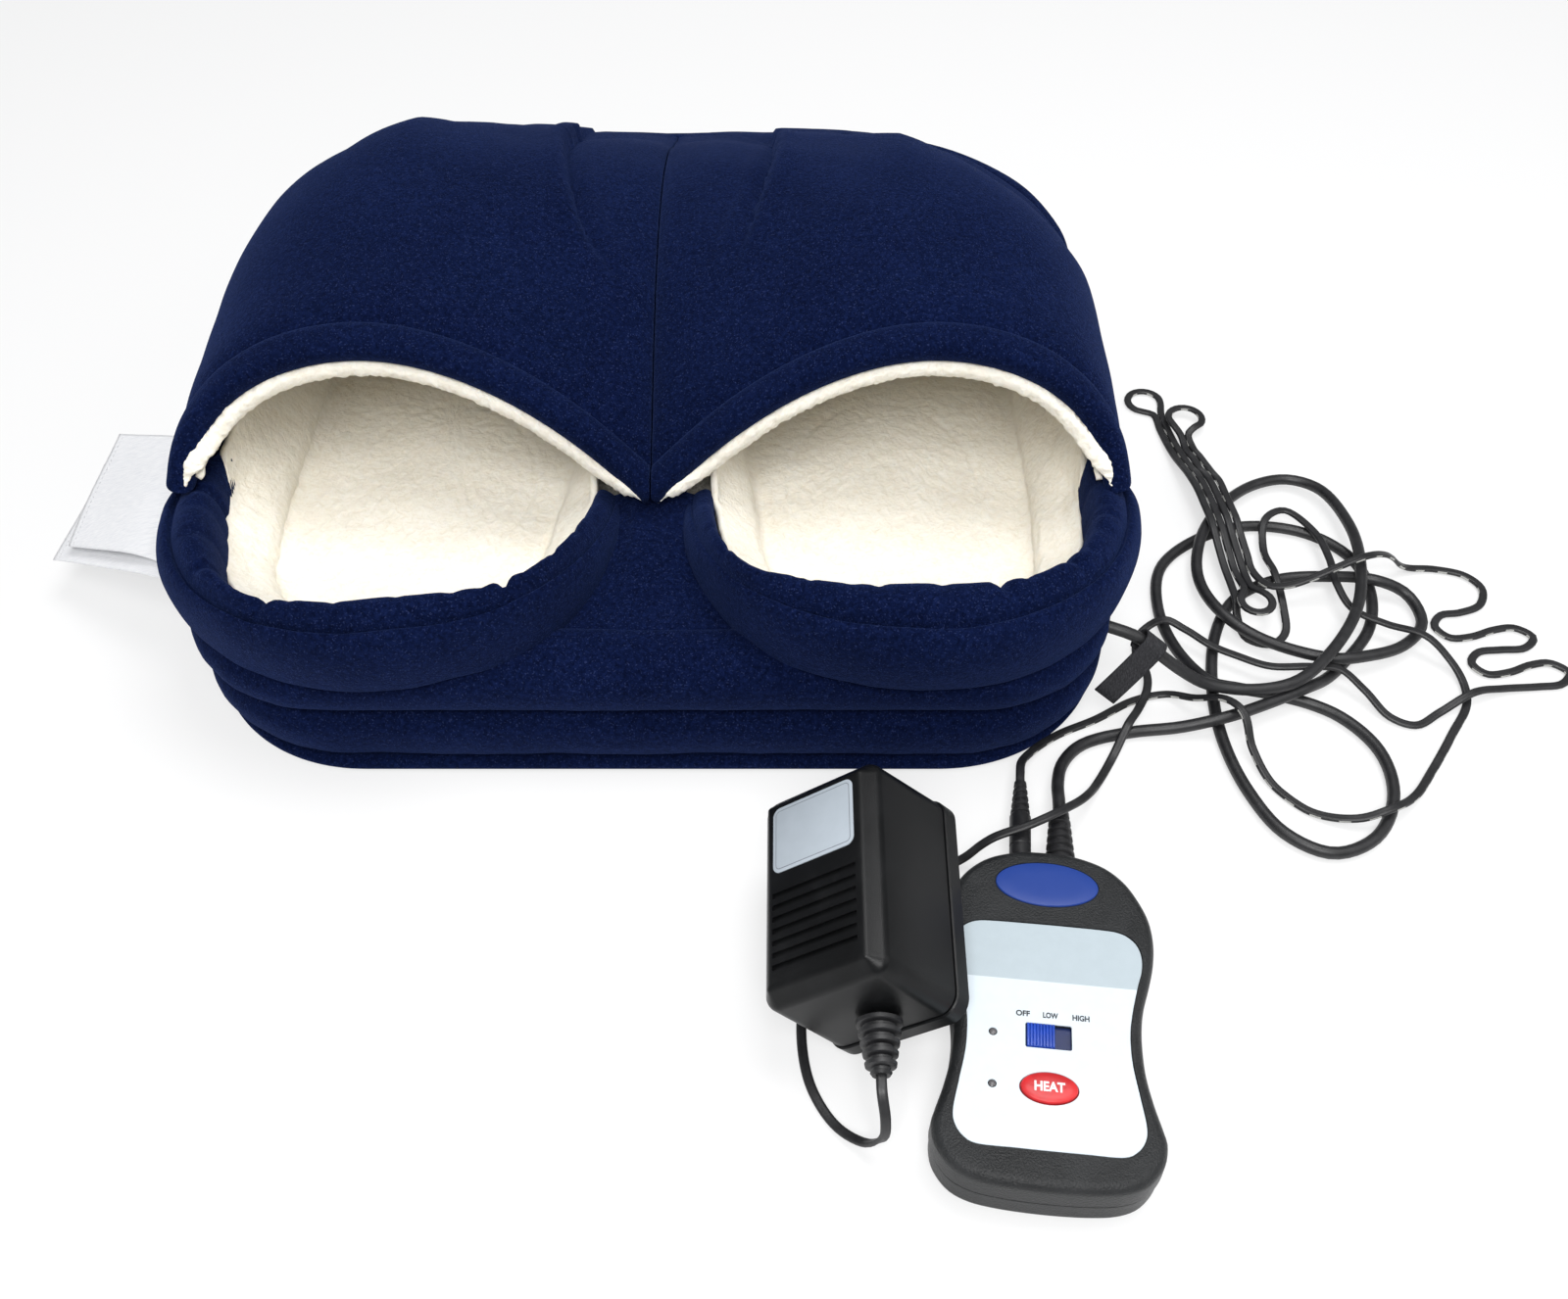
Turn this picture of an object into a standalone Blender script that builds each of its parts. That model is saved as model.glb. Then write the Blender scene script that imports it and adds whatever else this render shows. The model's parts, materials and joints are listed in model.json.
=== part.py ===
"""Heated foot massager: a fleece foot warmer, its hand controller and its wall adapter.

Metres, +Z up. The origin is the middle of the warmer's underside, with the heels at -Y and the toes at +Y.
The controller and the adapter lie on the floor in front of the warmer, joined to it by their cords.
"""
import math

import bmesh
import bpy
from mathutils import Matrix, Vector

# Foot warmer, overall
HALF_WIDTH = 0.187
HALF_DEPTH = 0.170
DEPTH_SHIFT = 0.002
HEIGHT = 0.155
FIT_GAP = 0.0004
MESH_GAP = 0.0003
CUT_OVERRUN = 0.004

# Base of the warmer: heights of the seams between the layers
PANEL_THICKNESS = 0.0025
WELT_HEIGHT = 0.0313
BAND_TOP = 0.0523
WALL_TOP = 0.0812
HOOD_SEAT_RISE = 0.0048
FRONT_CORNER_RADIUS = 0.060
BACK_CORNER_RADIUS = 0.110
CORNER_STEPS = 5
STRAIGHT_STEPS = 2
BAND_THICKNESS = 0.0040
PANEL_INSET = 0.0150
BAND_FOOT_INSET = 0.0160
LOWER_BULGE_INSET = 0.0070
BULGE_STEP = 0.0012
WELT_INSET = 0.0135
UPPER_BULGE_INSET = 0.0055
BAND_TOP_INSET = 0.0120
BULGE_SHARES = (0.26, 0.68)

# Foam core with its two foot wells
CORE_INSET = 0.0212
WELL_FLOOR = 0.0340
WELL_WALL = 0.0035
PAD_THICKNESS = 0.0012
PAD_INSET = 0.0120
SOLE_THICKNESS = 0.0052
SOLE_CROWN = 0.0022
TOE_FLARE = 0.0090
WELL_RIM = 0.0795
DIVIDER_HALF_WIDTH = 0.0125
DIVIDER_FRONT = -0.0745
DIVIDER_BACK = 0.1000
DIVIDER_FRONT_TOP = 0.0660
DIVIDER_BACK_TOP = 0.1050

# Hood, its edge band and its lining
FABRIC = 0.0080
LINING_THICKNESS = 0.0035
LINING_DEPTH = 0.0124
LINING_INNER_X = 0.0190
CENTRE_GAP = 0.0004
SEAM_GAP = 0.0007
BINDING_RADIUS = 0.0031
BINDING_DROP = 0.0124
BINDING_START_SHARE = 0.2
BINDING_STEPS = 15
HEM_PUFF = 0.0018

# Rolled lips round the heels
LIP_BULGE = 0.0025
LIP_CREST = 0.0868
GUSSET_TOP = 0.0640
GUSSET_FRONT_TOP = 0.0560
GUSSET_MARGIN = 0.0012
GUSSET_CROWN = 0.0020
GUSSET_SLOPE_SHARES = (1.0, 0.72, 0.36, 0.0)
WALL_INSETS = (0.0045, 0.0020, 0.0020)
REAR_WALL_FRONT = -0.0840
REAR_WALL_MARGIN = 0.0040

# Vibration motors and heater
MOTOR_X = 0.0930
MOTOR_Y = -0.0150
CAPSULE_RADIUS = 0.0225
CAPSULE_HEIGHT = 0.0235
CAPSULE_WALL = 0.0018
CAPSULE_SIDES = 16
LID_THICKNESS = 0.0022
MOTOR_RADIUS = 0.0078
MOTOR_LENGTH = 0.0180
SHAFT_RADIUS = 0.0011
WEIGHT_RADIUS = 0.0060
WEIGHT_THICKNESS = 0.0060
HARNESS_RADIUS = 0.0016
TRENCH_SIZE = 0.0050

# Care tags on the left side
TAG_THICKNESS = 0.0005
TAG_REACH = 0.0700
TAG_LENGTH = 0.0760
TAG_SKEW = 0.0220
TAG_DROP = 0.0270
TAG_FRONT = -0.1120
TAG_SPACING = 0.0050
TAG_SEAM_GAP = 0.0010
TAG_STEPS = 5

# Cord keeper on the right side
KEEPER_LENGTH = 0.0090
KEEPER_RADIUS = 0.0041
KEEPER_THICKNESS = 0.0012
KEEPER_TAIL = 0.0200
KEEPER_STEPS = 11
KEEPER_TURN = math.radians(255.0)

# Controller
CONTROL_AT = Vector((0.1400, -0.2816, 0.0))
CONTROL_TURN = math.radians(-6.0)
CONTROL_HALF_WIDTH = 0.0375
CONTROL_HALF_LENGTH = 0.06325
CONTROL_HEIGHT = 0.0225
PARTING_HEIGHT = 0.0113
SHELL_WALL = 0.0020
SHELL_DRAFT = 0.0003
SHELL_STEP = 0.0005
SHELL_ROUND = 0.0032
FACE_RECESS = 0.0008
FACE_THICKNESS = 0.0005
BADGE_HALF_WIDTH = 0.0180
BADGE_HALF_HEIGHT = 0.0090
BADGE_Y = 0.0478
BADGE_RECESS = 0.0006
WINDOW_HALF_WIDTH = 0.0076
WINDOW_HALF_HEIGHT = 0.00445
WINDOW_Y = -0.01125
KNOB_HALF_WIDTH = 0.00465
KNOB_HALF_DEPTH = 0.0041
KNOB_PROUD = 0.0006
KNOB_RIB_DEPTH = 0.0006
KNOB_RIBS = 9
KNOB_FLANGE = 0.0013
KNOB_TAIL = 0.0060
KNOB_STEM = 0.0014
SWITCH_HALF_WIDTH = 0.0080
SWITCH_HALF_DEPTH = 0.0036
SWITCH_HEIGHT = 0.0062
BUTTON_HALF_WIDTH = 0.0092
BUTTON_HALF_HEIGHT = 0.0053
BUTTON_Y = -0.02965
BUTTON_PROUD = 0.0012
BUTTON_STEM_RADIUS = 0.0020
BUTTON_STEM_FOOT = 0.0112
BUTTON_FLANGE = 0.0014
BUTTON_FLANGE_THICKNESS = 0.0014
LED_X = -0.0182
LED_RADIUS = 0.00115
LED_CLEARANCE = 0.0003
BOARD_HALF_WIDTH = 0.0205
BOARD_FRONT = -0.0500
BOARD_BACK = 0.0550
BOARD_BOTTOM = 0.0060
BOARD_THICKNESS = 0.0016
TACT_HALF = 0.0030
TACT_HEIGHT = 0.0016
BOSS_RADIUS = 0.0026
BOSS_X = 0.0165
BOSS_FRONT = -0.0420
BOSS_BACK = 0.0300
JACK_X = -0.0082
JACK_HALF_WIDTH = 0.0045
JACK_HALF_HEIGHT = 0.0033
JACK_FRONT = 0.0460
JACK_BACK = 0.0576
SOCKET_RADIUS = 0.0030
PLUG_CONTACT_RADIUS = 0.0026
PLUG_CONTACT_TIP = 0.0500
PLUG_RADIUS = 0.0040
PLUG_BASE = 0.0636
PLUG_SHOULDER = 0.0865
PLUG_END = 0.1005
PLUG_END_RADIUS = 0.0024
PLUG_RIB = 0.0005
PLUG_RIBS = 3
BOOT_X = 0.0064
BOOT_HOLE_RADIUS = 0.0046
BOOT_NECK_RADIUS = 0.0042
BOOT_FLANGE_RADIUS = 0.0054
BOOT_FLANGE_FRONT = 0.0562
BOOT_FLANGE_BACK = 0.0584
BOOT_BASE = 0.0636
BOOT_END = 0.0878
BOOT_RADIUS = 0.0055
BOOT_END_RADIUS = 0.0037
BOOT_GROOVE = 0.0007
BOOT_RIBS = 4

# Wall adapter, in its own axes: width, thickness from back to label face, length with the cord at the low end
ADAPTER_AT = Vector((0.0772, -0.2525, 0.0386))
ADAPTER_ROLL = math.radians(40.0)
ADAPTER_PITCH = math.radians(5.0)
ADAPTER_WIDTH = 0.0520
ADAPTER_THICKNESS = 0.0490
ADAPTER_LENGTH = 0.0800
ADAPTER_CORNER = 0.0070
ADAPTER_WALL = 0.0022
ADAPTER_DRAFT = 0.0012
ADAPTER_CHAMFER = 0.0055
BACK_THICKNESS = 0.0080
BACK_EDGE = 0.0018
BACK_FLARE = 0.0006
VENT_COUNT = 7
VENT_PITCH = 0.0043
VENT_WIDTH = 0.0018
VENT_HALF_LENGTH = 0.0175
VENT_DEPTH = 0.0009
VENT_FIRST = -0.0270
LABEL_HALF_WIDTH = 0.0172
LABEL_HALF_LENGTH = 0.0125
LABEL_AT = 0.0195
LABEL_RECESS = 0.0006
LABEL_CORNER = 0.0030
PRONG_HALF_SPACING = 0.00635
PRONG_WIDTH = 0.00635
PRONG_THICKNESS = 0.0015
PRONG_LENGTH = 0.0180
PRONG_ROOT = 0.0050
PRONG_AT = 0.0200
PRONG_HOLE_RADIUS = 0.0015
PRONG_HOLE_AT = 0.0135
CORE_WIDTH = 0.0340
CORE_LENGTH = 0.0420
CORE_DEPTH = 0.0220
COIL_WIDTH = 0.0240
COIL_LENGTH = 0.0280
COIL_DEPTH = 0.0320
CORE_SHIFT = 0.0120
RELIEF_RADIUS = 0.0066
RELIEF_END_RADIUS = 0.0042
RELIEF_NECK = 0.0042
RELIEF_FLANGE = 0.0062
RELIEF_LENGTH = 0.0190
RELIEF_U = 0.0030
RELIEF_V = -0.0050
RELIEF_RIBS = 4
RELIEF_GROOVE = 0.0011

# Cords
CABLE_RADIUS = 0.0025
CABLE_STEP = 0.0165
CABLE_EXIT_INSET = 0.0102
CABLE_EXIT_POINTS = 6
LEAD_RADIUS = 0.0016
LEAD_STEP = 0.0112
ROUTE_STEPS = 12

# Outlines, as shares of the half width and half depth of the warmer, right foot only
LIP_OUTER_SHARES = ((0.064, -0.471), (0.080, -0.612), (0.118, -0.741), (0.193, -0.859), (0.299, -0.941),
                    (0.460, -0.994), (0.631, -1.000), (0.791, -0.941), (0.922, -0.826), (0.996, -0.672),
                    (1.010, -0.506))
LIP_INNER_SHARES = ((0.128, -0.447), (0.144, -0.571), (0.182, -0.688), (0.246, -0.788), (0.342, -0.853),
                    (0.481, -0.876), (0.620, -0.876), (0.743, -0.841), (0.840, -0.759), (0.898, -0.635),
                    (0.914, -0.494))
TOE_SHARES = ((0.920, -0.235), (0.914, 0.059), (0.888, 0.353), (0.802, 0.618), (0.652, 0.794),
              (0.460, 0.847), (0.267, 0.800), (0.139, 0.647), (0.096, 0.412), (0.091, 0.118), (0.096, -0.176))
# Height of the lip's crest along its length, and its section: across from the outer rail, then height
LIP_CREST_SHARES = (0.40, 0.62, 0.86, 1.0, 1.0, 1.0, 1.0, 1.0, 1.0, 0.96, 0.84)
LIP_SECTION_SHARES = ((0.06, 0.0), (-0.06, 0.46), (0.10, 0.92), (0.38, 1.0), (0.57, 0.92),
                      (0.76, 0.95), (0.95, 0.76), (0.95, 0.0))
# Rings of the foot well: inset from the lip's inner rail, height between floor and rim, and toe flare
WELL_RING_SHARES = ((1.0, 0.0, 0.0), (0.96, 0.40, 0.0), (0.38, 0.56, 0.3), (0.13, 1.0, 1.0))
WELL_INSET = 0.0140
WELL_CUT_GAP = 0.0012
SOLE_RING_SHARES = (1.0, 0.97, 0.86, 0.55)

# The hood, from its heel edge to the toes. Each row: half width; y at edge, crown and centre; z at edge,
# crown and centre; height of the dart that gathers it toward the centre seam. The heights are shares of
# the rise from the seat on the wall to the full height
HOOD_ROW_SHARES = (
    (0.984, -0.565, -0.376, -0.541, 0.0, 0.6383, -0.1007, 0.0),
    (0.989, -0.488, -0.300, -0.471, 0.0, 0.7102, 0.0004, 0.0),
    (0.995, -0.206, -0.047, -0.147, 0.0, 0.8405, 0.4339, 0.0),
    (0.995, 0.088, 0.165, 0.118, 0.0, 0.9124, 0.6226, 0.0225),
    (0.973, 0.353, 0.353, 0.353, 0.0, 0.9573, 0.7529, 0.0584),
    (0.920, 0.576, 0.559, 0.559, 0.0, 0.8113, 0.6675, 0.0427),
    (0.791, 0.782, 0.735, 0.741, 0.0, 0.5372, 0.4631, 0.0135),
    (0.631, 0.924, 0.894, 0.894, 0.0, 0.2609, 0.2025, 0.0),
    (0.560, 0.955, 0.968, 0.976, -0.0041, 0.079, 0.0678, 0.0),
    (0.556, 0.960, 0.976, 0.986, -0.0064, -0.0109, -0.0109, 0.0))
HOOD_COLUMN_SHARES = (1.0, 0.990, 0.955, 0.870, 0.735, 0.560, 0.385, 0.235, 0.105, 0.0)
RISE_SHARES = (0.0, 0.20, 0.46, 0.74, 0.94, 1.0)
FALL_SHARES = (1.0, 0.86, 0.62, 0.32, 0.0)
CROWN_COLUMN = 5
DART_COLUMN = 7

# The controller's outline and its faceplate's, right half, as shares of its half width and half length
CONTROL_SHARES = ((0.0, 1.0), (0.267, 0.989), (0.547, 0.934), (0.747, 0.838), (0.880, 0.712), (0.960, 0.589),
                  (0.987, 0.455), (0.971, 0.320), (0.928, 0.198), (0.861, 0.043), (0.835, -0.083),
                  (0.835, -0.209), (0.853, -0.336), (0.907, -0.486), (0.973, -0.621), (1.0, -0.700),
                  (0.960, -0.810), (0.827, -0.913), (0.640, -0.968), (0.373, -0.992), (0.0, -1.0))
FACE_SHARES = ((0.0, 0.496), (0.587, 0.492), (0.733, 0.467), (0.832, 0.399), (0.853, 0.312), (0.800, 0.162),
               (0.739, -0.004), (0.712, -0.130), (0.720, -0.289), (0.768, -0.462), (0.811, -0.621),
               (0.795, -0.700), (0.720, -0.763), (0.600, -0.795), (0.0, -0.798))

# Sections of the centre divider: y, then height of its top
DIVIDER_SHARES = ((0.0, 0.0), (0.20, 0.52), (0.43, 0.80), (0.66, 1.0), (1.0, 0.93))

NAVY = (0.010, 0.022, 0.115, 1.0)
SHERPA = (0.800, 0.740, 0.640, 1.0)
FOAM = (0.620, 0.600, 0.540, 1.0)
SATIN = (0.860, 0.850, 0.820, 1.0)
BLACK_PLASTIC = (0.012, 0.012, 0.014, 1.0)
WHITE_PLASTIC = (0.820, 0.830, 0.850, 1.0)
BLUE_PLASTIC = (0.010, 0.070, 0.480, 1.0)
RED_PLASTIC = (0.560, 0.012, 0.016, 1.0)
RED_LENS = (0.420, 0.010, 0.012, 1.0)
BOARD_GREEN = (0.020, 0.140, 0.060, 1.0)
STEEL = (0.640, 0.640, 0.650, 1.0)
BRASS = (0.700, 0.480, 0.180, 1.0)
LABEL_GREY = (0.700, 0.710, 0.720, 1.0)

# Route of the heater cable, from the warmer's side to the controller
CABLE_ROUTE = (
    (0.1768, -0.1271, 0.0425), (0.190, -0.1308, 0.0395), (0.200, -0.1335, 0.032), (0.210, -0.135, 0.024),
    (0.222, -0.135, 0.016), (0.240, -0.136, 0.0139), (0.258, -0.132, 0.0142), (0.276, -0.116, 0.0144),
    (0.293, -0.091, 0.0140), (0.301, -0.065, 0.0140), (0.304, -0.036, 0.0105), (0.298, -0.008, 0.0065),
    (0.286, 0.000, 0.0050), (0.270, -0.004, 0.0055), (0.250, -0.022, 0.0083), (0.237, -0.043, 0.0083),
    (0.232, -0.066, 0.0072), (0.237, -0.087, 0.0083), (0.252, -0.102, 0.0070), (0.278, -0.1145, 0.0088),
    (0.293, -0.113, 0.0084), (0.311, -0.105, 0.0060), (0.324, -0.089, 0.0035), (0.321, -0.074, 0.0050),
    (0.307, -0.0695, 0.0092), (0.291, -0.063, 0.0046), (0.268, -0.063, 0.0026), (0.247, -0.075, 0.0026),
    (0.235, -0.095, 0.0026), (0.228, -0.125, 0.0026), (0.227, -0.152, 0.0026), (0.232, -0.178, 0.0026),
    (0.242, -0.198, 0.0026), (0.258, -0.207, 0.0026), (0.276, -0.200, 0.0026), (0.288, -0.180, 0.0026),
    (0.288, -0.158, 0.0026), (0.276, -0.140, 0.0026), (0.256, -0.130, 0.0026), (0.236, -0.1295, 0.0074),
    (0.226, -0.128, 0.0090), (0.217, -0.107, 0.0040), (0.213, -0.082, 0.0026), (0.218, -0.056, 0.0026),
    (0.236, -0.0385, 0.0026), (0.261, -0.029, 0.0026), (0.288, -0.034, 0.0026), (0.304, -0.050, 0.0026),
    (0.307, -0.070, 0.0026), (0.301, -0.092, 0.0026), (0.285, -0.112, 0.0026), (0.275, -0.122, 0.0042),
    (0.263, -0.131, 0.0086), (0.246, -0.139, 0.0086), (0.229, -0.146, 0.0090), (0.211, -0.148, 0.0050),
    (0.190, -0.149, 0.0026), (0.171, -0.155, 0.0028), (0.161, -0.167, 0.0060), (0.1570, -0.180, 0.0095))


# Route of the supply lead from its plug to the foot of its hank
PLUG_LEAD_ROUTE = (
    (0.1440, -0.1700, 0.0100), (0.1500, -0.1600, 0.0055), (0.1620, -0.1490, 0.0021),
    (0.1780, -0.1410, 0.0018), (0.1950, -0.1310, 0.0018), (0.2090, -0.1280, 0.0024), (0.2190, -0.1350, 0.0080),
    (0.2280, -0.1400, 0.0132), (0.2335, -0.1480, 0.0146), (0.2370, -0.1590, 0.0060), (0.2430, -0.1740, 0.0018),
    (0.2550, -0.1870, 0.0018), (0.2700, -0.1925, 0.0052), (0.2830, -0.1905, 0.0086), (0.2950, -0.1820, 0.0052),
    (0.3070, -0.1670, 0.0018), (0.3200, -0.1490, 0.0018), (0.3315, -0.1310, 0.0018), (0.3310, -0.1160, 0.0040),
    (0.3200, -0.1040, 0.0104), (0.3060, -0.0950, 0.0088), (0.2940, -0.0860, 0.0086), (0.2900, -0.0720, 0.0098),
    (0.2910, -0.0560, 0.0090), (0.2890, -0.0370, 0.0076), (0.2790, -0.0230, 0.0074), (0.2690, -0.0290, 0.0076),
    (0.2655, -0.0460, 0.0044), (0.2660, -0.0630, 0.0074), (0.2670, -0.0790, 0.0040), (0.2650, -0.0940, 0.0018),
    (0.2570, -0.1000, 0.0018), (0.2480, -0.0960, 0.0018), (0.2452, -0.0870, 0.0058),
    (0.2458, -0.0800, 0.0075))

# Route of the supply lead from the foot of its hank to the adapter
ADAPTER_LEAD_ROUTE = (
    (0.2610, -0.0725, 0.0090), (0.2680, -0.0745, 0.0106), (0.2770, -0.0730, 0.0130), (0.2890, -0.0700, 0.0174), (0.3010, -0.0660, 0.0198),
    (0.3130, -0.0600, 0.0150), (0.3260, -0.0560, 0.0040), (0.3400, -0.0550, 0.0018), (0.3520, -0.0590, 0.0018),
    (0.3570, -0.0670, 0.0018), (0.3530, -0.0770, 0.0018), (0.3430, -0.0815, 0.0018), (0.3345, -0.0830, 0.0018),
    (0.3300, -0.0895, 0.0018), (0.3345, -0.0960, 0.0018), (0.3440, -0.0955, 0.0018), (0.3550, -0.0915, 0.0018),
    (0.3640, -0.0905, 0.0018), (0.3700, -0.0960, 0.0018), (0.3645, -0.1020, 0.0018), (0.3540, -0.1030, 0.0018),
    (0.3440, -0.1045, 0.0018), (0.3395, -0.1105, 0.0018), (0.3440, -0.1165, 0.0018), (0.3540, -0.1155, 0.0018),
    (0.3640, -0.1115, 0.0018), (0.3725, -0.1105, 0.0018), (0.3785, -0.1160, 0.0018), (0.3735, -0.1220, 0.0018),
    (0.3630, -0.1235, 0.0018), (0.3480, -0.1255, 0.0030), (0.3330, -0.1305, 0.0064), (0.3180, -0.1380, 0.0026),
    (0.3070, -0.1440, 0.0018), (0.2970, -0.1400, 0.0026), (0.2890, -0.1290, 0.0060), (0.2800, -0.1205, 0.0090),
    (0.2680, -0.1195, 0.0094), (0.2520, -0.1180, 0.0082), (0.2400, -0.1120, 0.0078), (0.2300, -0.1060, 0.0078),
    (0.2210, -0.0980, 0.0084), (0.2120, -0.0920, 0.0084), (0.2030, -0.0950, 0.0030), (0.2000, -0.1050, 0.0018),
    (0.2020, -0.1180, 0.0040), (0.2000, -0.1290, 0.0060), (0.1950, -0.1390, 0.0062), (0.1890, -0.1490, 0.0082),
    (0.1820, -0.1610, 0.0030), (0.1740, -0.1750, 0.0050), (0.1660, -0.1880, 0.0120), (0.1550, -0.1990, 0.0188),
    (0.1420, -0.2060, 0.0192), (0.1290, -0.2090, 0.0155), (0.1180, -0.2110, 0.0050), (0.1050, -0.2160, 0.0018),
    (0.0900, -0.2250, 0.0018), (0.0750, -0.2350, 0.0018), (0.0650, -0.2480, 0.0018), (0.0595, -0.2640, 0.0018),
    (0.0580, -0.2820, 0.0018), (0.0610, -0.3000, 0.0018), (0.0690, -0.3140, 0.0022), (0.0780, -0.3215, 0.0060),
    (0.0835, -0.3240, 0.0140), (0.0840, -0.3225, 0.0230))

# Hank of the supply lead: four runs side by side, folded at both ends
HANK_FOOT = Vector((0.2518, -0.0740, 0.0))
HANK_HEAD = Vector((0.2380, 0.0560, 0.0))
HANK_PITCH = 0.0038
HANK_RUNS = 4
HANK_FOLD_RADII = (0.0080, 0.0066, 0.0080)
HANK_STAGGER = 0.0190
HANK_RISE_SHARES = (0.0, 0.10, 0.20, 0.29, 0.38, 0.48, 0.62, 0.78, 0.92)
HANK_HEIGHTS = (0.0070, 0.0078, 0.0100, 0.0129, 0.0131, 0.0129, 0.0080, 0.0030, 0.0018)
HANK_LEANS = (math.radians(30.0), math.radians(0.0), math.radians(-25.0))
HANK_FOLD_LIFTS = (0.0, 0.0040, 0.0036)
HANK_FOLD_POINTS = 10
HANK_RUN_POINTS = 11
HANK_CHECK_STEPS = 4


# Scene and helpers
def clear_scene():
    for item in list(bpy.data.objects):
        bpy.data.objects.remove(item, do_unlink=True)


def new_collection(name):
    group = bpy.data.collections.new(name)
    bpy.context.scene.collection.children.link(group)
    return group


clear_scene()
PARTS = new_collection("heated_foot_massager")
CUTTERS = new_collection("cutters")
MATERIALS = {}


def material(name, colour, roughness, metallic=0.0):
    if name not in MATERIALS:
        made = bpy.data.materials.new(name)
        made.use_nodes = True
        shader = made.node_tree.nodes["Principled BSDF"]
        shader.inputs["Base Color"].default_value = colour
        shader.inputs["Roughness"].default_value = roughness
        shader.inputs["Metallic"].default_value = metallic
        made.diffuse_color = colour
        MATERIALS[name] = made
    return MATERIALS[name]


def place(name, mesh, look=None, parent=None, group=None):
    """Puts a mesh in the scene as a named object."""
    item = bpy.data.objects.new(name, mesh)
    (group or PARTS).objects.link(item)
    if look is not None:
        mesh.materials.clear()
        mesh.materials.append(look)
    if parent is not None:
        item.parent = parent
    return item


def pose(name, location, rotation):
    """An empty that carries the pieces of one assembly."""
    frame = bpy.data.objects.new(name, None)
    PARTS.objects.link(frame)
    frame.matrix_world = Matrix.Translation(location) @ rotation
    return frame


def move_origin(item, point):
    """Moves an object's origin to a point of its own space, with its shape left where it is."""
    item.data.transform(Matrix.Translation(-Vector(point)))
    item.location = Vector(point)


def mesh_from(name, builder):
    """Makes a mesh with a function that fills a bmesh, and turns its faces outward."""
    work = bmesh.new()
    builder(work)
    bmesh.ops.recalc_face_normals(work, faces=work.faces)
    mesh = bpy.data.meshes.new(name)
    work.to_mesh(mesh)
    work.free()
    return mesh


def skin(name, rows, around=False, first=False, last=False, flip=False):
    """Quads between rows of points. With around, each row is a ring, and first and last close its ends."""
    work = bmesh.new()
    grid = [[work.verts.new(point) for point in row] for row in rows]
    for low, high in zip(grid, grid[1:]):
        count = len(low)
        for i in range(count if around else count - 1):
            j = (i + 1) % count
            work.faces.new((low[i], low[j], high[j], high[i]))
    if first:
        work.faces.new(grid[0][::-1])
    if last:
        work.faces.new(grid[-1])
    if first and last:
        bmesh.ops.recalc_face_normals(work, faces=work.faces)
    elif flip:
        bmesh.ops.reverse_faces(work, faces=work.faces)
    mesh = bpy.data.meshes.new(name)
    work.to_mesh(mesh)
    work.free()
    return mesh


def solidify(item, thickness):
    shell = item.modifiers.new("wall", "SOLIDIFY")
    shell.thickness = thickness
    shell.offset = -1.0
    return item


def subdivide(item, levels=1):
    smooth = item.modifiers.new("smooth", "SUBSURF")
    smooth.levels = levels
    smooth.render_levels = levels
    return item


def bevel(item, width, segments=1, angle=math.radians(40.0)):
    edge = item.modifiers.new("edges", "BEVEL")
    edge.width = width
    edge.segments = segments
    edge.limit_method = "ANGLE"
    edge.angle_limit = angle
    return item


def soften(item):
    item.data.shade_smooth()
    return item


def cut(item, tool, operation="DIFFERENCE"):
    change = item.modifiers.new(tool.name, "BOOLEAN")
    change.operation = operation
    change.solver = "EXACT"
    change.object = tool
    return item


def as_cutter(item):
    for group in list(item.users_collection):
        group.objects.unlink(item)
    CUTTERS.objects.link(item)
    item.hide_render = True
    item.display_type = "WIRE"
    return item


def box(name, low, high, look=None, parent=None):
    """A box between two corners."""
    low, high = Vector(low), Vector(high)
    middle = (low + high) / 2
    size = high - low

    def build(work):
        bmesh.ops.create_cube(work, size=1.0)
        bmesh.ops.scale(work, vec=size, verts=work.verts)
        bmesh.ops.translate(work, vec=middle, verts=work.verts)

    return place(name, mesh_from(name, build), look, parent)


def rod(name, start, end, radius, segments=16, look=None, parent=None):
    """A cylinder between two points."""
    start, end = Vector(start), Vector(end)
    turn = (end - start).to_track_quat("Z", "Y").to_matrix().to_4x4()
    spot = Matrix.Translation((start + end) / 2) @ turn

    def build(work):
        bmesh.ops.create_cone(work, cap_ends=True, segments=segments, radius1=radius, radius2=radius,
                              depth=(end - start).length, matrix=spot)

    return place(name, mesh_from(name, build), look, parent)


def curve_to_mesh(name, curve, look=None, parent=None):
    """Turns a curve object into a welded mesh object and removes the curve."""
    graph = bpy.context.evaluated_depsgraph_get()
    mesh = bpy.data.meshes.new_from_object(curve.evaluated_get(graph))
    work = bmesh.new()
    work.from_mesh(mesh)
    bmesh.ops.remove_doubles(work, verts=work.verts, dist=MESH_GAP / 100)
    bmesh.ops.recalc_face_normals(work, faces=work.faces)
    work.to_mesh(mesh)
    work.free()
    mesh.name = name
    mesh.transform(curve.matrix_world)
    bpy.data.objects.remove(curve, do_unlink=True)
    return place(name, mesh, look, parent)


def plate(name, outline, low, high, look=None, parent=None):
    """A flat outline of points, extruded between two heights."""
    data = bpy.data.curves.new(name + "_outline", "CURVE")
    data.dimensions = "2D"
    data.fill_mode = "BOTH"
    data.extrude = (high - low) / 2
    line = data.splines.new("POLY")
    line.points.add(len(outline) - 1)
    for point, spot in zip(line.points, outline):
        point.co = (spot[0], spot[1], 0.0, 1.0)
    line.use_cyclic_u = True
    curve = bpy.data.objects.new(name + "_outline", data)
    CUTTERS.objects.link(curve)
    curve.location.z = (low + high) / 2
    bpy.context.view_layer.update()
    return curve_to_mesh(name, curve, look, parent)


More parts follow.
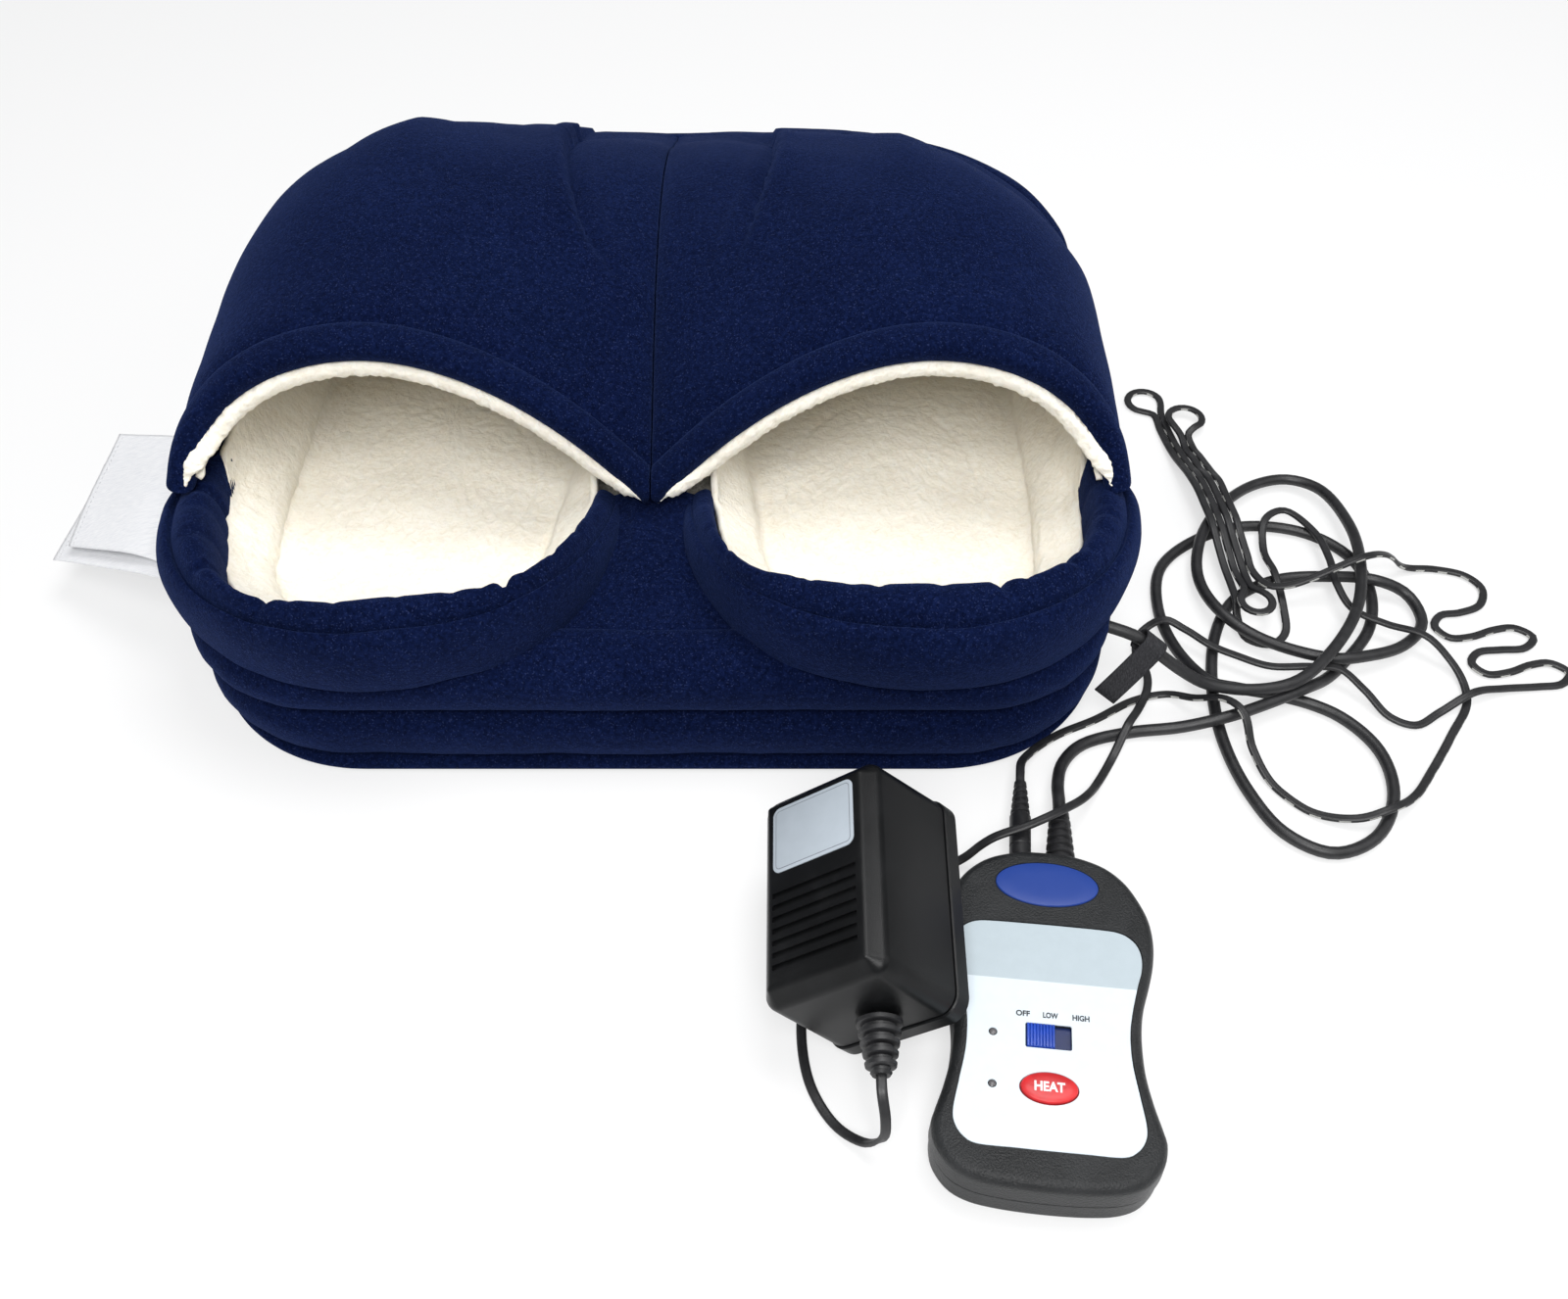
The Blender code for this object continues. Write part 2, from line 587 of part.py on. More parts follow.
def tube(name, points, radius, look=None, parent=None, resolution=1):
    """A round tube with flat filled ends along a list of points."""
    data = bpy.data.curves.new(name, "CURVE")
    data.dimensions = "3D"
    data.bevel_depth = radius
    data.bevel_resolution = resolution
    data.use_fill_caps = True
    line = data.splines.new("POLY")
    line.points.add(len(points) - 1)
    for point, spot in zip(line.points, points):
        point.co = (spot[0], spot[1], spot[2], 1.0)
    item = bpy.data.objects.new(name, data)
    PARTS.objects.link(item)
    if look is not None:
        data.materials.append(look)
    if parent is not None:
        item.parent = parent
    return item


def turned(name, profile, look=None, parent=None, steps=10):
    """A turned piece about its own Z. The profile is (radius, height), top first, and starts and ends at 0."""
    mesh = bpy.data.meshes.new(name)
    spots = [(radius, 0.0, height) for radius, height in profile]
    mesh.from_pydata(spots, [(i, i + 1) for i in range(len(spots) - 1)], [])
    item = place(name, mesh, look, parent)
    screw = item.modifiers.new("turn", "SCREW")
    screw.steps = steps
    screw.render_steps = steps
    screw.use_merge_vertices = True
    screw.merge_threshold = MESH_GAP / 100
    return item


def mesh_copy(item):
    """The evaluated shape of an object, as a plain mesh in its own space."""
    graph = bpy.context.evaluated_depsgraph_get()
    graph.update()
    return bpy.data.meshes.new_from_object(item.evaluated_get(graph))


def freeze(item):
    """Applies an object's modifiers."""
    mesh = mesh_copy(item)
    item.modifiers.clear()
    item.data = mesh
    return item


# Outlines
def arc(centre, radius, start, end, steps):
    """Points of an arc, angles in degrees, both ends included."""
    spots = []
    for i in range(steps + 1):
        angle = math.radians(start + (end - start) * i / steps)
        spots.append((centre[0] + radius * math.cos(angle), centre[1] + radius * math.sin(angle)))
    return spots


def straight(start, end, steps):
    """Points between two ends, ends left out."""
    return [tuple(a + (b - a) * i / steps for a, b in zip(start, end)) for i in range(1, steps)]


def rounded_outline(half_width, front, back, front_radius, back_radius, steps, between=1):
    """A rectangle with round corners, counter-clockwise from the middle of its right side's front corner."""
    corners = ((half_width - front_radius, -front + front_radius, front_radius, -90.0),
               (half_width - back_radius, back - back_radius, back_radius, 0.0),
               (-half_width + back_radius, back - back_radius, back_radius, 90.0),
               (-half_width + front_radius, -front + front_radius, front_radius, 180.0))
    arcs = [arc(corner[:2], corner[2], corner[3], corner[3] + 90.0, steps) for corner in corners]
    spots = []
    for i, here in enumerate(arcs):
        spots += here
        spots += straight(here[-1], arcs[(i + 1) % len(arcs)][0], between)
    return spots


def base_outline(inset, between=STRAIGHT_STEPS):
    """The warmer's plan outline, drawn in by an inset."""
    return rounded_outline(HALF_WIDTH - inset, HALF_DEPTH + DEPTH_SHIFT - inset,
                           HALF_DEPTH - DEPTH_SHIFT - inset, FRONT_CORNER_RADIUS - inset,
                           BACK_CORNER_RADIUS - inset, CORNER_STEPS, between)


def plain_outline(inset):
    """The same outline with nothing between its round corners."""
    return base_outline(inset, 1)


def offset(outline, distance):
    """A closed outline moved along its own normals, inward for a positive distance on an outline that runs
    counter-clockwise."""
    moved = []
    count = len(outline)
    for i, spot in enumerate(outline):
        here = Vector(spot)
        into = (here - Vector(outline[i - 1])).normalized()
        out = (Vector(outline[(i + 1) % count]) - here).normalized()
        bisector = (into + out).normalized()
        normal = Vector((-bisector.y, bisector.x))
        spread = max(bisector.dot(out), 0.5)
        moved.append(tuple(here + normal * distance / spread))
    return moved


def scaled(outline, share, centre):
    return [tuple(Vector(centre) + (Vector(spot) - Vector(centre)) * share) for spot in outline]


def at_height(outline, height):
    return [(x, y, height) for x, y in outline]


def mirrored(outline):
    """The other half of an outline that starts and ends on the middle line, joined to it."""
    return list(outline) + [(-x, y) for x, y in outline[-2:0:-1]]


def on_warmer(shares):
    return [(x * HALF_WIDTH, y * HALF_DEPTH) for x, y in shares]


def for_side(points, side):
    return [(side * p[0],) + tuple(p[1:]) for p in points]


def well_outline(inset):
    """The foot well's outline for the right foot, counter-clockwise, drawn in from the lip's inner rail."""
    line = on_warmer(LIP_INNER_SHARES) + on_warmer(TOE_SHARES)
    return offset(line, inset)


# Base of the warmer
def ring_band(name, rings, look):
    """A soft band round the base, from rings of (inset, height)."""
    rows = [at_height(base_outline(inset), height) for inset, height in rings]
    return soften(solidify(place(name, skin(name, rows, around=True), look), BAND_THICKNESS))


def base_bands():
    fleece = material("navy_fleece", NAVY, 0.95)
    low, high = PANEL_THICKNESS + FIT_GAP, WELT_HEIGHT
    bulge = [low + (high - low) * share for share in BULGE_SHARES]
    ring_band("lower_band", ((BAND_FOOT_INSET, low), (LOWER_BULGE_INSET + BULGE_STEP, bulge[0]),
                             (LOWER_BULGE_INSET, bulge[1]), (WELT_INSET, high)), fleece)
    low, high = WELT_HEIGHT + FIT_GAP, BAND_TOP
    bulge = [low + (high - low) * share for share in BULGE_SHARES]
    upper = ring_band("upper_band", ((WELT_INSET, low), (UPPER_BULGE_INSET, bulge[0]),
                                     (UPPER_BULGE_INSET, bulge[1]), (BAND_TOP_INSET, high)), fleece)
    start, ahead = cable_points()[:2]
    inward = (start - ahead).normalized()
    hole = as_cutter(rod("cable_hole_cutter", start + inward * (BAND_THICKNESS * 2 + CUT_OVERRUN),
                         start - inward * CUT_OVERRUN, CABLE_RADIUS + MESH_GAP, 12))
    cut(upper, hole)
    bevel(plate("bottom_panel", plain_outline(PANEL_INSET), 0.0, PANEL_THICKNESS,
                material("anti_slip_cloth", BLACK_PLASTIC, 0.9)), PANEL_THICKNESS / 4)


def cable_points():
    """The cable's route, its first points set out from the side of the warmer that they leave."""
    shift = HALF_WIDTH - CABLE_EXIT_INSET - CABLE_ROUTE[0][0]
    return [Vector(spot) + Vector((shift * max(0.0, 1.0 - i / CABLE_EXIT_POINTS), 0.0, 0.0))
            for i, spot in enumerate(CABLE_ROUTE)]


def cable_entry():
    """Where the heater cable ends inside the band, and the direction in which it got there."""
    start, ahead = cable_points()[:2]
    inward = (start - ahead).normalized()
    return start + inward * BAND_THICKNESS * 1.3, inward


def capsule_spot(side):
    return Vector((side * MOTOR_X, MOTOR_Y, 0.0))


def harness_route():
    """From the cable's end inside the band, down the front of the foam and past both motor capsules."""
    entry, inward = cable_entry()
    entry = entry + inward * HARNESS_RADIUS
    level = Vector((inward.x, inward.y, 0.0)).normalized()
    drop = entry + level * (CORE_INSET - UPPER_BULGE_INSET - BAND_THICKNESS)
    low = PANEL_THICKNESS + FIT_GAP + TRENCH_SIZE / 2
    clear = CAPSULE_RADIUS + TRENCH_SIZE * 1.4
    right, left = capsule_spot(1), capsule_spot(-1)
    corner = clear * math.sqrt(0.5)
    spots = [entry, entry + inward * HARNESS_RADIUS * 2, Vector((drop.x, drop.y, WELT_HEIGHT)),
            Vector((drop.x, drop.y, low * 3)), Vector((drop.x, drop.y, low)) + level * TRENCH_SIZE,
            right + Vector((clear, -corner, low)), right + Vector((clear, 0.0, low)),
            right + Vector((corner, corner, low)), right + Vector((0.0, clear, low)),
            Vector((0.0, right.y + clear, low)), left + Vector((0.0, clear, low)),
            left + Vector((-corner, corner, low))]
    return smooth_route(spots, BAND_THICKNESS * 4, low)


def foam_core():
    bottom = PANEL_THICKNESS + FIT_GAP
    core = plate("foam_core", plain_outline(CORE_INSET), bottom, BAND_TOP - FIT_GAP, material("foam", FOAM, 0.95))
    for side, word in ((1, "right"), (-1, "left")):
        well = for_side(well_outline(WELL_INSET - WELL_CUT_GAP), side)
        cut(core, as_cutter(plate(word + "_well_cutter", well, WELL_FLOOR, HEIGHT)))
        spot = capsule_spot(side)
        foot = spot + Vector((0.0, 0.0, bottom - CUT_OVERRUN))
        top = spot + Vector((0.0, 0.0, bottom + MESH_GAP * 2 + LID_THICKNESS + CAPSULE_HEIGHT + FIT_GAP))
        cut(core, as_cutter(rod(word + "_capsule_cutter", foot, top, CAPSULE_RADIUS + FIT_GAP, CAPSULE_SIDES)))
    trench = tube("trench_curve", harness_route(), TRENCH_SIZE / 2)
    cut(core, as_cutter(curve_to_mesh("trench_cutter", trench)))
    copper = material("harness_cover", BLACK_PLASTIC, 0.6)
    tube("wiring_harness", harness_route()[:-1], HARNESS_RADIUS, copper)


def motor_unit(side, word):
    """A vibration motor on its cradle, in a capsule let into the underside of the foam."""
    shell = material("capsule_plastic", WHITE_PLASTIC, 0.5)
    steel = material("motor_steel", STEEL, 0.35, 1.0)
    spot = capsule_spot(side)
    low = PANEL_THICKNESS + FIT_GAP + MESH_GAP
    lid_top = low + LID_THICKNESS
    axis_height = lid_top + MOTOR_RADIUS * 1.3
    centre = spot + Vector((0.0, 0.0, axis_height))
    lid = rod(word + "_capsule_lid", spot + Vector((0.0, 0.0, low)), spot + Vector((0.0, 0.0, lid_top)),
              CAPSULE_RADIUS, CAPSULE_SIDES, shell)
    half = MOTOR_LENGTH / 3
    cradle = box(word + "_cradle", spot + Vector((-half, -MOTOR_RADIUS, lid_top - LID_THICKNESS / 2)),
                 spot + Vector((half, MOTOR_RADIUS, axis_height)))
    cut(lid, as_cutter(cradle), "UNION")
    reach = Vector((MOTOR_LENGTH / 2, 0.0, 0.0))
    saddle = rod(word + "_saddle_cutter", centre - reach * 2, centre + reach * 2, MOTOR_RADIUS + FIT_GAP, 20)
    cut(lid, as_cutter(saddle))
    base = lid_top + MESH_GAP
    capsule = rod(word + "_motor_capsule", spot + Vector((0.0, 0.0, base)),
                  spot + Vector((0.0, 0.0, base + CAPSULE_HEIGHT)), CAPSULE_RADIUS, CAPSULE_SIDES, shell)
    hollow = rod(word + "_hollow_cutter", spot + Vector((0.0, 0.0, base - CUT_OVERRUN)),
                 spot + Vector((0.0, 0.0, base + CAPSULE_HEIGHT - CAPSULE_WALL)), CAPSULE_RADIUS - CAPSULE_WALL,
                 CAPSULE_SIDES)
    cut(capsule, as_cutter(hollow))
    motor = rod(word + "_motor", centre - reach, centre + reach, MOTOR_RADIUS, 20, steel)
    bore = rod(word + "_bore_cutter", centre, centre + reach * 2, SHAFT_RADIUS + FIT_GAP, 12)
    cut(motor, as_cutter(bore))
    weight_start = centre + reach + Vector((FIT_GAP * 3, 0.0, 0.0))
    weight_end = weight_start + Vector((WEIGHT_THICKNESS, 0.0, 0.0))
    weight = rod(word + "_eccentric_weight", weight_start, weight_end, WEIGHT_RADIUS, 20,
                 material("weight_brass", BRASS, 0.4, 1.0))
    span = Vector((CUT_OVERRUN, WEIGHT_RADIUS + CUT_OVERRUN, 0.0))
    upper = box(word + "_weight_cutter", weight_start - span,
                weight_end + span + Vector((0.0, 0.0, WEIGHT_RADIUS + CUT_OVERRUN)))
    cut(weight, as_cutter(upper))
    shaft = rod(word + "_shaft", centre + Vector((FIT_GAP * 3, 0.0, 0.0)), weight_end, SHAFT_RADIUS, 12)
    cut(weight, as_cutter(shaft), "UNION")
    freeze(weight)
    move_origin(weight, weight_start)


# Foot wells, lips and the panels between them
def foot_well(side, word):
    sherpa = material("cream_sherpa", SHERPA, 1.0)
    floor = WELL_FLOOR + FIT_GAP
    pad_top = floor + PAD_THICKNESS
    plate(word + "_heater_pad", for_side(well_outline(WELL_INSET + PAD_INSET), side), floor, pad_top,
          material("heater_film", RED_PLASTIC, 0.6))
    base = pad_top + FIT_GAP
    rows = []
    heel = well_outline(0.0)
    for inset, rise, flare in WELL_RING_SHARES:
        ring = []
        for (x, y), (home_x, home_y) in zip(well_outline(WELL_INSET * inset), heel):
            lean = max(0.0, (home_y + HALF_DEPTH / 4) / HALF_DEPTH) * TOE_FLARE * flare
            ring.append((side * (x + lean * home_x / HALF_WIDTH), y + lean, base + (WELL_RIM - base) * rise))
        rows.append(ring)
    wall = place(word + "_well_wall", skin(word + "_well_wall", rows, around=True, flip=side < 0), sherpa)
    soften(solidify(wall, WELL_WALL))
    inner = WELL_INSET + WELL_WALL + WELL_CUT_GAP
    outline = well_outline(inner)
    centre = sum((Vector(spot) for spot in outline), Vector((0.0, 0.0))) / len(outline)
    heights = (base, base + SOLE_THICKNESS * 0.7, base + SOLE_THICKNESS, base + SOLE_THICKNESS + SOLE_CROWN)
    rings = [for_side(at_height(scaled(outline, share, centre), height), side)
             for share, height in zip(SOLE_RING_SHARES, heights)]
    soften(place(word + "_sole_pad", skin(word + "_sole_pad", rings, around=True, first=True, last=True), sherpa))


def lip(side, word):
    """The padded roll round a heel opening, lofted between its outer and inner rails."""
    foot = BAND_TOP + SEAM_GAP
    rows = []
    outer, inner = on_warmer(LIP_OUTER_SHARES), on_warmer(LIP_INNER_SHARES)
    for (x0, y0), (x1, y1), crest in zip(outer, inner, LIP_CREST_SHARES):
        row = []
        for across, rise in LIP_SECTION_SHARES:
            height = foot + (LIP_CREST - foot) * crest * rise
            row.append((side * (x0 + (x1 - x0) * across), y0 + (y1 - y0) * across, height))
        rows.append(row)
    name = word + "_heel_lip"
    soften(subdivide(place(name, skin(name, rows, around=True, first=True, last=True),
                           material("navy_fleece", NAVY, 0.95))))


def centre_panels():
    """The sloping gusset between the lips, and the padded divider between the two wells."""
    fleece = material("navy_fleece", NAVY, 0.95)
    low = BAND_TOP + SEAM_GAP
    rows = []
    for (x, y), share in zip(on_warmer(LIP_OUTER_SHARES[:4]), GUSSET_SLOPE_SHARES):
        half = x - GUSSET_MARGIN
        edge = GUSSET_FRONT_TOP + (GUSSET_TOP - GUSSET_FRONT_TOP) * share
        crown = edge + GUSSET_CROWN
        rows.append([(half, y, low), (half, y, edge), (half / 2, y, crown), (-half / 2, y, crown),
                     (-half, y, edge), (-half, y, low)])
    soften(place("centre_gusset", skin("centre_gusset", rows, around=True, first=True, last=True), fleece))
    span, rise = DIVIDER_BACK - DIVIDER_FRONT, DIVIDER_BACK_TOP - DIVIDER_FRONT_TOP
    crest = [(DIVIDER_FRONT + span * along, DIVIDER_FRONT_TOP + rise * up) for along, up in DIVIDER_SHARES]
    profile = [(DIVIDER_FRONT, low), (DIVIDER_BACK, low)] + crest[::-1]
    divider = plate("centre_divider", profile, -DIVIDER_HALF_WIDTH, DIVIDER_HALF_WIDTH, fleece)
    divider.data.transform(Matrix(((0, 0, 1, 0), (1, 0, 0, 0), (0, 1, 0, 0), (0, 0, 0, 1))))
    bevel(divider, DIVIDER_HALF_WIDTH / 4, 2)


def rear_wall():
    """The upright wall round the toes, from the end of one lip to the other."""
    low, high = BAND_TOP + SEAM_GAP, WALL_TOP
    rows = []
    for inset, share in zip(WALL_INSETS, (0.0, 0.5, 1.0)):
        outline = base_outline(inset)
        ring = [spot for spot in outline if spot[1] > REAR_WALL_FRONT + REAR_WALL_MARGIN]
        first = ring.index(max(ring, key=lambda spot: (spot[0] > 0.0, -spot[1])))
        ring = ring[first:] + ring[:first]
        ends = (HALF_WIDTH - inset, REAR_WALL_FRONT)
        ring = [ends] + ring + [(-ends[0], ends[1])]
        rows.append(at_height(ring, low + (high - low) * share))
    soften(solidify(place("rear_wall", skin("rear_wall", rows), material("navy_fleece", NAVY, 0.95)), FABRIC))


# Hood
def blend(table, spot):
    """Reads a table of rows at a fractional place."""
    low = min(int(spot), len(table) - 2)
    part = spot - low
    return [a + (b - a) * part for a, b in zip(table[low], table[low + 1])]


def hood_point(row, column):
    """A point of the hood's outer face, right half."""
    half, y_edge, y_crown, y_mid, z_edge, z_crown, z_mid, dart = blend(HOOD_ROW_SHARES, row)
    across = blend([(share,) for share in HOOD_COLUMN_SHARES], column)[0]
    if column <= CROWN_COLUMN:
        share = blend([(value,) for value in RISE_SHARES], column)[0]
        y_share = y_edge + (y_crown - y_edge) * share
        z_share = z_edge + (z_crown - z_edge) * share
    else:
        share = blend([(value,) for value in FALL_SHARES], column - CROWN_COLUMN)[0]
        y_share = y_mid + (y_crown - y_mid) * share
        z_share = z_mid + (z_crown - z_mid) * share
    z_share += dart * max(0.0, 1.0 - abs(column - DART_COLUMN))
    seat = WALL_TOP + HOOD_SEAT_RISE
    return Vector((half * across * HALF_WIDTH, y_share * HALF_DEPTH, seat + z_share * (HEIGHT - seat)))


def hood_normal(row, column):
    """The outward direction of the hood's face, measured over one cell each way."""
    last_row, last_column = len(HOOD_ROW_SHARES) - 1, len(HOOD_COLUMN_SHARES) - 1
    back = hood_point(min(row + 0.5, last_row), column) - hood_point(max(row - 0.5, 0.0), column)
    side = hood_point(row, min(column + 0.5, last_column)) - hood_point(row, max(column - 0.5, 0.0))
    return back.cross(side).normalized()


def hood_grid(first, last, columns, side, depth=0.0, puff=0.0, step=1.0, shift=0.0):
    """Rows of the hood's face between two rows, moved inward by a depth."""
    rows = []
    count = round((last - first) / step)
    for i in range(count + 1):
        row = first + (last - first) * i / count
        line = []
        for column in columns:
            spot = hood_point(row, column)
            bulge = puff if 0 < i < count else 0.0
            if depth or bulge:
                spot = spot + hood_normal(row, column) * (bulge - depth)
            if i == 0 and shift:
                ahead = hood_point(row + step, column)
                spot = spot + (ahead - spot).normalized() * shift
            middle = CENTRE_GAP if column == len(HOOD_COLUMN_SHARES) - 1 else spot.x
            line.append((side * middle, spot.y, spot.z))
        rows.append(line)
    return rows


def hood_half(side, word):
    fleece = material("navy_fleece", NAVY, 0.95)
    sherpa = material("cream_sherpa", SHERPA, 1.0)
    last_row, last_column = len(HOOD_ROW_SHARES) - 1, len(HOOD_COLUMN_SHARES) - 1
    columns = range(last_column + 1)
    flip = side > 0
    hood = place(word + "_hood", skin(word + "_hood", hood_grid(1, last_row, columns, side, shift=SEAM_GAP),
                                      flip=flip), fleece)
    soften(solidify(subdivide(hood), FABRIC))
    hem = place(word + "_hem_band", skin(word + "_hem_band", hood_grid(0, 1, columns, side, puff=HEM_PUFF,
                                                                      step=0.5), flip=flip), fleece)
    soften(solidify(subdivide(hem), FABRIC))
    rows = hood_grid(1, last_row - 2, range(last_column), side, depth=LINING_DEPTH)
    floor = WELL_RIM + LINING_THICKNESS * 2
    for row in rows:
        row[:] = [(x, y, max(z, floor)) for x, y, z in row]
        row.append((side * LINING_INNER_X, row[-1][1], floor - LINING_THICKNESS))
    lining = place(word + "_hood_lining", skin(word + "_hood_lining", rows, flip=flip), sherpa)
    soften(solidify(lining, LINING_THICKNESS))
    spots = []
    for column in [BINDING_START_SHARE * CROWN_COLUMN + i * 0.5 for i in range(BINDING_STEPS + 1)]:
        spot = hood_point(0, column) - hood_normal(0, column) * BINDING_DROP
        spots.append((side * spot.x, spot.y, spot.z))
    tube(word + "_sherpa_binding", spots, BINDING_RADIUS, sherpa, resolution=2)


# Trim: tags and cord keeper
def care_tags():
    """Two satin tags sewn into the left side, drooping outward one over the other."""
    satin = material("white_satin", SATIN, 0.35)
    seam = -HALF_WIDTH - TAG_SEAM_GAP
    for i, word in enumerate(("upper", "lower")):
        rows = []
        steps = TAG_STEPS
        for j in range(steps + 1):
            out = j / steps
            droop = TAG_DROP * (out * out) + i * TAG_SPACING * (0.3 + out)
            x = seam - TAG_REACH * out * (1.0 - 0.12 * i)
            lead = TAG_SKEW * out - i * TAG_SPACING * 2
            height = BAND_TOP + TAG_SPACING / 2 - droop
            rows.append([(x, TAG_FRONT + lead * 0.2, height), (x, TAG_FRONT + lead + TAG_LENGTH, height)])
        name = word + "_care_tag"
        soften(solidify(place(name, skin(name, rows), satin), TAG_THICKNESS))


def cord_keeper():
    """A loop of ribbon round the cable where it leaves the seam, with its tail sewn to the band."""
    ribbon = material("keeper_ribbon", BLACK_PLASTIC, 0.8)
    start, end = cable_points()[1:3]
    middle, axis = (start + end) / 2, (end - start).normalized()
    toward = Vector((-1.0, 0.0, 0.0))
    across = (toward - axis * toward.dot(axis)).normalized()
    up = axis.cross(across)
    rows = []
    for end in (-0.5, 0.5):
        spot = middle + axis * KEEPER_LENGTH * end
        line = [spot + across * KEEPER_TAIL - up * KEEPER_RADIUS]
        for i in range(KEEPER_STEPS + 1):
            angle = -math.pi / 2 - KEEPER_TURN * i / KEEPER_STEPS
            line.append(spot + (across * math.cos(angle) + up * math.sin(angle)) * KEEPER_RADIUS)
        rows.append(line)
    loop = solidify(place("cord_keeper", skin("cord_keeper", rows), ribbon), KEEPER_THICKNESS)
    loop.modifiers["wall"].offset = 1.0


# Controller. Its own axes: X across, Y toward the cords, Z up from the floor
def control_outline(inset):
    half = [(x * CONTROL_HALF_WIDTH, y * CONTROL_HALF_LENGTH) for x, y in CONTROL_SHARES]
    return offset(mirrored(half)[::-1], inset)


def face_outline(inset):
    half = [(x * CONTROL_HALF_WIDTH, y * CONTROL_HALF_LENGTH) for x, y in FACE_SHARES]
    return offset(mirrored(half)[::-1], inset)


def oval(half_width, half_height, centre_y, steps=20):
    turn = 2 * math.pi / steps
    return [(half_width * math.cos(i * turn), centre_y + half_height * math.sin(i * turn)) for i in range(steps)]


def rounded_box_outline(half_width, half_height, centre, radius, steps=4):
    spots = rounded_outline(half_width, half_height, half_height, radius, radius, steps)
    return [(x + centre[0], y + centre[1]) for x, y in spots]


def along_y(item):
    """Turns a piece made about Z so that it lies along Y, its top at the far end."""
    item.rotation_euler = (math.radians(-90.0), 0.0, 0.0)
    return item


def y_rod(name, x, z, start, end, radius, segments=16, parent=None):
    return rod(name, (x, start, z), (x, end, z), radius, segments, None, parent)


def grooved_taper(radius, end_radius, start, end, ribs, groove):
    """Profile of a ribbed taper, from its tip back to its root, for a turned piece along Y."""
    profile = []
    pitch = (end - start) / (ribs + 1)
    for i in range(ribs, 0, -1):
        middle = start + pitch * i
        wide = radius + (end_radius - radius) * (middle - start) / (end - start)
        profile += [(wide, middle + pitch * 0.32), (wide - groove, middle + pitch * 0.20),
                    (wide - groove, middle - pitch * 0.20), (wide, middle - pitch * 0.32)]
    return profile


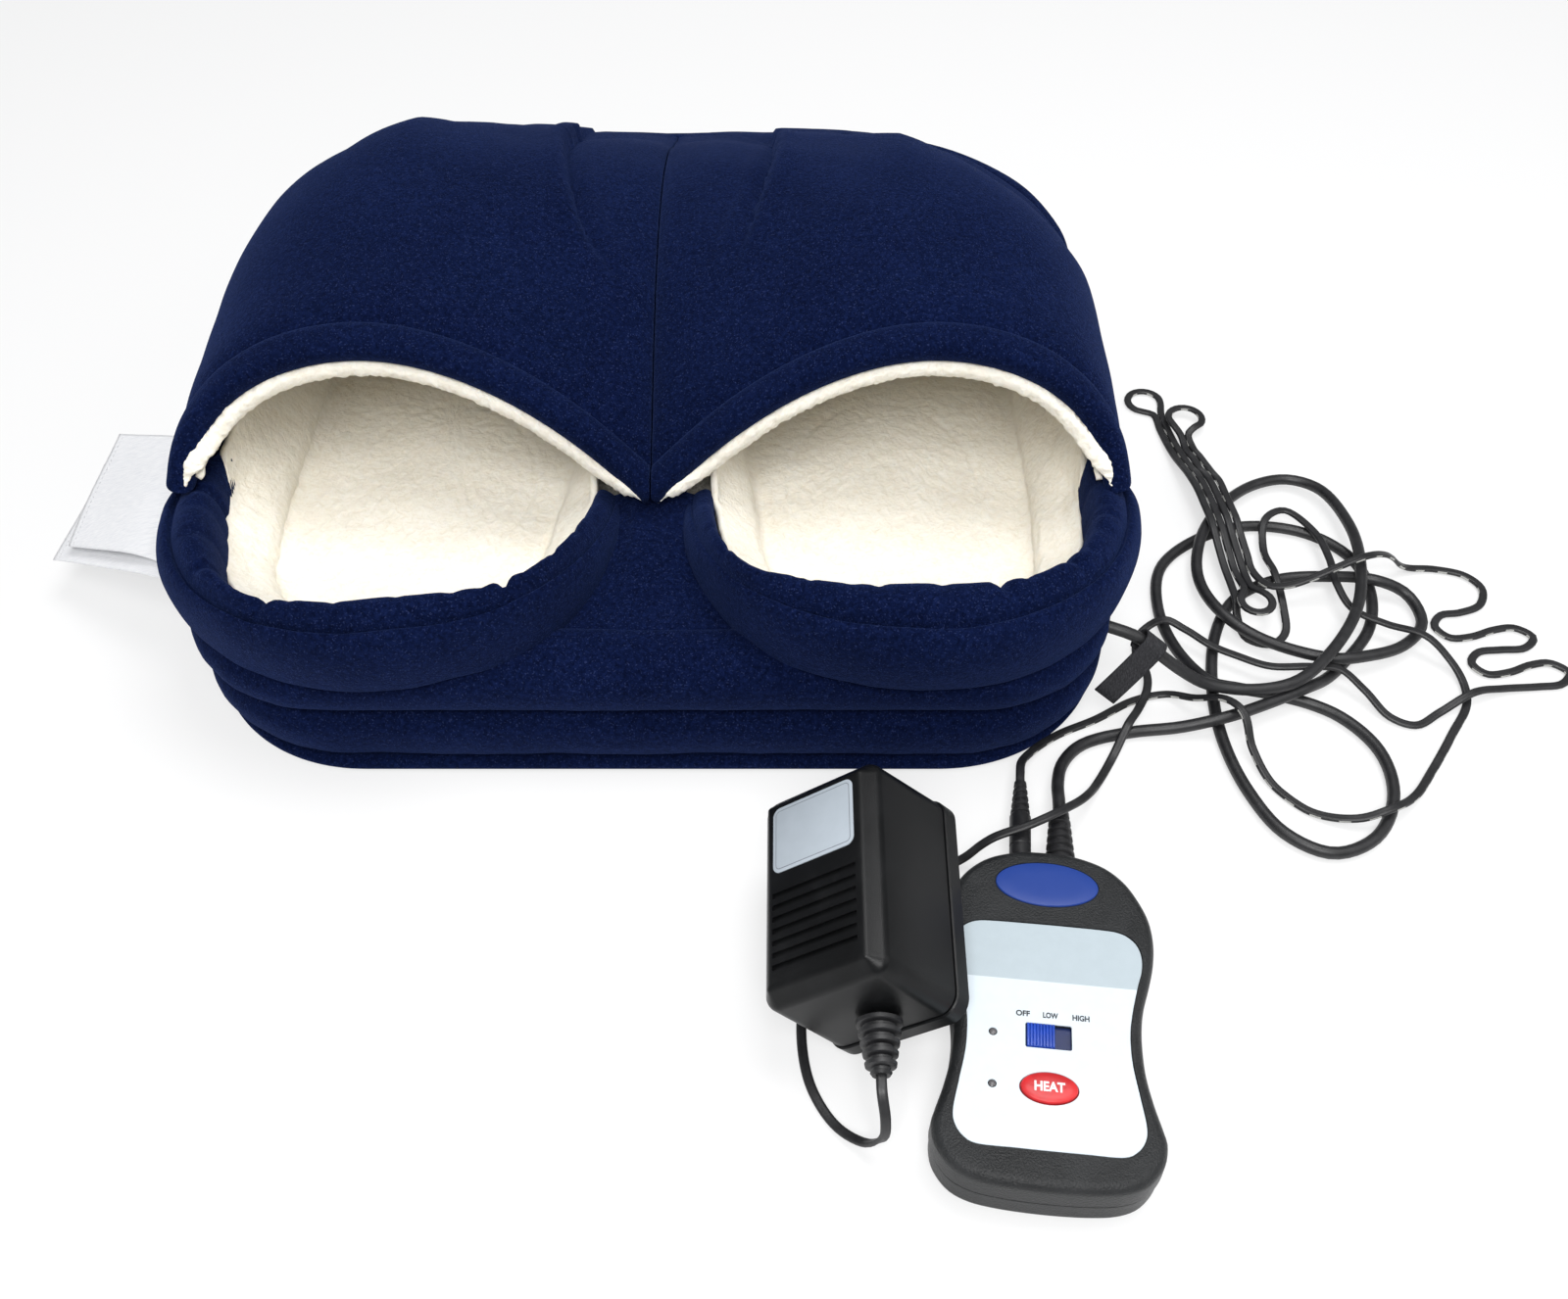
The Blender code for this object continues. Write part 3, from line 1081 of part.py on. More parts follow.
def controller(frame):
    black = material("black_shell", BLACK_PLASTIC, 0.42)
    white = material("white_face", WHITE_PLASTIC, 0.35)
    blue = material("blue_plastic", BLUE_PLASTIC, 0.35)
    top, low = CONTROL_HEIGHT, PARTING_HEIGHT
    side_top = top - SHELL_ROUND

    lower_rings = ((SHELL_STEP + SHELL_ROUND * 0.7, 0.0), (SHELL_STEP, SHELL_ROUND * 0.7),
                   (SHELL_STEP, low - MESH_GAP))
    rows = [at_height(control_outline(inset), height) for inset, height in lower_rings]
    bottom = place("controller_bottom_shell", skin("controller_bottom_shell", rows, around=True, first=True),
                   black, frame)
    soften(solidify(bottom, SHELL_WALL))
    board_y = (BOSS_FRONT, BOSS_BACK)
    for i, (x, y) in enumerate([(sx * BOSS_X, y) for sx in (-1, 1) for y in board_y]):
        post = rod(f"post_{i}", (x, y, SHELL_WALL / 2), (x, y, BOARD_BOTTOM - FIT_GAP), BOSS_RADIUS, 12, None, frame)
        cut(bottom, as_cutter(post), "UNION")

    upper_rings = ((0.0, low), (SHELL_DRAFT, side_top), (SHELL_DRAFT + SHELL_ROUND, top))
    rows = [at_height(control_outline(inset), height) for inset, height in upper_rings]
    shell = place("controller_top_shell", skin("controller_top_shell", rows, around=True, last=True), black, frame)
    soften(solidify(shell, SHELL_WALL))

    face_low = top - FACE_RECESS
    cut(shell, as_cutter(plate("face_recess_cutter", face_outline(-FIT_GAP), face_low, top + CUT_OVERRUN,
                               None, frame)))
    face = plate("faceplate", face_outline(0.0), face_low + MESH_GAP, face_low + MESH_GAP + FACE_THICKNESS,
                 white, frame)
    window = rounded_box_outline(WINDOW_HALF_WIDTH, WINDOW_HALF_HEIGHT, (0.0, WINDOW_Y), BOSS_RADIUS / 3)
    button_hole = oval(BUTTON_HALF_WIDTH + FIT_GAP, BUTTON_HALF_HEIGHT + FIT_GAP, BUTTON_Y)
    through = side_top - CUT_OVERRUN
    holes = [plate("window_cutter", window, through, top + CUT_OVERRUN, None, frame),
             plate("button_cutter", button_hole, through, top + CUT_OVERRUN, None, frame)]
    for i, y in enumerate((WINDOW_Y, BUTTON_Y)):
        holes.append(rod(f"led_cutter_{i}", (LED_X, y, through), (LED_X, y, top + CUT_OVERRUN),
                         LED_RADIUS + LED_CLEARANCE, 16, None, frame))
    for hole in holes:
        as_cutter(hole)
        cut(shell, hole)
        cut(face, hole)
    cut(shell, as_cutter(plate("badge_recess_cutter", oval(BADGE_HALF_WIDTH + FIT_GAP, BADGE_HALF_HEIGHT + FIT_GAP,
                                                           BADGE_Y), top - BADGE_RECESS, top + CUT_OVERRUN,
                               None, frame)))
    bevel(plate("badge", oval(BADGE_HALF_WIDTH, BADGE_HALF_HEIGHT, BADGE_Y), top - BADGE_RECESS + MESH_GAP,
                top + BADGE_RECESS, blue, frame), BADGE_RECESS / 3)
    for x, radius, word in ((JACK_X, PLUG_CONTACT_RADIUS + FIT_GAP * 2, "plug"),
                            (BOOT_X, BOOT_NECK_RADIUS + FIT_GAP, "boot")):
        mouth = as_cutter(y_rod(word + "_mouth_cutter", x, PARTING_HEIGHT, BOOT_FLANGE_BACK + FIT_GAP,
                                BOOT_END, radius, 20, frame))
        cut(shell, mouth)
        cut(bottom, mouth)

    knob_and_switch(frame, blue, black)
    heat_button(frame)
    for y, word in ((WINDOW_Y, "power"), (BUTTON_Y, "heat")):
        under = top - SHELL_WALL - MESH_GAP
        flange = LED_RADIUS + SHELL_WALL / 3
        lens = turned(word + "_indicator_lens",
                      ((0.0, top + MESH_GAP), (LED_RADIUS, top), (LED_RADIUS, under), (flange, under),
                       (flange, under - SHELL_WALL), (0.0, under - SHELL_WALL)),
                      material("red_lens", RED_LENS, 0.15), frame, 12)
        lens.location = (LED_X, y, 0.0)
    board_and_jack(frame)
    cable_boot(frame)
    supply_plug(frame)


def knob_and_switch(frame, blue, black):
    """The slide switch: its knob, shown at OFF, and the body that it slides in."""
    top = CONTROL_HEIGHT
    rest = -WINDOW_HALF_WIDTH + FIT_GAP + KNOB_HALF_WIDTH
    travel = 2 * (WINDOW_HALF_WIDTH - KNOB_HALF_WIDTH - FIT_GAP)
    flange_top = top - SHELL_WALL - MESH_GAP
    head_top = top + KNOB_PROUD
    board_top = BOARD_BOTTOM + BOARD_THICKNESS
    switch_top = board_top + MESH_GAP + SWITCH_HEIGHT
    knob = box("switch_knob", (rest - KNOB_HALF_WIDTH, WINDOW_Y - KNOB_HALF_DEPTH, flange_top - KNOB_FLANGE / 2),
               (rest + KNOB_HALF_WIDTH, WINDOW_Y + KNOB_HALF_DEPTH, head_top), blue, frame)
    side = KNOB_HALF_DEPTH + KNOB_FLANGE
    flange = box("knob_flange", (rest - KNOB_HALF_WIDTH - KNOB_TAIL, WINDOW_Y - side, flange_top - KNOB_FLANGE),
                 (rest + KNOB_HALF_WIDTH + KNOB_TAIL, WINDOW_Y + side, flange_top), None, frame)
    cut(knob, as_cutter(flange), "UNION")
    stem = box("knob_stem", (rest - KNOB_STEM, WINDOW_Y - KNOB_STEM, switch_top - SWITCH_HEIGHT / 3),
               (rest + KNOB_STEM, WINDOW_Y + KNOB_STEM, flange_top - KNOB_FLANGE / 2), None, frame)
    cut(knob, as_cutter(stem), "UNION")
    pitch = 2 * KNOB_HALF_WIDTH / KNOB_RIBS
    for i in range(KNOB_RIBS - 1):
        x = rest - KNOB_HALF_WIDTH + pitch * (i + 1)
        groove = box(f"knob_groove_{i}", (x - pitch / 4, WINDOW_Y - side, head_top - KNOB_RIB_DEPTH),
                     (x + pitch / 4, WINDOW_Y + side, head_top + CUT_OVERRUN), None, frame)
        cut(knob, as_cutter(groove))
    freeze(knob)
    move_origin(knob, (rest, WINDOW_Y, head_top))
    body = box("switch_body", (-SWITCH_HALF_WIDTH, WINDOW_Y - SWITCH_HALF_DEPTH, board_top + MESH_GAP),
               (SWITCH_HALF_WIDTH, WINDOW_Y + SWITCH_HALF_DEPTH, switch_top), black, frame)
    slot = box("switch_slot_cutter",
               (rest - KNOB_STEM - FIT_GAP, WINDOW_Y - KNOB_STEM - FIT_GAP, switch_top - SWITCH_HEIGHT / 2),
               (rest + travel + KNOB_STEM + FIT_GAP, WINDOW_Y + KNOB_STEM + FIT_GAP, switch_top + CUT_OVERRUN),
               None, frame)
    cut(body, as_cutter(slot))


def heat_button(frame):
    top = CONTROL_HEIGHT
    under = top - SHELL_WALL - MESH_GAP
    head = plate("heat_button", oval(BUTTON_HALF_WIDTH, BUTTON_HALF_HEIGHT, BUTTON_Y), under - MESH_GAP,
                 top + BUTTON_PROUD, material("red_button", RED_PLASTIC, 0.4), frame)
    bevel(head, BUTTON_PROUD / 3)
    flange = plate("button_flange", oval(BUTTON_HALF_WIDTH + BUTTON_FLANGE, BUTTON_HALF_HEIGHT + BUTTON_FLANGE,
                                         BUTTON_Y), under - BUTTON_FLANGE_THICKNESS, under, None, frame)
    cut(head, as_cutter(flange), "UNION")
    stem = rod("button_stem", (0.0, BUTTON_Y, BUTTON_STEM_FOOT), (0.0, BUTTON_Y, under - MESH_GAP),
               BUTTON_STEM_RADIUS, 12, None, frame)
    cut(head, as_cutter(stem), "UNION")
    freeze(head)
    move_origin(head, (0.0, BUTTON_Y, top))


def board_and_jack(frame):
    board_top = BOARD_BOTTOM + BOARD_THICKNESS
    board = box("circuit_board", (-BOARD_HALF_WIDTH, BOARD_FRONT, BOARD_BOTTOM),
                (BOARD_HALF_WIDTH, BOARD_BACK, board_top), material("board", BOARD_GREEN, 0.5), frame)
    tact = box("tact_switch", (-TACT_HALF, BUTTON_Y - TACT_HALF, board_top - BOARD_THICKNESS / 2),
               (TACT_HALF, BUTTON_Y + TACT_HALF, board_top + TACT_HEIGHT), None, frame)
    cut(board, as_cutter(tact), "UNION")
    notch = box("boot_notch_cutter", (BOOT_X - BOOT_FLANGE_RADIUS * 1.3, JACK_FRONT, BOARD_BOTTOM - CUT_OVERRUN),
                (BOARD_HALF_WIDTH + CUT_OVERRUN, BOARD_BACK + CUT_OVERRUN, board_top + CUT_OVERRUN), None, frame)
    cut(board, as_cutter(notch))
    jack = box("dc_jack", (JACK_X - JACK_HALF_WIDTH, JACK_FRONT, PARTING_HEIGHT - JACK_HALF_HEIGHT),
               (JACK_X + JACK_HALF_WIDTH, JACK_BACK, PARTING_HEIGHT + JACK_HALF_HEIGHT),
               material("jack_plastic", BLACK_PLASTIC, 0.5), frame)
    socket = y_rod("socket_cutter", JACK_X, PARTING_HEIGHT, PLUG_CONTACT_TIP - CUT_OVERRUN / 2,
                   JACK_BACK + CUT_OVERRUN, SOCKET_RADIUS, 20, frame)
    cut(jack, as_cutter(socket))


def cable_boot(frame):
    """The ribbed boot that holds the heater cable in the controller's end."""
    profile = [(0.0, BOOT_END), (BOOT_END_RADIUS, BOOT_END)]
    profile += grooved_taper(BOOT_RADIUS, BOOT_END_RADIUS, BOOT_BASE, BOOT_END, BOOT_RIBS, BOOT_GROOVE)
    profile += [(BOOT_RADIUS, BOOT_BASE), (BOOT_NECK_RADIUS, BOOT_BASE), (BOOT_NECK_RADIUS, BOOT_FLANGE_BACK),
                (BOOT_FLANGE_RADIUS, BOOT_FLANGE_BACK), (BOOT_FLANGE_RADIUS, BOOT_FLANGE_FRONT),
                (0.0, BOOT_FLANGE_FRONT)]
    boot = along_y(turned("cable_boot", profile, material("cord_rubber", BLACK_PLASTIC, 0.55), frame))
    boot.location = (BOOT_X, 0.0, PARTING_HEIGHT)
    soften(boot)


def supply_plug(frame):
    """The low-voltage plug: a ribbed grip and the barrel that enters the jack."""
    profile = [(0.0, PLUG_END), (PLUG_END_RADIUS, PLUG_END)]
    profile += grooved_taper(PLUG_RADIUS, PLUG_END_RADIUS, PLUG_SHOULDER, PLUG_END, 2, PLUG_RIB)
    profile += [(PLUG_RADIUS, PLUG_SHOULDER)]
    pitch = (PLUG_SHOULDER - PLUG_BASE) / (PLUG_RIBS * 2 + 1)
    for i in range(PLUG_RIBS * 2, 0, -1):
        low = i % 2
        y = PLUG_BASE + pitch * i
        radii = (PLUG_RADIUS - PLUG_RIB * low, PLUG_RADIUS - PLUG_RIB * (1 - low))
        profile += [(radii[1], y + MESH_GAP / 2), (radii[0], y - MESH_GAP / 2)]
    profile += [(PLUG_RADIUS - PLUG_RIB * 0, PLUG_BASE), (PLUG_CONTACT_RADIUS, PLUG_BASE),
                (PLUG_CONTACT_RADIUS, PLUG_CONTACT_TIP + MESH_GAP), (0.0, PLUG_CONTACT_TIP + MESH_GAP)]
    plug = along_y(turned("dc_plug", profile, material("cord_rubber", BLACK_PLASTIC, 0.55), frame))
    plug.location = (JACK_X, 0.0, PARTING_HEIGHT)
    soften(plug)


# Adapter. Its own axes: X across, Y away from its cord, Z out of its label face
def adapter_outline(inset):
    return rounded_outline(ADAPTER_WIDTH / 2 - inset, ADAPTER_LENGTH / 2 - inset, ADAPTER_LENGTH / 2 - inset,
                           ADAPTER_CORNER, ADAPTER_CORNER, 4)


def adapter(frame):
    black = material("adapter_shell", BLACK_PLASTIC, 0.40)
    back, face = -ADAPTER_THICKNESS / 2, ADAPTER_THICKNESS / 2
    seam = back + BACK_THICKNESS
    rings = ((0.0, seam + MESH_GAP), (ADAPTER_DRAFT * 0.9, face - ADAPTER_CHAMFER),
             (ADAPTER_DRAFT + ADAPTER_CHAMFER * 0.3, face - ADAPTER_CHAMFER * 0.3),
             (ADAPTER_DRAFT + ADAPTER_CHAMFER, face))
    rows = [at_height(adapter_outline(inset), height) for inset, height in rings]
    case = place("adapter_case", skin("adapter_case", rows, around=True, last=True), black, frame)
    soften(solidify(case, ADAPTER_WALL))
    for i in range(VENT_COUNT):
        y = VENT_FIRST + VENT_PITCH * i
        vent = box(f"vent_cutter_{i}", (-VENT_HALF_LENGTH, y - VENT_WIDTH / 2, face - VENT_DEPTH),
                   (VENT_HALF_LENGTH, y + VENT_WIDTH / 2, face + CUT_OVERRUN), None, frame)
        cut(case, as_cutter(vent))
    spot = (0.0, LABEL_AT)
    recess = rounded_box_outline(LABEL_HALF_WIDTH + FIT_GAP, LABEL_HALF_LENGTH + FIT_GAP, spot, LABEL_CORNER)
    cut(case, as_cutter(plate("label_recess_cutter", recess, face - LABEL_RECESS, face + CUT_OVERRUN, None, frame)))
    plate("rating_label", rounded_box_outline(LABEL_HALF_WIDTH, LABEL_HALF_LENGTH, spot, LABEL_CORNER),
          face - LABEL_RECESS + MESH_GAP, face + MESH_GAP / 2, material("blank_label", LABEL_GREY, 0.4), frame)
    near = -ADAPTER_LENGTH / 2
    mouth = y_rod("relief_mouth_cutter", RELIEF_U, RELIEF_V, near - CUT_OVERRUN, near + ADAPTER_WALL * 2,
                  RELIEF_NECK + FIT_GAP, 20, frame)
    cut(case, as_cutter(mouth))

    outline = adapter_outline(-BACK_FLARE)
    plate_item = plate("adapter_back", outline, back, seam, black, frame)
    bevel(plate_item, BACK_EDGE, 2)
    for side, word in ((-1, "left"), (1, "right")):
        x = side * PRONG_HALF_SPACING
        half = PRONG_THICKNESS / 2
        slot = box(word + "_prong_slot", (x - half - FIT_GAP / 2, PRONG_AT - PRONG_WIDTH / 2 - FIT_GAP / 2,
                                          back - CUT_OVERRUN),
                   (x + half + FIT_GAP / 2, PRONG_AT + PRONG_WIDTH / 2 + FIT_GAP / 2, seam + CUT_OVERRUN),
                   None, frame)
        cut(plate_item, as_cutter(slot))
        prong = box(word + "_prong", (x - half, PRONG_AT - PRONG_WIDTH / 2, back - PRONG_LENGTH),
                    (x + half, PRONG_AT + PRONG_WIDTH / 2, seam + PRONG_ROOT),
                    material("nickel", STEEL, 0.25, 1.0), frame)
        hole = rod(word + "_prong_hole", (x - PRONG_THICKNESS, PRONG_AT, back - PRONG_HOLE_AT),
                   (x + PRONG_THICKNESS, PRONG_AT, back - PRONG_HOLE_AT), PRONG_HOLE_RADIUS, 12, None, frame)
        cut(prong, as_cutter(hole))
        bevel(prong, PRONG_THICKNESS / 4)
    core_low = seam + PRONG_ROOT + FIT_GAP
    middle = core_low + COIL_DEPTH / 2
    core = box("transformer_core", (-CORE_WIDTH / 2, -CORE_LENGTH / 2 + CORE_SHIFT, middle - CORE_DEPTH / 2),
               (CORE_WIDTH / 2, CORE_LENGTH / 2 + CORE_SHIFT, middle + CORE_DEPTH / 2),
               material("core_steel", STEEL, 0.5, 1.0), frame)
    coil = box("coil", (-COIL_WIDTH / 2, -COIL_LENGTH / 2 + CORE_SHIFT, core_low),
               (COIL_WIDTH / 2, COIL_LENGTH / 2 + CORE_SHIFT, core_low + COIL_DEPTH), None, frame)
    cut(core, as_cutter(coil), "UNION")

    wall_in = ADAPTER_WALL + MESH_GAP * 4
    root = RELIEF_LENGTH
    profile = [(0.0, root), (RELIEF_END_RADIUS, root)]
    profile += grooved_taper(RELIEF_RADIUS, RELIEF_END_RADIUS, MESH_GAP * 2, root, RELIEF_RIBS, RELIEF_GROOVE)
    profile += [(RELIEF_RADIUS, MESH_GAP * 2), (RELIEF_NECK, MESH_GAP * 2), (RELIEF_NECK, -wall_in),
                (RELIEF_FLANGE, -wall_in), (RELIEF_FLANGE, -wall_in - ADAPTER_WALL / 2), (0.0, -wall_in - ADAPTER_WALL / 2)]
    relief = turned("adapter_strain_relief", profile, material("cord_rubber", BLACK_PLASTIC, 0.55), frame)
    relief.rotation_euler = (math.radians(90.0), 0.0, 0.0)
    relief.location = (RELIEF_U, near, RELIEF_V)
    soften(relief)


# Cords
def smooth_route(points, step, floor):
    """Evenly spaced points along a smooth curve through a route's own points, none lower than a floor."""
    spots = [Vector(point) for point in points]
    spots = [spots[0] * 2 - spots[1]] + spots + [spots[-1] * 2 - spots[-2]]
    fine = []
    for before, start, end, after in zip(spots, spots[1:], spots[2:], spots[3:]):
        gaps = [max((b - a).length, step / 100) ** 0.5 for a, b in ((before, start), (start, end), (end, after))]
        lead = ((start - before) / gaps[0] - (end - before) / (gaps[0] + gaps[1]) + (end - start) / gaps[1]) * gaps[1]
        trail = ((end - start) / gaps[1] - (after - start) / (gaps[1] + gaps[2]) + (after - end) / gaps[2]) * gaps[1]
        for i in range(ROUTE_STEPS):
            t = i / ROUTE_STEPS
            fine.append(start * (2 * t ** 3 - 3 * t ** 2 + 1) + lead * (t ** 3 - 2 * t ** 2 + t)
                        + end * (3 * t ** 2 - 2 * t ** 3) + trail * (t ** 3 - t ** 2))
    fine.append(spots[-2])
    lengths = [0.0]
    for a, b in zip(fine, fine[1:]):
        lengths.append(lengths[-1] + (b - a).length)
    count = max(2, round(lengths[-1] / step))
    even = []
    index = 0
    for i in range(count + 1):
        goal = lengths[-1] * i / count
        while index < len(lengths) - 2 and lengths[index + 1] < goal:
            index += 1
        span = lengths[index + 1] - lengths[index]
        spot = fine[index].lerp(fine[index + 1], (goal - lengths[index]) / span)
        even.append(Vector((spot.x, spot.y, max(spot.z, floor))))
    return even


def hank_height(along):
    """Height of the hank's runs, which ride over the cable under them, at a share of their length."""
    pairs = list(zip(HANK_RISE_SHARES, HANK_HEIGHTS))
    for (low, low_height), (high, high_height) in zip(pairs, pairs[1:]):
        if along <= high:
            part = max(0.0, (along - low) / (high - low))
            ease = part * part * (3 - 2 * part)
            return low_height + (high_height - low_height) * ease
    return pairs[-1][1]


def hank_spot(distance, across):
    """A point of the hank, by its distance from the foot along the runs and its offset across them."""
    span = HANK_HEAD - HANK_FOOT
    axis = span.normalized()
    side = Vector((axis.y, -axis.x, 0.0))
    spot = HANK_FOOT + axis * distance + side * across
    return Vector((spot.x, spot.y, hank_height(distance / span.length)))


def hank_fold(distance, across, radius, lean, lift, up):
    """The round bulb in which one run turns into the next, left run first when it points up."""
    half = HANK_PITCH / 2
    open_angle = math.asin(half / radius)
    rise = math.sqrt(radius * radius - half * half)
    spots = []
    for i in range(1, HANK_FOLD_POINTS + 1):
        angle = open_angle + (2 * math.pi - 2 * open_angle) * i / (HANK_FOLD_POINTS + 1)
        x, y = -radius * math.sin(angle), rise - radius * math.cos(angle)
        turned_x = x * math.cos(lean) - y * math.sin(lean)
        turned_y = x * math.sin(lean) + y * math.cos(lean)
        spot = hank_spot(distance + (turned_y if up else -turned_y), across + turned_x)
        spot.z += lift
        spots.append(spot)
    return spots


def hank_route():
    """Up, down, up and down again, with a fold between each two runs."""
    length = (HANK_HEAD - HANK_FOOT).length
    turns = (length, -HANK_PITCH, length - HANK_STAGGER)
    lifts = (0.0,) + HANK_FOLD_LIFTS + (0.0,)
    spots = []
    for run in range(HANK_RUNS):
        across = (run - (HANK_RUNS - 1) / 2) * HANK_PITCH
        up = run % 2 == 0
        margin = HANK_PITCH if up else -HANK_PITCH
        start = turns[run - 1] + margin if run else HANK_PITCH
        stop = turns[run] - margin if run < HANK_RUNS - 1 else HANK_PITCH * 3
        line = [hank_spot(start + (stop - start) * i / HANK_RUN_POINTS, across) for i in range(HANK_RUN_POINTS + 1)]
        line[0].z += lifts[run] / 2
        line[-1].z += lifts[run + 1] / 2
        spots += line
        if run < HANK_RUNS - 1:
            spots += hank_fold(turns[run], across + HANK_PITCH / 2, HANK_FOLD_RADII[run], HANK_LEANS[run],
                               HANK_FOLD_LIFTS[run], up)
    return spots


def facing(spot, direction):
    """The last stretch of a cord: straight toward the face that it meets, up to the gap between them."""
    return [spot + direction * (CABLE_RADIUS * 2), spot + direction * MESH_GAP]


def cord(name, start, route, end, step, radius, look):
    """A cord along its route, with its straight ends kept as they are."""
    points = smooth_route(start[1:] + list(route) + end[:-1], step, radius)
    tube(name, start[:1] + points + end[-1:], radius, look)


def cords(control, adapter_frame):
    """The heater cable and the supply lead, laid on the floor between the pieces that hold their ends."""
    rubber = material("cord_rubber", BLACK_PLASTIC, 0.55)
    ahead = (control.matrix_world.to_3x3() @ Vector((0.0, 1.0, 0.0))).normalized()
    boot_tip = control.matrix_world @ Vector((BOOT_X, BOOT_END, PARTING_HEIGHT))
    plug_tip = control.matrix_world @ Vector((JACK_X, PLUG_END, PARTING_HEIGHT))
    near = -ADAPTER_LENGTH / 2 - RELIEF_LENGTH
    relief_tip = adapter_frame.matrix_world @ Vector((RELIEF_U, near, RELIEF_V))
    outward = (adapter_frame.matrix_world.to_3x3() @ Vector((0.0, -1.0, 0.0))).normalized()
    cord("heater_cable", [cable_entry()[0]], cable_points(), facing(boot_tip, ahead), CABLE_STEP, CABLE_RADIUS, rubber)

    hank = hank_route()
    into, away = (hank[1] - hank[0]).normalized(), (hank[-1] - hank[-2]).normalized()
    cord("supply_lead_plug_end", facing(plug_tip, ahead)[::-1], PLUG_LEAD_ROUTE, facing(hank[0], -into),
         LEAD_STEP, LEAD_RADIUS, rubber)
    tube("supply_lead_hank", hank, LEAD_RADIUS, rubber)
    cord("supply_lead_adapter_end", facing(hank[-1], away)[::-1], ADAPTER_LEAD_ROUTE,
         facing(relief_tip, outward), LEAD_STEP, LEAD_RADIUS, rubber)
    check_hank(hank)


def check_hank(spots):
    """Prints the least gap of the hank's tube to itself."""
    fine = [a.lerp(b, i / HANK_CHECK_STEPS) for a, b in zip(spots, spots[1:]) for i in range(HANK_CHECK_STEPS)]
    travelled = [0.0]
    for a, b in zip(fine, fine[1:]):
        travelled.append(travelled[-1] + (b - a).length)
    least = min((fine[i] - fine[j]).length for i in range(len(fine)) for j in range(i)
                if travelled[i] - travelled[j] > LEAD_RADIUS * math.pi * 2)
    print(f"least gap in the hank: {(least - LEAD_RADIUS * 2) * 1000:.2f} mm")


base_bands()
foam_core()
for side, word in ((1, "right"), (-1, "left")):
    motor_unit(side, word)
    foot_well(side, word)
    lip(side, word)
    hood_half(side, word)
centre_panels()
rear_wall()
care_tags()
cord_keeper()
CONTROL = pose("controller_pose", CONTROL_AT, Matrix.Rotation(CONTROL_TURN, 4, "Z"))
controller(CONTROL)
ADAPTER = pose("adapter_pose", ADAPTER_AT,
               Matrix.Rotation(ADAPTER_PITCH, 4, "X") @ Matrix.Rotation(-ADAPTER_ROLL, 4, "Y"))
adapter(ADAPTER)
bpy.context.view_layer.update()
cords(CONTROL, ADAPTER)
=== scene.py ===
"""Heated foot massager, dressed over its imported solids: warmer, hand controller, wall adapter, cords."""
import json
import math

import bmesh
import bpy
import numpy as np
from mathutils import Matrix, Vector, noise


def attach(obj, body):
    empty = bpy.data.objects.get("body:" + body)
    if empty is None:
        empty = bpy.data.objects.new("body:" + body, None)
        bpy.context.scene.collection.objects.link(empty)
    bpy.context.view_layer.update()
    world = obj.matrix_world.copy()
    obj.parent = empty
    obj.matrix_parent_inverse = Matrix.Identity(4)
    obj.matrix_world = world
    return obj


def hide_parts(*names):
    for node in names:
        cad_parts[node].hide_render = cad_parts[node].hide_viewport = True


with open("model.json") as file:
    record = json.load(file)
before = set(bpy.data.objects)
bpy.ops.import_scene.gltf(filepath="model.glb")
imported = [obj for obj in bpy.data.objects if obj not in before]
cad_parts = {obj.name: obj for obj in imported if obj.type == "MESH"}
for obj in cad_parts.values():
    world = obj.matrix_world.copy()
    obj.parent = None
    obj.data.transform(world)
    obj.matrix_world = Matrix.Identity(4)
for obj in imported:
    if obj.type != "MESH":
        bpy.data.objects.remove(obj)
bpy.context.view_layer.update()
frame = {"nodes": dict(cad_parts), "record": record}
NODES = frame["nodes"]
SIDES = ((1, "right"), (-1, "left"))
BODY = "warmer"

# Overall sizes of the warmer, as in the part's source
HALF_WIDTH = 0.187
HALF_DEPTH = 0.170
DEPTH_SHIFT = 0.002
HEIGHT = 0.155

# Camera, light and floor
CAMERA_SPOT = (0.052, -0.534, 0.480)
CAMERA_TILT = math.radians(42.0)
CAMERA_LENS = 35.1
SENSOR_WIDTH = 36.0
FLOOR_SIZE = 6.0
FLOOR_SPOT = (0.05, 0.0, -0.0004)
FLOOR_TONE = (0.86, 0.86, 0.86, 1.0)
FLOOR_GLOW_SHARE = 0.62
WHITE = (1.0, 1.0, 1.0, 1.0)
SKY_TONE = (0.95, 0.97, 1.0, 1.0)
SKY_STRENGTH = 0.30
# Name, place, target, size and power of each lamp
LAMPS = (("key", (0.00, -1.00, 1.25), (0.02, -0.05, 0.06), 0.7, 17.6),
         ("top", (0.30, 0.02, 1.50), (0.05, -0.05, 0.05), 0.7, 11.0),
         ("fill", (1.05, -0.35, 0.85), (0.10, -0.10, 0.05), 0.9, 3.0))


def camera():
    data = bpy.data.cameras.new("camera")
    data.sensor_width = SENSOR_WIDTH
    data.lens = CAMERA_LENS
    data.clip_start = 0.01
    item = bpy.data.objects.new("camera", data)
    item.location = CAMERA_SPOT
    item.rotation_euler = (CAMERA_TILT, 0.0, 0.0)
    bpy.context.scene.collection.objects.link(item)
    bpy.context.scene.camera = item


def area_light(name, spot, target, size, power):
    data = bpy.data.lights.new(name, "AREA")
    data.shape = "SQUARE"
    data.size = size
    data.energy = power
    item = bpy.data.objects.new(name, data)
    item.location = spot
    item.rotation_euler = (Vector(target) - Vector(spot)).to_track_quat("-Z", "Y").to_euler()
    bpy.context.scene.collection.objects.link(item)


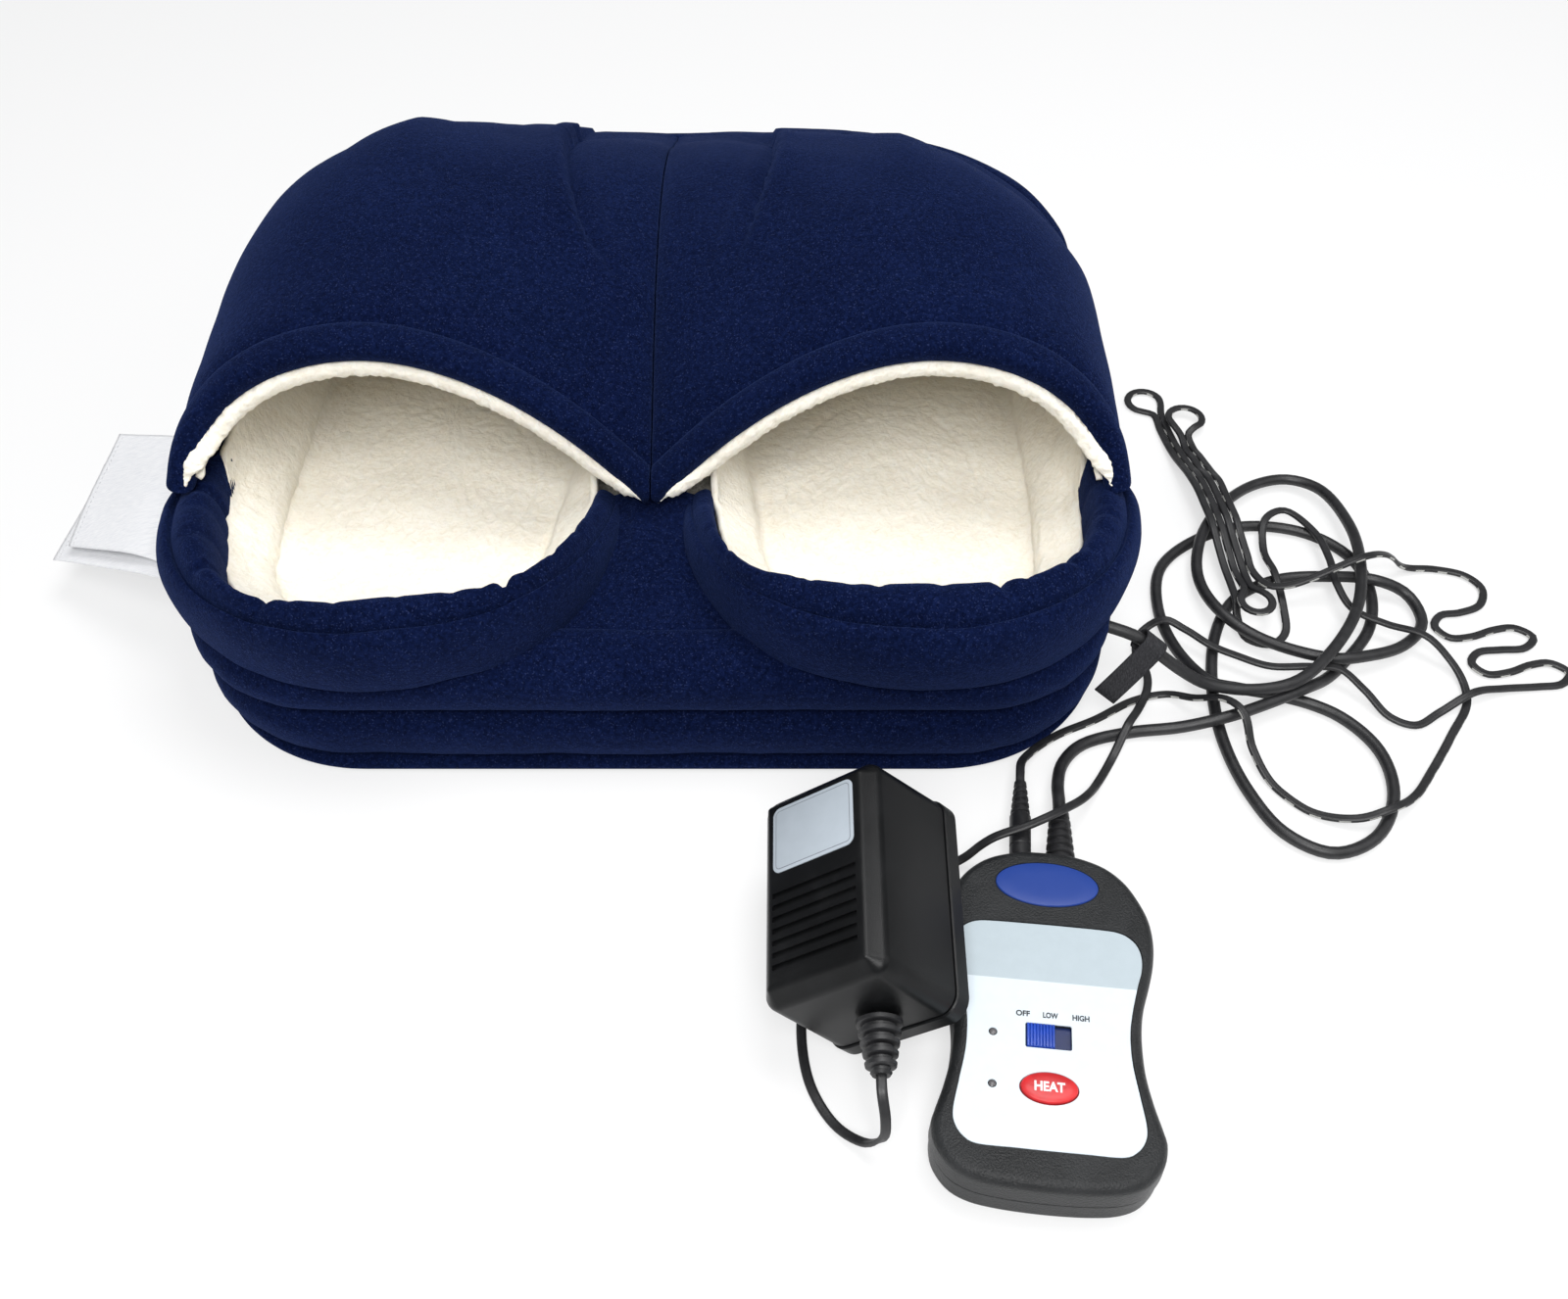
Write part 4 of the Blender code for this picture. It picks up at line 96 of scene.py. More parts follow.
def seen_apart(tree, seen, other, share=1.0):
    """A mix that shows one shader to the camera, by a share, and the other to the light."""
    path = tree.nodes.new("ShaderNodeLightPath")
    scaled = tree.nodes.new("ShaderNodeMath")
    scaled.operation = "MULTIPLY"
    scaled.inputs[1].default_value = share
    mix = tree.nodes.new("ShaderNodeMixShader")
    tree.links.new(path.outputs["Is Camera Ray"], scaled.inputs[0])
    tree.links.new(scaled.outputs[0], mix.inputs[0])
    tree.links.new(other.outputs[0], mix.inputs[1])
    tree.links.new(seen.outputs[0], mix.inputs[2])
    return mix


def glowing(tree, kind, tone, strength):
    node = tree.nodes.new(kind)
    node.inputs["Color"].default_value = tone
    node.inputs["Strength"].default_value = strength
    return node


def sky():
    """Soft light from all sides, behind which the camera sees plain white."""
    scene = bpy.context.scene
    scene.view_settings.view_transform = "Standard"
    scene.world = bpy.data.worlds.new("studio")
    scene.world.use_nodes = True
    tree = scene.world.node_tree
    tree.nodes.clear()
    mix = seen_apart(tree, glowing(tree, "ShaderNodeBackground", WHITE, 1.0),
                     glowing(tree, "ShaderNodeBackground", SKY_TONE, SKY_STRENGTH))
    tree.links.new(mix.outputs[0], tree.nodes.new("ShaderNodeOutputWorld").inputs["Surface"])


def floor():
    """The plain pale floor."""
    bpy.ops.mesh.primitive_plane_add(size=FLOOR_SIZE, location=FLOOR_SPOT)
    plane = bpy.context.object
    plane.name = "floor"
    look = bpy.data.materials.new("pale_floor")
    look.use_nodes = True
    tree = look.node_tree
    tree.nodes.clear()
    paper = tree.nodes.new("ShaderNodeBsdfDiffuse")
    paper.inputs["Color"].default_value = FLOOR_TONE
    mix = seen_apart(tree, glowing(tree, "ShaderNodeEmission", WHITE, 1.0), paper, FLOOR_GLOW_SHARE)
    tree.links.new(mix.outputs[0], tree.nodes.new("ShaderNodeOutputMaterial").inputs["Surface"])
    plane.data.materials.append(look)


camera()
sky()
floor()
for LAMP in LAMPS:
    area_light(*LAMP)


# Materials
class Look:
    """A node material, built up step by step on one Principled shader."""

    def __init__(self, name, colour, rough, metal=0.0, spec=0.5):
        self.item = bpy.data.materials.new(name)
        self.item.use_nodes = True
        self.nodes = self.item.node_tree.nodes
        self.links = self.item.node_tree.links
        self.shader = self.nodes["Principled BSDF"]
        self.shader.inputs["Base Color"].default_value = (*colour, 1.0)
        self.shader.inputs["Roughness"].default_value = rough
        self.shader.inputs["Metallic"].default_value = metal
        self.shader.inputs["Specular IOR Level"].default_value = spec
        self.where = self.nodes.new("ShaderNodeTexCoord").outputs["Object"]
        self.bump = None

    def noise(self, scale, detail=3.0, rough=0.55, stretch=None, warp=0.0):
        source = self.where
        if stretch:
            turn = self.nodes.new("ShaderNodeMapping")
            turn.inputs["Scale"].default_value = stretch
            self.links.new(source, turn.inputs["Vector"])
            source = turn.outputs[0]
        node = self.nodes.new("ShaderNodeTexNoise")
        node.inputs["Scale"].default_value = scale
        node.inputs["Detail"].default_value = detail
        node.inputs["Roughness"].default_value = rough
        node.inputs["Distortion"].default_value = warp
        self.links.new(source, node.inputs["Vector"])
        return node.outputs["Fac"]

    def cells(self, scale, feature="F1"):
        node = self.nodes.new("ShaderNodeTexVoronoi")
        node.feature = feature
        node.inputs["Scale"].default_value = scale
        self.links.new(self.where, node.inputs["Vector"])
        return node.outputs["Distance"]

    def ramp(self, source, stops, mode="LINEAR"):
        node = self.nodes.new("ShaderNodeValToRGB")
        node.color_ramp.interpolation = mode
        band = node.color_ramp
        while len(band.elements) < len(stops):
            band.elements.new(0.5)
        for element, (place, colour) in zip(band.elements, stops):
            element.position = place
            element.color = (*colour, 1.0)
        self.links.new(source, node.inputs[0])
        return node.outputs[0]

    def mix(self, share, first, second, mode="MIX"):
        node = self.nodes.new("ShaderNodeMix")
        node.data_type = "RGBA"
        node.blend_type = mode
        for socket, value in ((node.inputs[0], share), (node.inputs[6], first), (node.inputs[7], second)):
            if isinstance(value, bpy.types.NodeSocket):
                self.links.new(value, socket)
            elif isinstance(value, (int, float)):
                socket.default_value = value
            else:
                socket.default_value = (*value, 1.0)
        return node.outputs[2]

    def colour(self, source):
        self.links.new(source, self.shader.inputs["Base Color"])
        return self

    def roughness(self, source, low, high):
        node = self.nodes.new("ShaderNodeMapRange")
        node.inputs["To Min"].default_value = low
        node.inputs["To Max"].default_value = high
        self.links.new(source, node.inputs["Value"])
        self.links.new(node.outputs[0], self.shader.inputs["Roughness"])
        return self

    def relief(self, source, height, strength=1.0):
        """Adds a bump whose full swing is a height in metres."""
        node = self.nodes.new("ShaderNodeBump")
        node.inputs["Distance"].default_value = height
        node.inputs["Strength"].default_value = strength
        self.links.new(source, node.inputs["Height"])
        if self.bump is not None:
            self.links.new(self.bump, node.inputs["Normal"])
        self.bump = node.outputs[0]
        self.links.new(self.bump, self.shader.inputs["Normal"])
        return self

    def fuzz(self, weight, rough, tint):
        self.shader.inputs["Sheen Weight"].default_value = weight
        self.shader.inputs["Sheen Roughness"].default_value = rough
        self.shader.inputs["Sheen Tint"].default_value = (*tint, 1.0)
        return self


def fleece():
    """Brushed navy knit: short pile in fine clumps, with painted shade between them, pale flecks, a thin
    bloom where it turns away.
    """
    look = Look("navy_fleece", (0.0085, 0.0165, 0.070), 0.94, spec=0.03)
    clumps = look.noise(620.0, 4.0, 0.66, warp=0.5)
    fine = look.noise(2300.0, 2.0, 0.6)
    wide = look.noise(26.0, 3.0, 0.5)
    # The pile's colour follows the same noise as its bump, darkest where the clumps are low: painted shade
    # between the clumps.
    deep = look.ramp(clumps, ((0.32, (0.0009, 0.0026, 0.015)), (0.50, (0.0021, 0.0054, 0.028)),
                              (0.70, (0.0050, 0.0108, 0.050))))
    worn = look.ramp(wide, ((0.30, (0.84, 0.84, 0.85)), (0.70, (1.12, 1.10, 1.08))))
    base = look.mix(1.0, deep, worn, "MULTIPLY")
    flecks = look.ramp(look.noise(1500.0, 0.0, 0.5), ((0.68, (0.0, 0.0, 0.0)), (0.76, (1.0, 1.0, 1.0))))
    pale = look.mix(0.30, base, (0.040, 0.056, 0.150))
    look.colour(look.mix(flecks, base, pale))
    look.relief(clumps, 0.0009, 0.55).relief(fine, 0.0004, 0.6)
    return look.fuzz(0.115, 0.50, (0.17, 0.29, 0.85)).item


def sherpa():
    """Cream curly pile, combed soft: low tufts two or three millimetres across, with painted shade, darker
    and warmer, between them.
    """
    look = Look("cream_sherpa", (0.91, 0.865, 0.75), 0.95, spec=0.10)
    tufts = look.noise(310.0, 4.0, 0.66, warp=1.1)
    curls = look.cells(480.0)
    wide = look.noise(34.0, 3.0, 0.55)
    # The colour follows the same noise as the bump, darker and warmer where the tufts are low: painted shade
    # between the tufts.
    tone = look.ramp(tufts, ((0.26, (0.86, 0.800, 0.680)), (0.46, (0.94, 0.895, 0.795)),
                             (0.70, (0.975, 0.945, 0.870))))
    aged = look.ramp(wide, ((0.30, (0.955, 0.945, 0.920)), (0.70, (1.0, 1.0, 1.0))))
    look.colour(look.mix(1.0, tone, aged, "MULTIPLY"))
    look.relief(tufts, 0.0011, 0.5).relief(curls, 0.0004, 0.4)
    look.shader.inputs["Subsurface Weight"].default_value = 0.10
    look.shader.inputs["Subsurface Radius"].default_value = (0.004, 0.003, 0.002)
    return look.fuzz(0.20, 0.6, (1.0, 0.97, 0.90)).item


def moulded(name, colour, rough, grain=2600.0, depth=0.00012, strength=0.35, spec=0.45):
    """Moulded plastic with a fine spark-eroded grain and slight rubbing."""
    look = Look(name, colour, rough, spec=spec)
    pores = look.noise(grain, 2.0, 0.6)
    rubbed = look.noise(60.0, 4.0, 0.6, warp=0.6)
    dark = tuple(c * 0.72 for c in colour)
    pale = tuple(min(1.0, c * 1.35 + 0.002) for c in colour)
    look.colour(look.ramp(rubbed, ((0.30, dark), (0.50, colour), (0.74, pale))))
    look.roughness(rubbed, max(0.05, rough - 0.10), min(1.0, rough + 0.10))
    return look.relief(pores, depth, strength).item


def printed(name, colour, rough=0.30):
    """Printed film: almost flat, with a faint mottle in colour and gloss."""
    look = Look(name, colour, rough, spec=0.28)
    mottle = look.noise(180.0, 3.0, 0.6)
    low = tuple(c * 0.965 for c in colour)
    look.colour(look.ramp(mottle, ((0.35, low), (0.65, colour))))
    look.roughness(mottle, rough - 0.06, rough + 0.10)
    return look.relief(mottle, 0.00005, 0.15).item


def rubber(name="cord_rubber", colour=(0.0085, 0.0085, 0.0095), rough=0.42):
    """Extruded flexible sheath: fine drag lines and dust, with a soft shine."""
    look = Look(name, colour, rough, spec=0.5)
    drag = look.noise(900.0, 3.0, 0.6)
    dust = look.noise(120.0, 5.0, 0.65, warp=1.0)
    pale = tuple(c * 2.1 + 0.004 for c in colour)
    look.colour(look.ramp(dust, ((0.40, colour), (0.80, pale))))
    look.roughness(drag, rough - 0.08, rough + 0.14)
    return look.relief(drag, 0.00008, 0.35).item


def satin_ribbon():
    look = Look("white_satin", (0.86, 0.86, 0.87), 0.42, spec=0.4)
    warp = look.noise(700.0, 2.0, 0.5, stretch=(0.15, 6.0, 1.0))
    # The colour follows the same noise as the bump, darker in the low lines of the weave: painted shade
    # between the threads.
    look.colour(look.ramp(warp, ((0.30, (0.74, 0.75, 0.78)), (0.65, (0.90, 0.90, 0.91)))))
    look.relief(warp, 0.00012, 0.5)
    return look.fuzz(0.12, 0.4, (1.0, 1.0, 1.0)).item


def woven(name, colour):
    look = Look(name, colour, 0.8, spec=0.25)
    weft = look.noise(900.0, 1.0, 0.5, stretch=(4.0, 0.4, 1.0))
    # Paler where the weft stands up in the bump, darker between: painted highlight on the raised weft and
    # painted shade between it.
    pale = tuple(c * 2.4 + 0.006 for c in colour)
    look.colour(look.ramp(weft, ((0.35, colour), (0.70, pale))))
    return look.relief(weft, 0.0003, 0.7).item


def dotted_cloth():
    """Non-slip cloth of the underside, with small rubber dots."""
    look = Look("anti_slip_cloth", (0.02, 0.02, 0.022), 0.85, spec=0.3)
    dots = look.ramp(look.cells(170.0), ((0.22, (1.0, 1.0, 1.0)), (0.30, (0.0, 0.0, 0.0))))
    look.colour(look.mix(dots, (0.018, 0.018, 0.020), (0.055, 0.055, 0.060)))
    return look.relief(dots, 0.0006, 0.8).item


def open_foam():
    look = Look("foam", (0.62, 0.60, 0.54), 0.95, spec=0.1)
    pores = look.cells(700.0)
    # Darker in the pores, where the bump is low: painted shade in the pores.
    look.colour(look.ramp(pores, ((0.10, (0.45, 0.43, 0.38)), (0.60, (0.68, 0.66, 0.60)))))
    return look.relief(pores, 0.0008, 0.8).item


def metal(name, colour, rough):
    look = Look(name, colour, rough, metal=1.0)
    brush = look.noise(900.0, 2.0, 0.5, stretch=(8.0, 0.5, 1.0))
    dark = tuple(c * 0.82 for c in colour)
    look.colour(look.ramp(brush, ((0.30, dark), (0.70, colour))))
    return look.roughness(brush, rough - 0.08, rough + 0.10).item


NAVY = fleece()
CREAM = sherpa()
SHELL = moulded("black_shell", (0.0150, 0.0160, 0.0170), 0.42, grain=1500.0, depth=0.00045, strength=0.8,
                spec=0.30)
ADAPTER = moulded("adapter_shell", (0.0040, 0.0043, 0.0048), 0.34, depth=0.00012, strength=0.4, spec=0.22)
BLUE = moulded("blue_plastic", (0.012, 0.062, 0.420), 0.34, depth=0.00006, strength=0.2)
DEEP_BLUE = moulded("deep_blue_plastic", (0.006, 0.016, 0.085), 0.38, depth=0.00006, strength=0.2)
RED = moulded("red_button", (0.560, 0.018, 0.022), 0.36, depth=0.00006, strength=0.2)
WHITE_FACE = printed("white_face", (0.66, 0.73, 0.78), 0.42)
GREY_FACE = printed("grey_face", (0.44, 0.51, 0.55), 0.42)
BADGE_BLUE = printed("badge_blue", (0.016, 0.048, 0.250), 0.30)
LENS = moulded("red_lens", (0.110, 0.105, 0.110), 0.25, depth=0.00003, strength=0.1)
INK_GREY = printed("printed_grey", (0.030, 0.033, 0.040), 0.4)
INK_WHITE = printed("printed_white", (0.80, 0.80, 0.80), 0.4)
LABEL = printed("blank_label", (0.42, 0.47, 0.52), 0.42)
LABEL_LINE = printed("label_line", (0.22, 0.24, 0.27), 0.42)
RUBBER = rubber()
LEAD_STRIPE = printed("lead_stripe", (0.42, 0.42, 0.40), 0.5)
SATIN = satin_ribbon()
RIBBON = woven("keeper_ribbon", (0.014, 0.014, 0.016))
PANEL = dotted_cloth()
INNER_LOOKS = {
    "foam": open_foam(),
    "heater_film": moulded("heater_film", (0.45, 0.02, 0.02), 0.5),
    "capsule_plastic": moulded("capsule_plastic", (0.75, 0.76, 0.77), 0.5),
    "motor_steel": metal("motor_steel", (0.62, 0.62, 0.63), 0.34),
    "weight_brass": metal("weight_brass", (0.70, 0.48, 0.18), 0.36),
    "nickel": metal("nickel", (0.66, 0.65, 0.62), 0.24),
    "core_steel": metal("core_steel", (0.45, 0.45, 0.46), 0.5),
    "board": moulded("board", (0.02, 0.13, 0.055), 0.42),
    "jack_plastic": moulded("jack_plastic", (0.014, 0.014, 0.015), 0.5),
    "harness_cover": rubber("harness_cover"),
    "navy_fleece": NAVY, "cream_sherpa": CREAM, "anti_slip_cloth": PANEL, "white_satin": SATIN,
    "keeper_ribbon": RIBBON, "black_shell": SHELL, "white_face": WHITE_FACE, "blue_plastic": BLUE,
    "red_button": RED, "red_lens": LENS, "cord_rubber": RUBBER, "adapter_shell": ADAPTER,
    "blank_label": LABEL}


# Mesh helpers
def piece(name, spots, faces, look, nodes=(), slot=None, body=BODY, smooth=True):
    mesh = bpy.data.meshes.new(name)
    mesh.from_pydata([tuple(map(float, spot)) for spot in spots], [], faces)
    mesh.update()
    item = bpy.data.objects.new(name, mesh)
    bpy.context.scene.collection.objects.link(item)
    mesh.materials.append(look)
    if smooth:
        mesh.shade_smooth()
    return claim(item, nodes, body)


def claim(item, nodes=(), body=BODY):
    if body is None:
        return item
    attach(item, body)
    if nodes:
        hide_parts(*nodes)
    return item


def turn_out(item):
    """Makes the faces of a closed mesh point outward."""
    work = bmesh.new()
    work.from_mesh(item.data)
    bmesh.ops.recalc_face_normals(work, faces=work.faces)
    work.to_mesh(item.data)
    work.free()
    item.data.shade_smooth()
    return item


def sheet_faces(rows, columns, around=False, closed=False):
    """Quads of a grid: around joins the last column to the first, closed the last row to the first."""
    faces = []
    for i in range(rows if closed else rows - 1):
        low, high = i * columns, ((i + 1) % rows) * columns
        for j in range(columns if around else columns - 1):
            k = (j + 1) % columns
            faces.append((low + j, low + k, high + k, high + j))
    return faces


def loft(name, grid, look, around=True, caps=True, **claims):
    """A solid or sheet through the rows of a grid of points, a solid's end rows filled."""
    grid = np.asarray(grid, float)
    rows, columns = grid.shape[:2]
    faces = sheet_faces(rows, columns, around)
    if around and caps:
        faces.append(tuple(range(columns))[::-1])
        faces.append(tuple((rows - 1) * columns + j for j in range(columns)))
    item = piece(name, grid.reshape(-1, 3), faces, look, **claims)
    return turn_out(item)


def spline(spots, places, closed=False):
    """Points of a smooth curve through control points, at places counted in control points."""
    spots = np.asarray(spots, float)
    count = len(spots)
    places = np.asarray(places, float)
    low = np.floor(places).astype(int)
    if not closed:
        low = np.clip(low, 0, count - 2)
    part = (places - low)[:, None]

    def at(index):
        if closed:
            return spots[index % count]
        inside = np.clip(index, 0, count - 1)
        value = spots[inside]
        before, after = index < 0, index > count - 1
        value = np.where(before[:, None], 2 * spots[0] - spots[1], value)
        return np.where(after[:, None], 2 * spots[-1] - spots[-2], value)

    a, b, c, d = at(low - 1), at(low), at(low + 1), at(low + 2)
    return 0.5 * (2 * b + (c - a) * part + (2 * a - 5 * b + 4 * c - d) * part ** 2
                  + (3 * b - a - 3 * c + d) * part ** 3)


def reach_along(path):
    """Distance along a path to each of its points."""
    return np.concatenate([[0.0], np.cumsum(np.linalg.norm(np.diff(path, axis=0), axis=1))])


def unit_rows(rows):
    return rows / np.linalg.norm(rows, axis=1, keepdims=True)


def even_spline(spots, count, closed=False):
    """Points evenly spaced in length along the smooth curve through control points."""
    total = len(spots) if closed else len(spots) - 1
    fine = spline(spots, np.linspace(0, total, total * 24 + 1), closed)
    reach = reach_along(fine)
    goals = np.linspace(0.0, reach[-1], count + 1)
    if closed:
        goals = goals[:-1]
    return np.stack([np.interp(goals, reach, fine[:, k]) for k in range(fine.shape[1])], axis=1)


def bspline_weights(places, count):
    """Weights of a uniform cubic B-spline whose ends pass through the end points."""
    places = np.asarray(places, float)
    low = np.clip(np.floor(places).astype(int), 0, count - 2)
    t = places - low
    basis = np.stack([(1 - t) ** 3, 3 * t ** 3 - 6 * t ** 2 + 4,
                      -3 * t ** 3 + 3 * t ** 2 + 3 * t + 1, t ** 3]) / 6
    weights = np.zeros((len(places), count + 2))
    for k in range(4):
        weights[np.arange(len(places)), low + k] += basis[k]
    weights[:, 1] += 2 * weights[:, 0]
    weights[:, 2] -= weights[:, 0]
    weights[:, -2] += 2 * weights[:, -1]
    weights[:, -3] -= weights[:, -1]
    return weights[:, 1:-1]


def ease(value, low, high):
    part = np.clip((value - low) / (high - low), 0.0, 1.0)
    return part * part * (3 - 2 * part)


def rough_field(spots, size, seed=0.0):
    """A smooth field from -1 to 1 that varies over a size."""
    return np.array([noise.noise(Vector((x / size + seed, y / size - seed, z / size + seed * 0.5)))
                     for x, y, z in np.asarray(spots).reshape(-1, 3)])


def rough_on(grid, size, seed):
    """The smooth field on a grid of points."""
    return rough_field(grid, size, seed).reshape(np.shape(grid)[:-1])


def inward_of(ring):
    """The direction to the inside, at each point of a closed outline."""
    heading = unit_rows(np.roll(ring, -1, axis=0) - np.roll(ring, 1, axis=0))
    inward = np.stack([-heading[:, 1], heading[:, 0]], axis=1)
    if ((ring.mean(0) - ring) * inward).sum() < 0:
        inward = -inward
    return inward


def squarish(steps, wide_power, high_power):
    """Points of a ring from -1 to 1 each way, the squarer the lower its powers."""
    spots = []
    for k in range(steps):
        angle = 2 * math.pi * k / steps
        a, b = math.cos(angle), math.sin(angle)
        spots.append((math.copysign(abs(a) ** wide_power, a), math.copysign(abs(b) ** high_power, b)))
    return spots


def thicken(item, thickness, offset=-1.0):
    """Gives a sheet its thickness: behind it, or on both sides for an offset of 0."""
    change = item.modifiers.new("thickness", "SOLIDIFY")
    change.thickness = thickness
    change.offset = offset


def face_up(item):
    """Turns an open sheet so that most of its faces look up."""
    mesh = item.data
    mesh.update()
    if sum(face.normal.z * face.area for face in mesh.polygons) < 0:
        mesh.flip_normals()
    return item


def face_out(item):
    """Turns an open wall so that it looks away from the middle of the warmer."""
    mesh = item.data
    if sum(face.normal.xy.dot(face.center.xy) * face.area for face in mesh.polygons) < 0:
        mesh.flip_normals()


def face_toward(item, centre):
    """Turns an open wall so that it looks toward a point in plan."""
    goal = Vector((centre[0], centre[1]))
    mesh = item.data
    mesh.update()
    if sum(face.normal.xy.dot(goal - face.center.xy) * face.area for face in mesh.polygons) < 0:
        mesh.flip_normals()


def vertex_normals(grid, around=False):
    """Normals of a grid of points, from its neighbours."""
    grid = np.asarray(grid)
    along = np.gradient(grid, axis=0)
    if around:
        wide = np.concatenate([grid[:, -1:], grid, grid[:, :1]], axis=1)
        across = np.gradient(wide, axis=1)[:, 1:-1]
    else:
        across = np.gradient(grid, axis=1)
    normal = np.cross(across, along)
    return normal / np.maximum(np.linalg.norm(normal, axis=2, keepdims=True), 1e-9)


def pile_out(item, height, size, seed=0.0):
    """Moves a mesh's points along their normals as a pile's tufts would."""
    mesh = item.data
    mesh.update()
    count = len(mesh.vertices)
    spots, normals = np.zeros(count * 3), np.zeros(count * 3)
    mesh.vertices.foreach_get("co", spots)
    mesh.vertices.foreach_get("normal", normals)
    spots, normals = spots.reshape(-1, 3), normals.reshape(-1, 3)
    value = rough_field(spots, size, seed) + 0.5 * rough_field(spots, size * 0.45, -seed)
    mesh.vertices.foreach_set("co", (spots + normals * (height * value)[:, None]).ravel())
    mesh.update()
    return item


def inflate(item, held, pressure=4.0, frames=20, cap=0.004):
    """Lets a cover swell under pressure between its held seams, each point moving by no more than a cap."""
    scene = bpy.context.scene
    mesh = item.data
    count = len(mesh.vertices)
    before = np.zeros(count * 3)
    mesh.vertices.foreach_get("co", before)
    group = item.vertex_groups.new(name="held")
    group.add([int(i) for i in held], 1.0, "REPLACE")
    cloth = item.modifiers.new("swell", "CLOTH")
    cloth.settings.quality = 6
    cloth.settings.mass = 0.25
    cloth.settings.tension_stiffness = 18.0
    cloth.settings.compression_stiffness = 14.0
    cloth.settings.shear_stiffness = 6.0
    cloth.settings.bending_stiffness = 0.35
    cloth.settings.vertex_group_mass = "held"
    cloth.settings.use_pressure = True
    cloth.settings.uniform_pressure_force = pressure
    cloth.settings.effector_weights.gravity = 0.0
    cloth.collision_settings.use_collision = False
    cloth.point_cache.frame_start = 1
    cloth.point_cache.frame_end = frames
    for number in range(1, frames + 1):
        scene.frame_set(number)
    graph = bpy.context.evaluated_depsgraph_get()
    swollen = item.evaluated_get(graph).to_mesh()
    after = np.zeros(count * 3)
    swollen.vertices.foreach_get("co", after)
    item.evaluated_get(graph).to_mesh_clear()
    item.modifiers.remove(cloth)
    item.vertex_groups.remove(group)
    scene.frame_set(1)
    move = np.nan_to_num(after - before).reshape(-1, 3)
    size = np.linalg.norm(move, axis=1, keepdims=True)
    move *= np.minimum(1.0, cap / np.maximum(size, 1e-9))
    mesh.vertices.foreach_set("co", (before.reshape(-1, 3) + move).ravel())
    mesh.update()
    return item


def tube(path, radius, sides=12, flat=1.0):
    """Rings of a tube along a path. flat squeezes it in the direction that is nearest to straight up."""
    path = np.asarray(path, float)
    heading = unit_rows(np.gradient(path, axis=0))
    rings = []
    side = np.cross(heading[0], (0.0, 0.0, 1.0))
    side /= max(np.linalg.norm(side), 1e-9)
    for i, (spot, ahead) in enumerate(zip(path, heading)):
        side = side - ahead * side.dot(ahead)
        side /= np.linalg.norm(side)
        level = np.cross(ahead, (0.0, 0.0, 1.0))
        size = np.linalg.norm(level)
        if flat != 1.0 and size > 0.35:
            level /= size
            if level.dot(side) < 0:
                level = -level
            side = side * 0.75 + level * 0.25
            side /= np.linalg.norm(side)
        up = np.cross(side, ahead)
        wide = radius[i] if hasattr(radius, "__len__") else radius
        ring = []
        for k in range(sides):
            angle = 2 * math.pi * k / sides
            ring.append(spot + side * (math.cos(angle) * wide) + up * (math.sin(angle) * wide * flat))
        rings.append(ring)
    return np.array(rings)


def lathe(profile, steps=40):
    """Rings about Z of a profile of (radius, height)."""
    turn = np.linspace(0.0, 2 * math.pi, steps, endpoint=False)
    return np.array([[(r * math.cos(a), r * math.sin(a), z) for a in turn] for r, z in profile])


def moved(grid, matrix):
    grid = np.asarray(grid, float)
    turn = np.array(matrix.to_3x3())
    return grid @ turn.T + np.array(matrix.translation)


# Routes of the cords, as in the part's source
CABLE_ROUTE = (
    (0.1768, -0.1271, 0.0425), (0.19, -0.1308, 0.0395), (0.2, -0.1335, 0.032), (0.21, -0.135, 0.024),
    (0.222, -0.135, 0.016), (0.24, -0.136, 0.0139), (0.258, -0.132, 0.0142), (0.276, -0.116, 0.0144),
    (0.293, -0.091, 0.014), (0.301, -0.065, 0.014), (0.304, -0.036, 0.0105), (0.298, -0.008, 0.0065),
    (0.286, 0.0, 0.005), (0.27, -0.004, 0.0055), (0.25, -0.022, 0.0083), (0.237, -0.043, 0.0083),
    (0.232, -0.066, 0.0072), (0.237, -0.087, 0.0083), (0.252, -0.102, 0.007), (0.278, -0.1145, 0.0088),
    (0.293, -0.113, 0.0084), (0.311, -0.105, 0.006), (0.324, -0.089, 0.0035), (0.321, -0.074, 0.005),
    (0.307, -0.0695, 0.0092), (0.291, -0.063, 0.0046), (0.268, -0.063, 0.0026), (0.247, -0.075, 0.0026),
    (0.235, -0.095, 0.0026), (0.228, -0.125, 0.0026), (0.227, -0.152, 0.0026), (0.232, -0.178, 0.0026),
    (0.242, -0.198, 0.0026), (0.258, -0.207, 0.0026), (0.276, -0.2, 0.0026), (0.288, -0.18, 0.0026),
    (0.288, -0.158, 0.0026), (0.276, -0.14, 0.0026), (0.256, -0.13, 0.0026), (0.236, -0.1295, 0.0074),
    (0.226, -0.128, 0.009), (0.217, -0.107, 0.004), (0.213, -0.082, 0.0026), (0.218, -0.056, 0.0026),
    (0.236, -0.0385, 0.0026), (0.261, -0.029, 0.0026), (0.288, -0.034, 0.0026), (0.304, -0.05, 0.0026),
    (0.307, -0.07, 0.0026), (0.301, -0.092, 0.0026), (0.285, -0.112, 0.0026), (0.275, -0.122, 0.0042),
    (0.263, -0.131, 0.0086), (0.246, -0.139, 0.0086), (0.229, -0.146, 0.009), (0.211, -0.148, 0.005),
    (0.19, -0.149, 0.0026), (0.171, -0.155, 0.0028), (0.161, -0.167, 0.006), (0.157, -0.18, 0.0095))
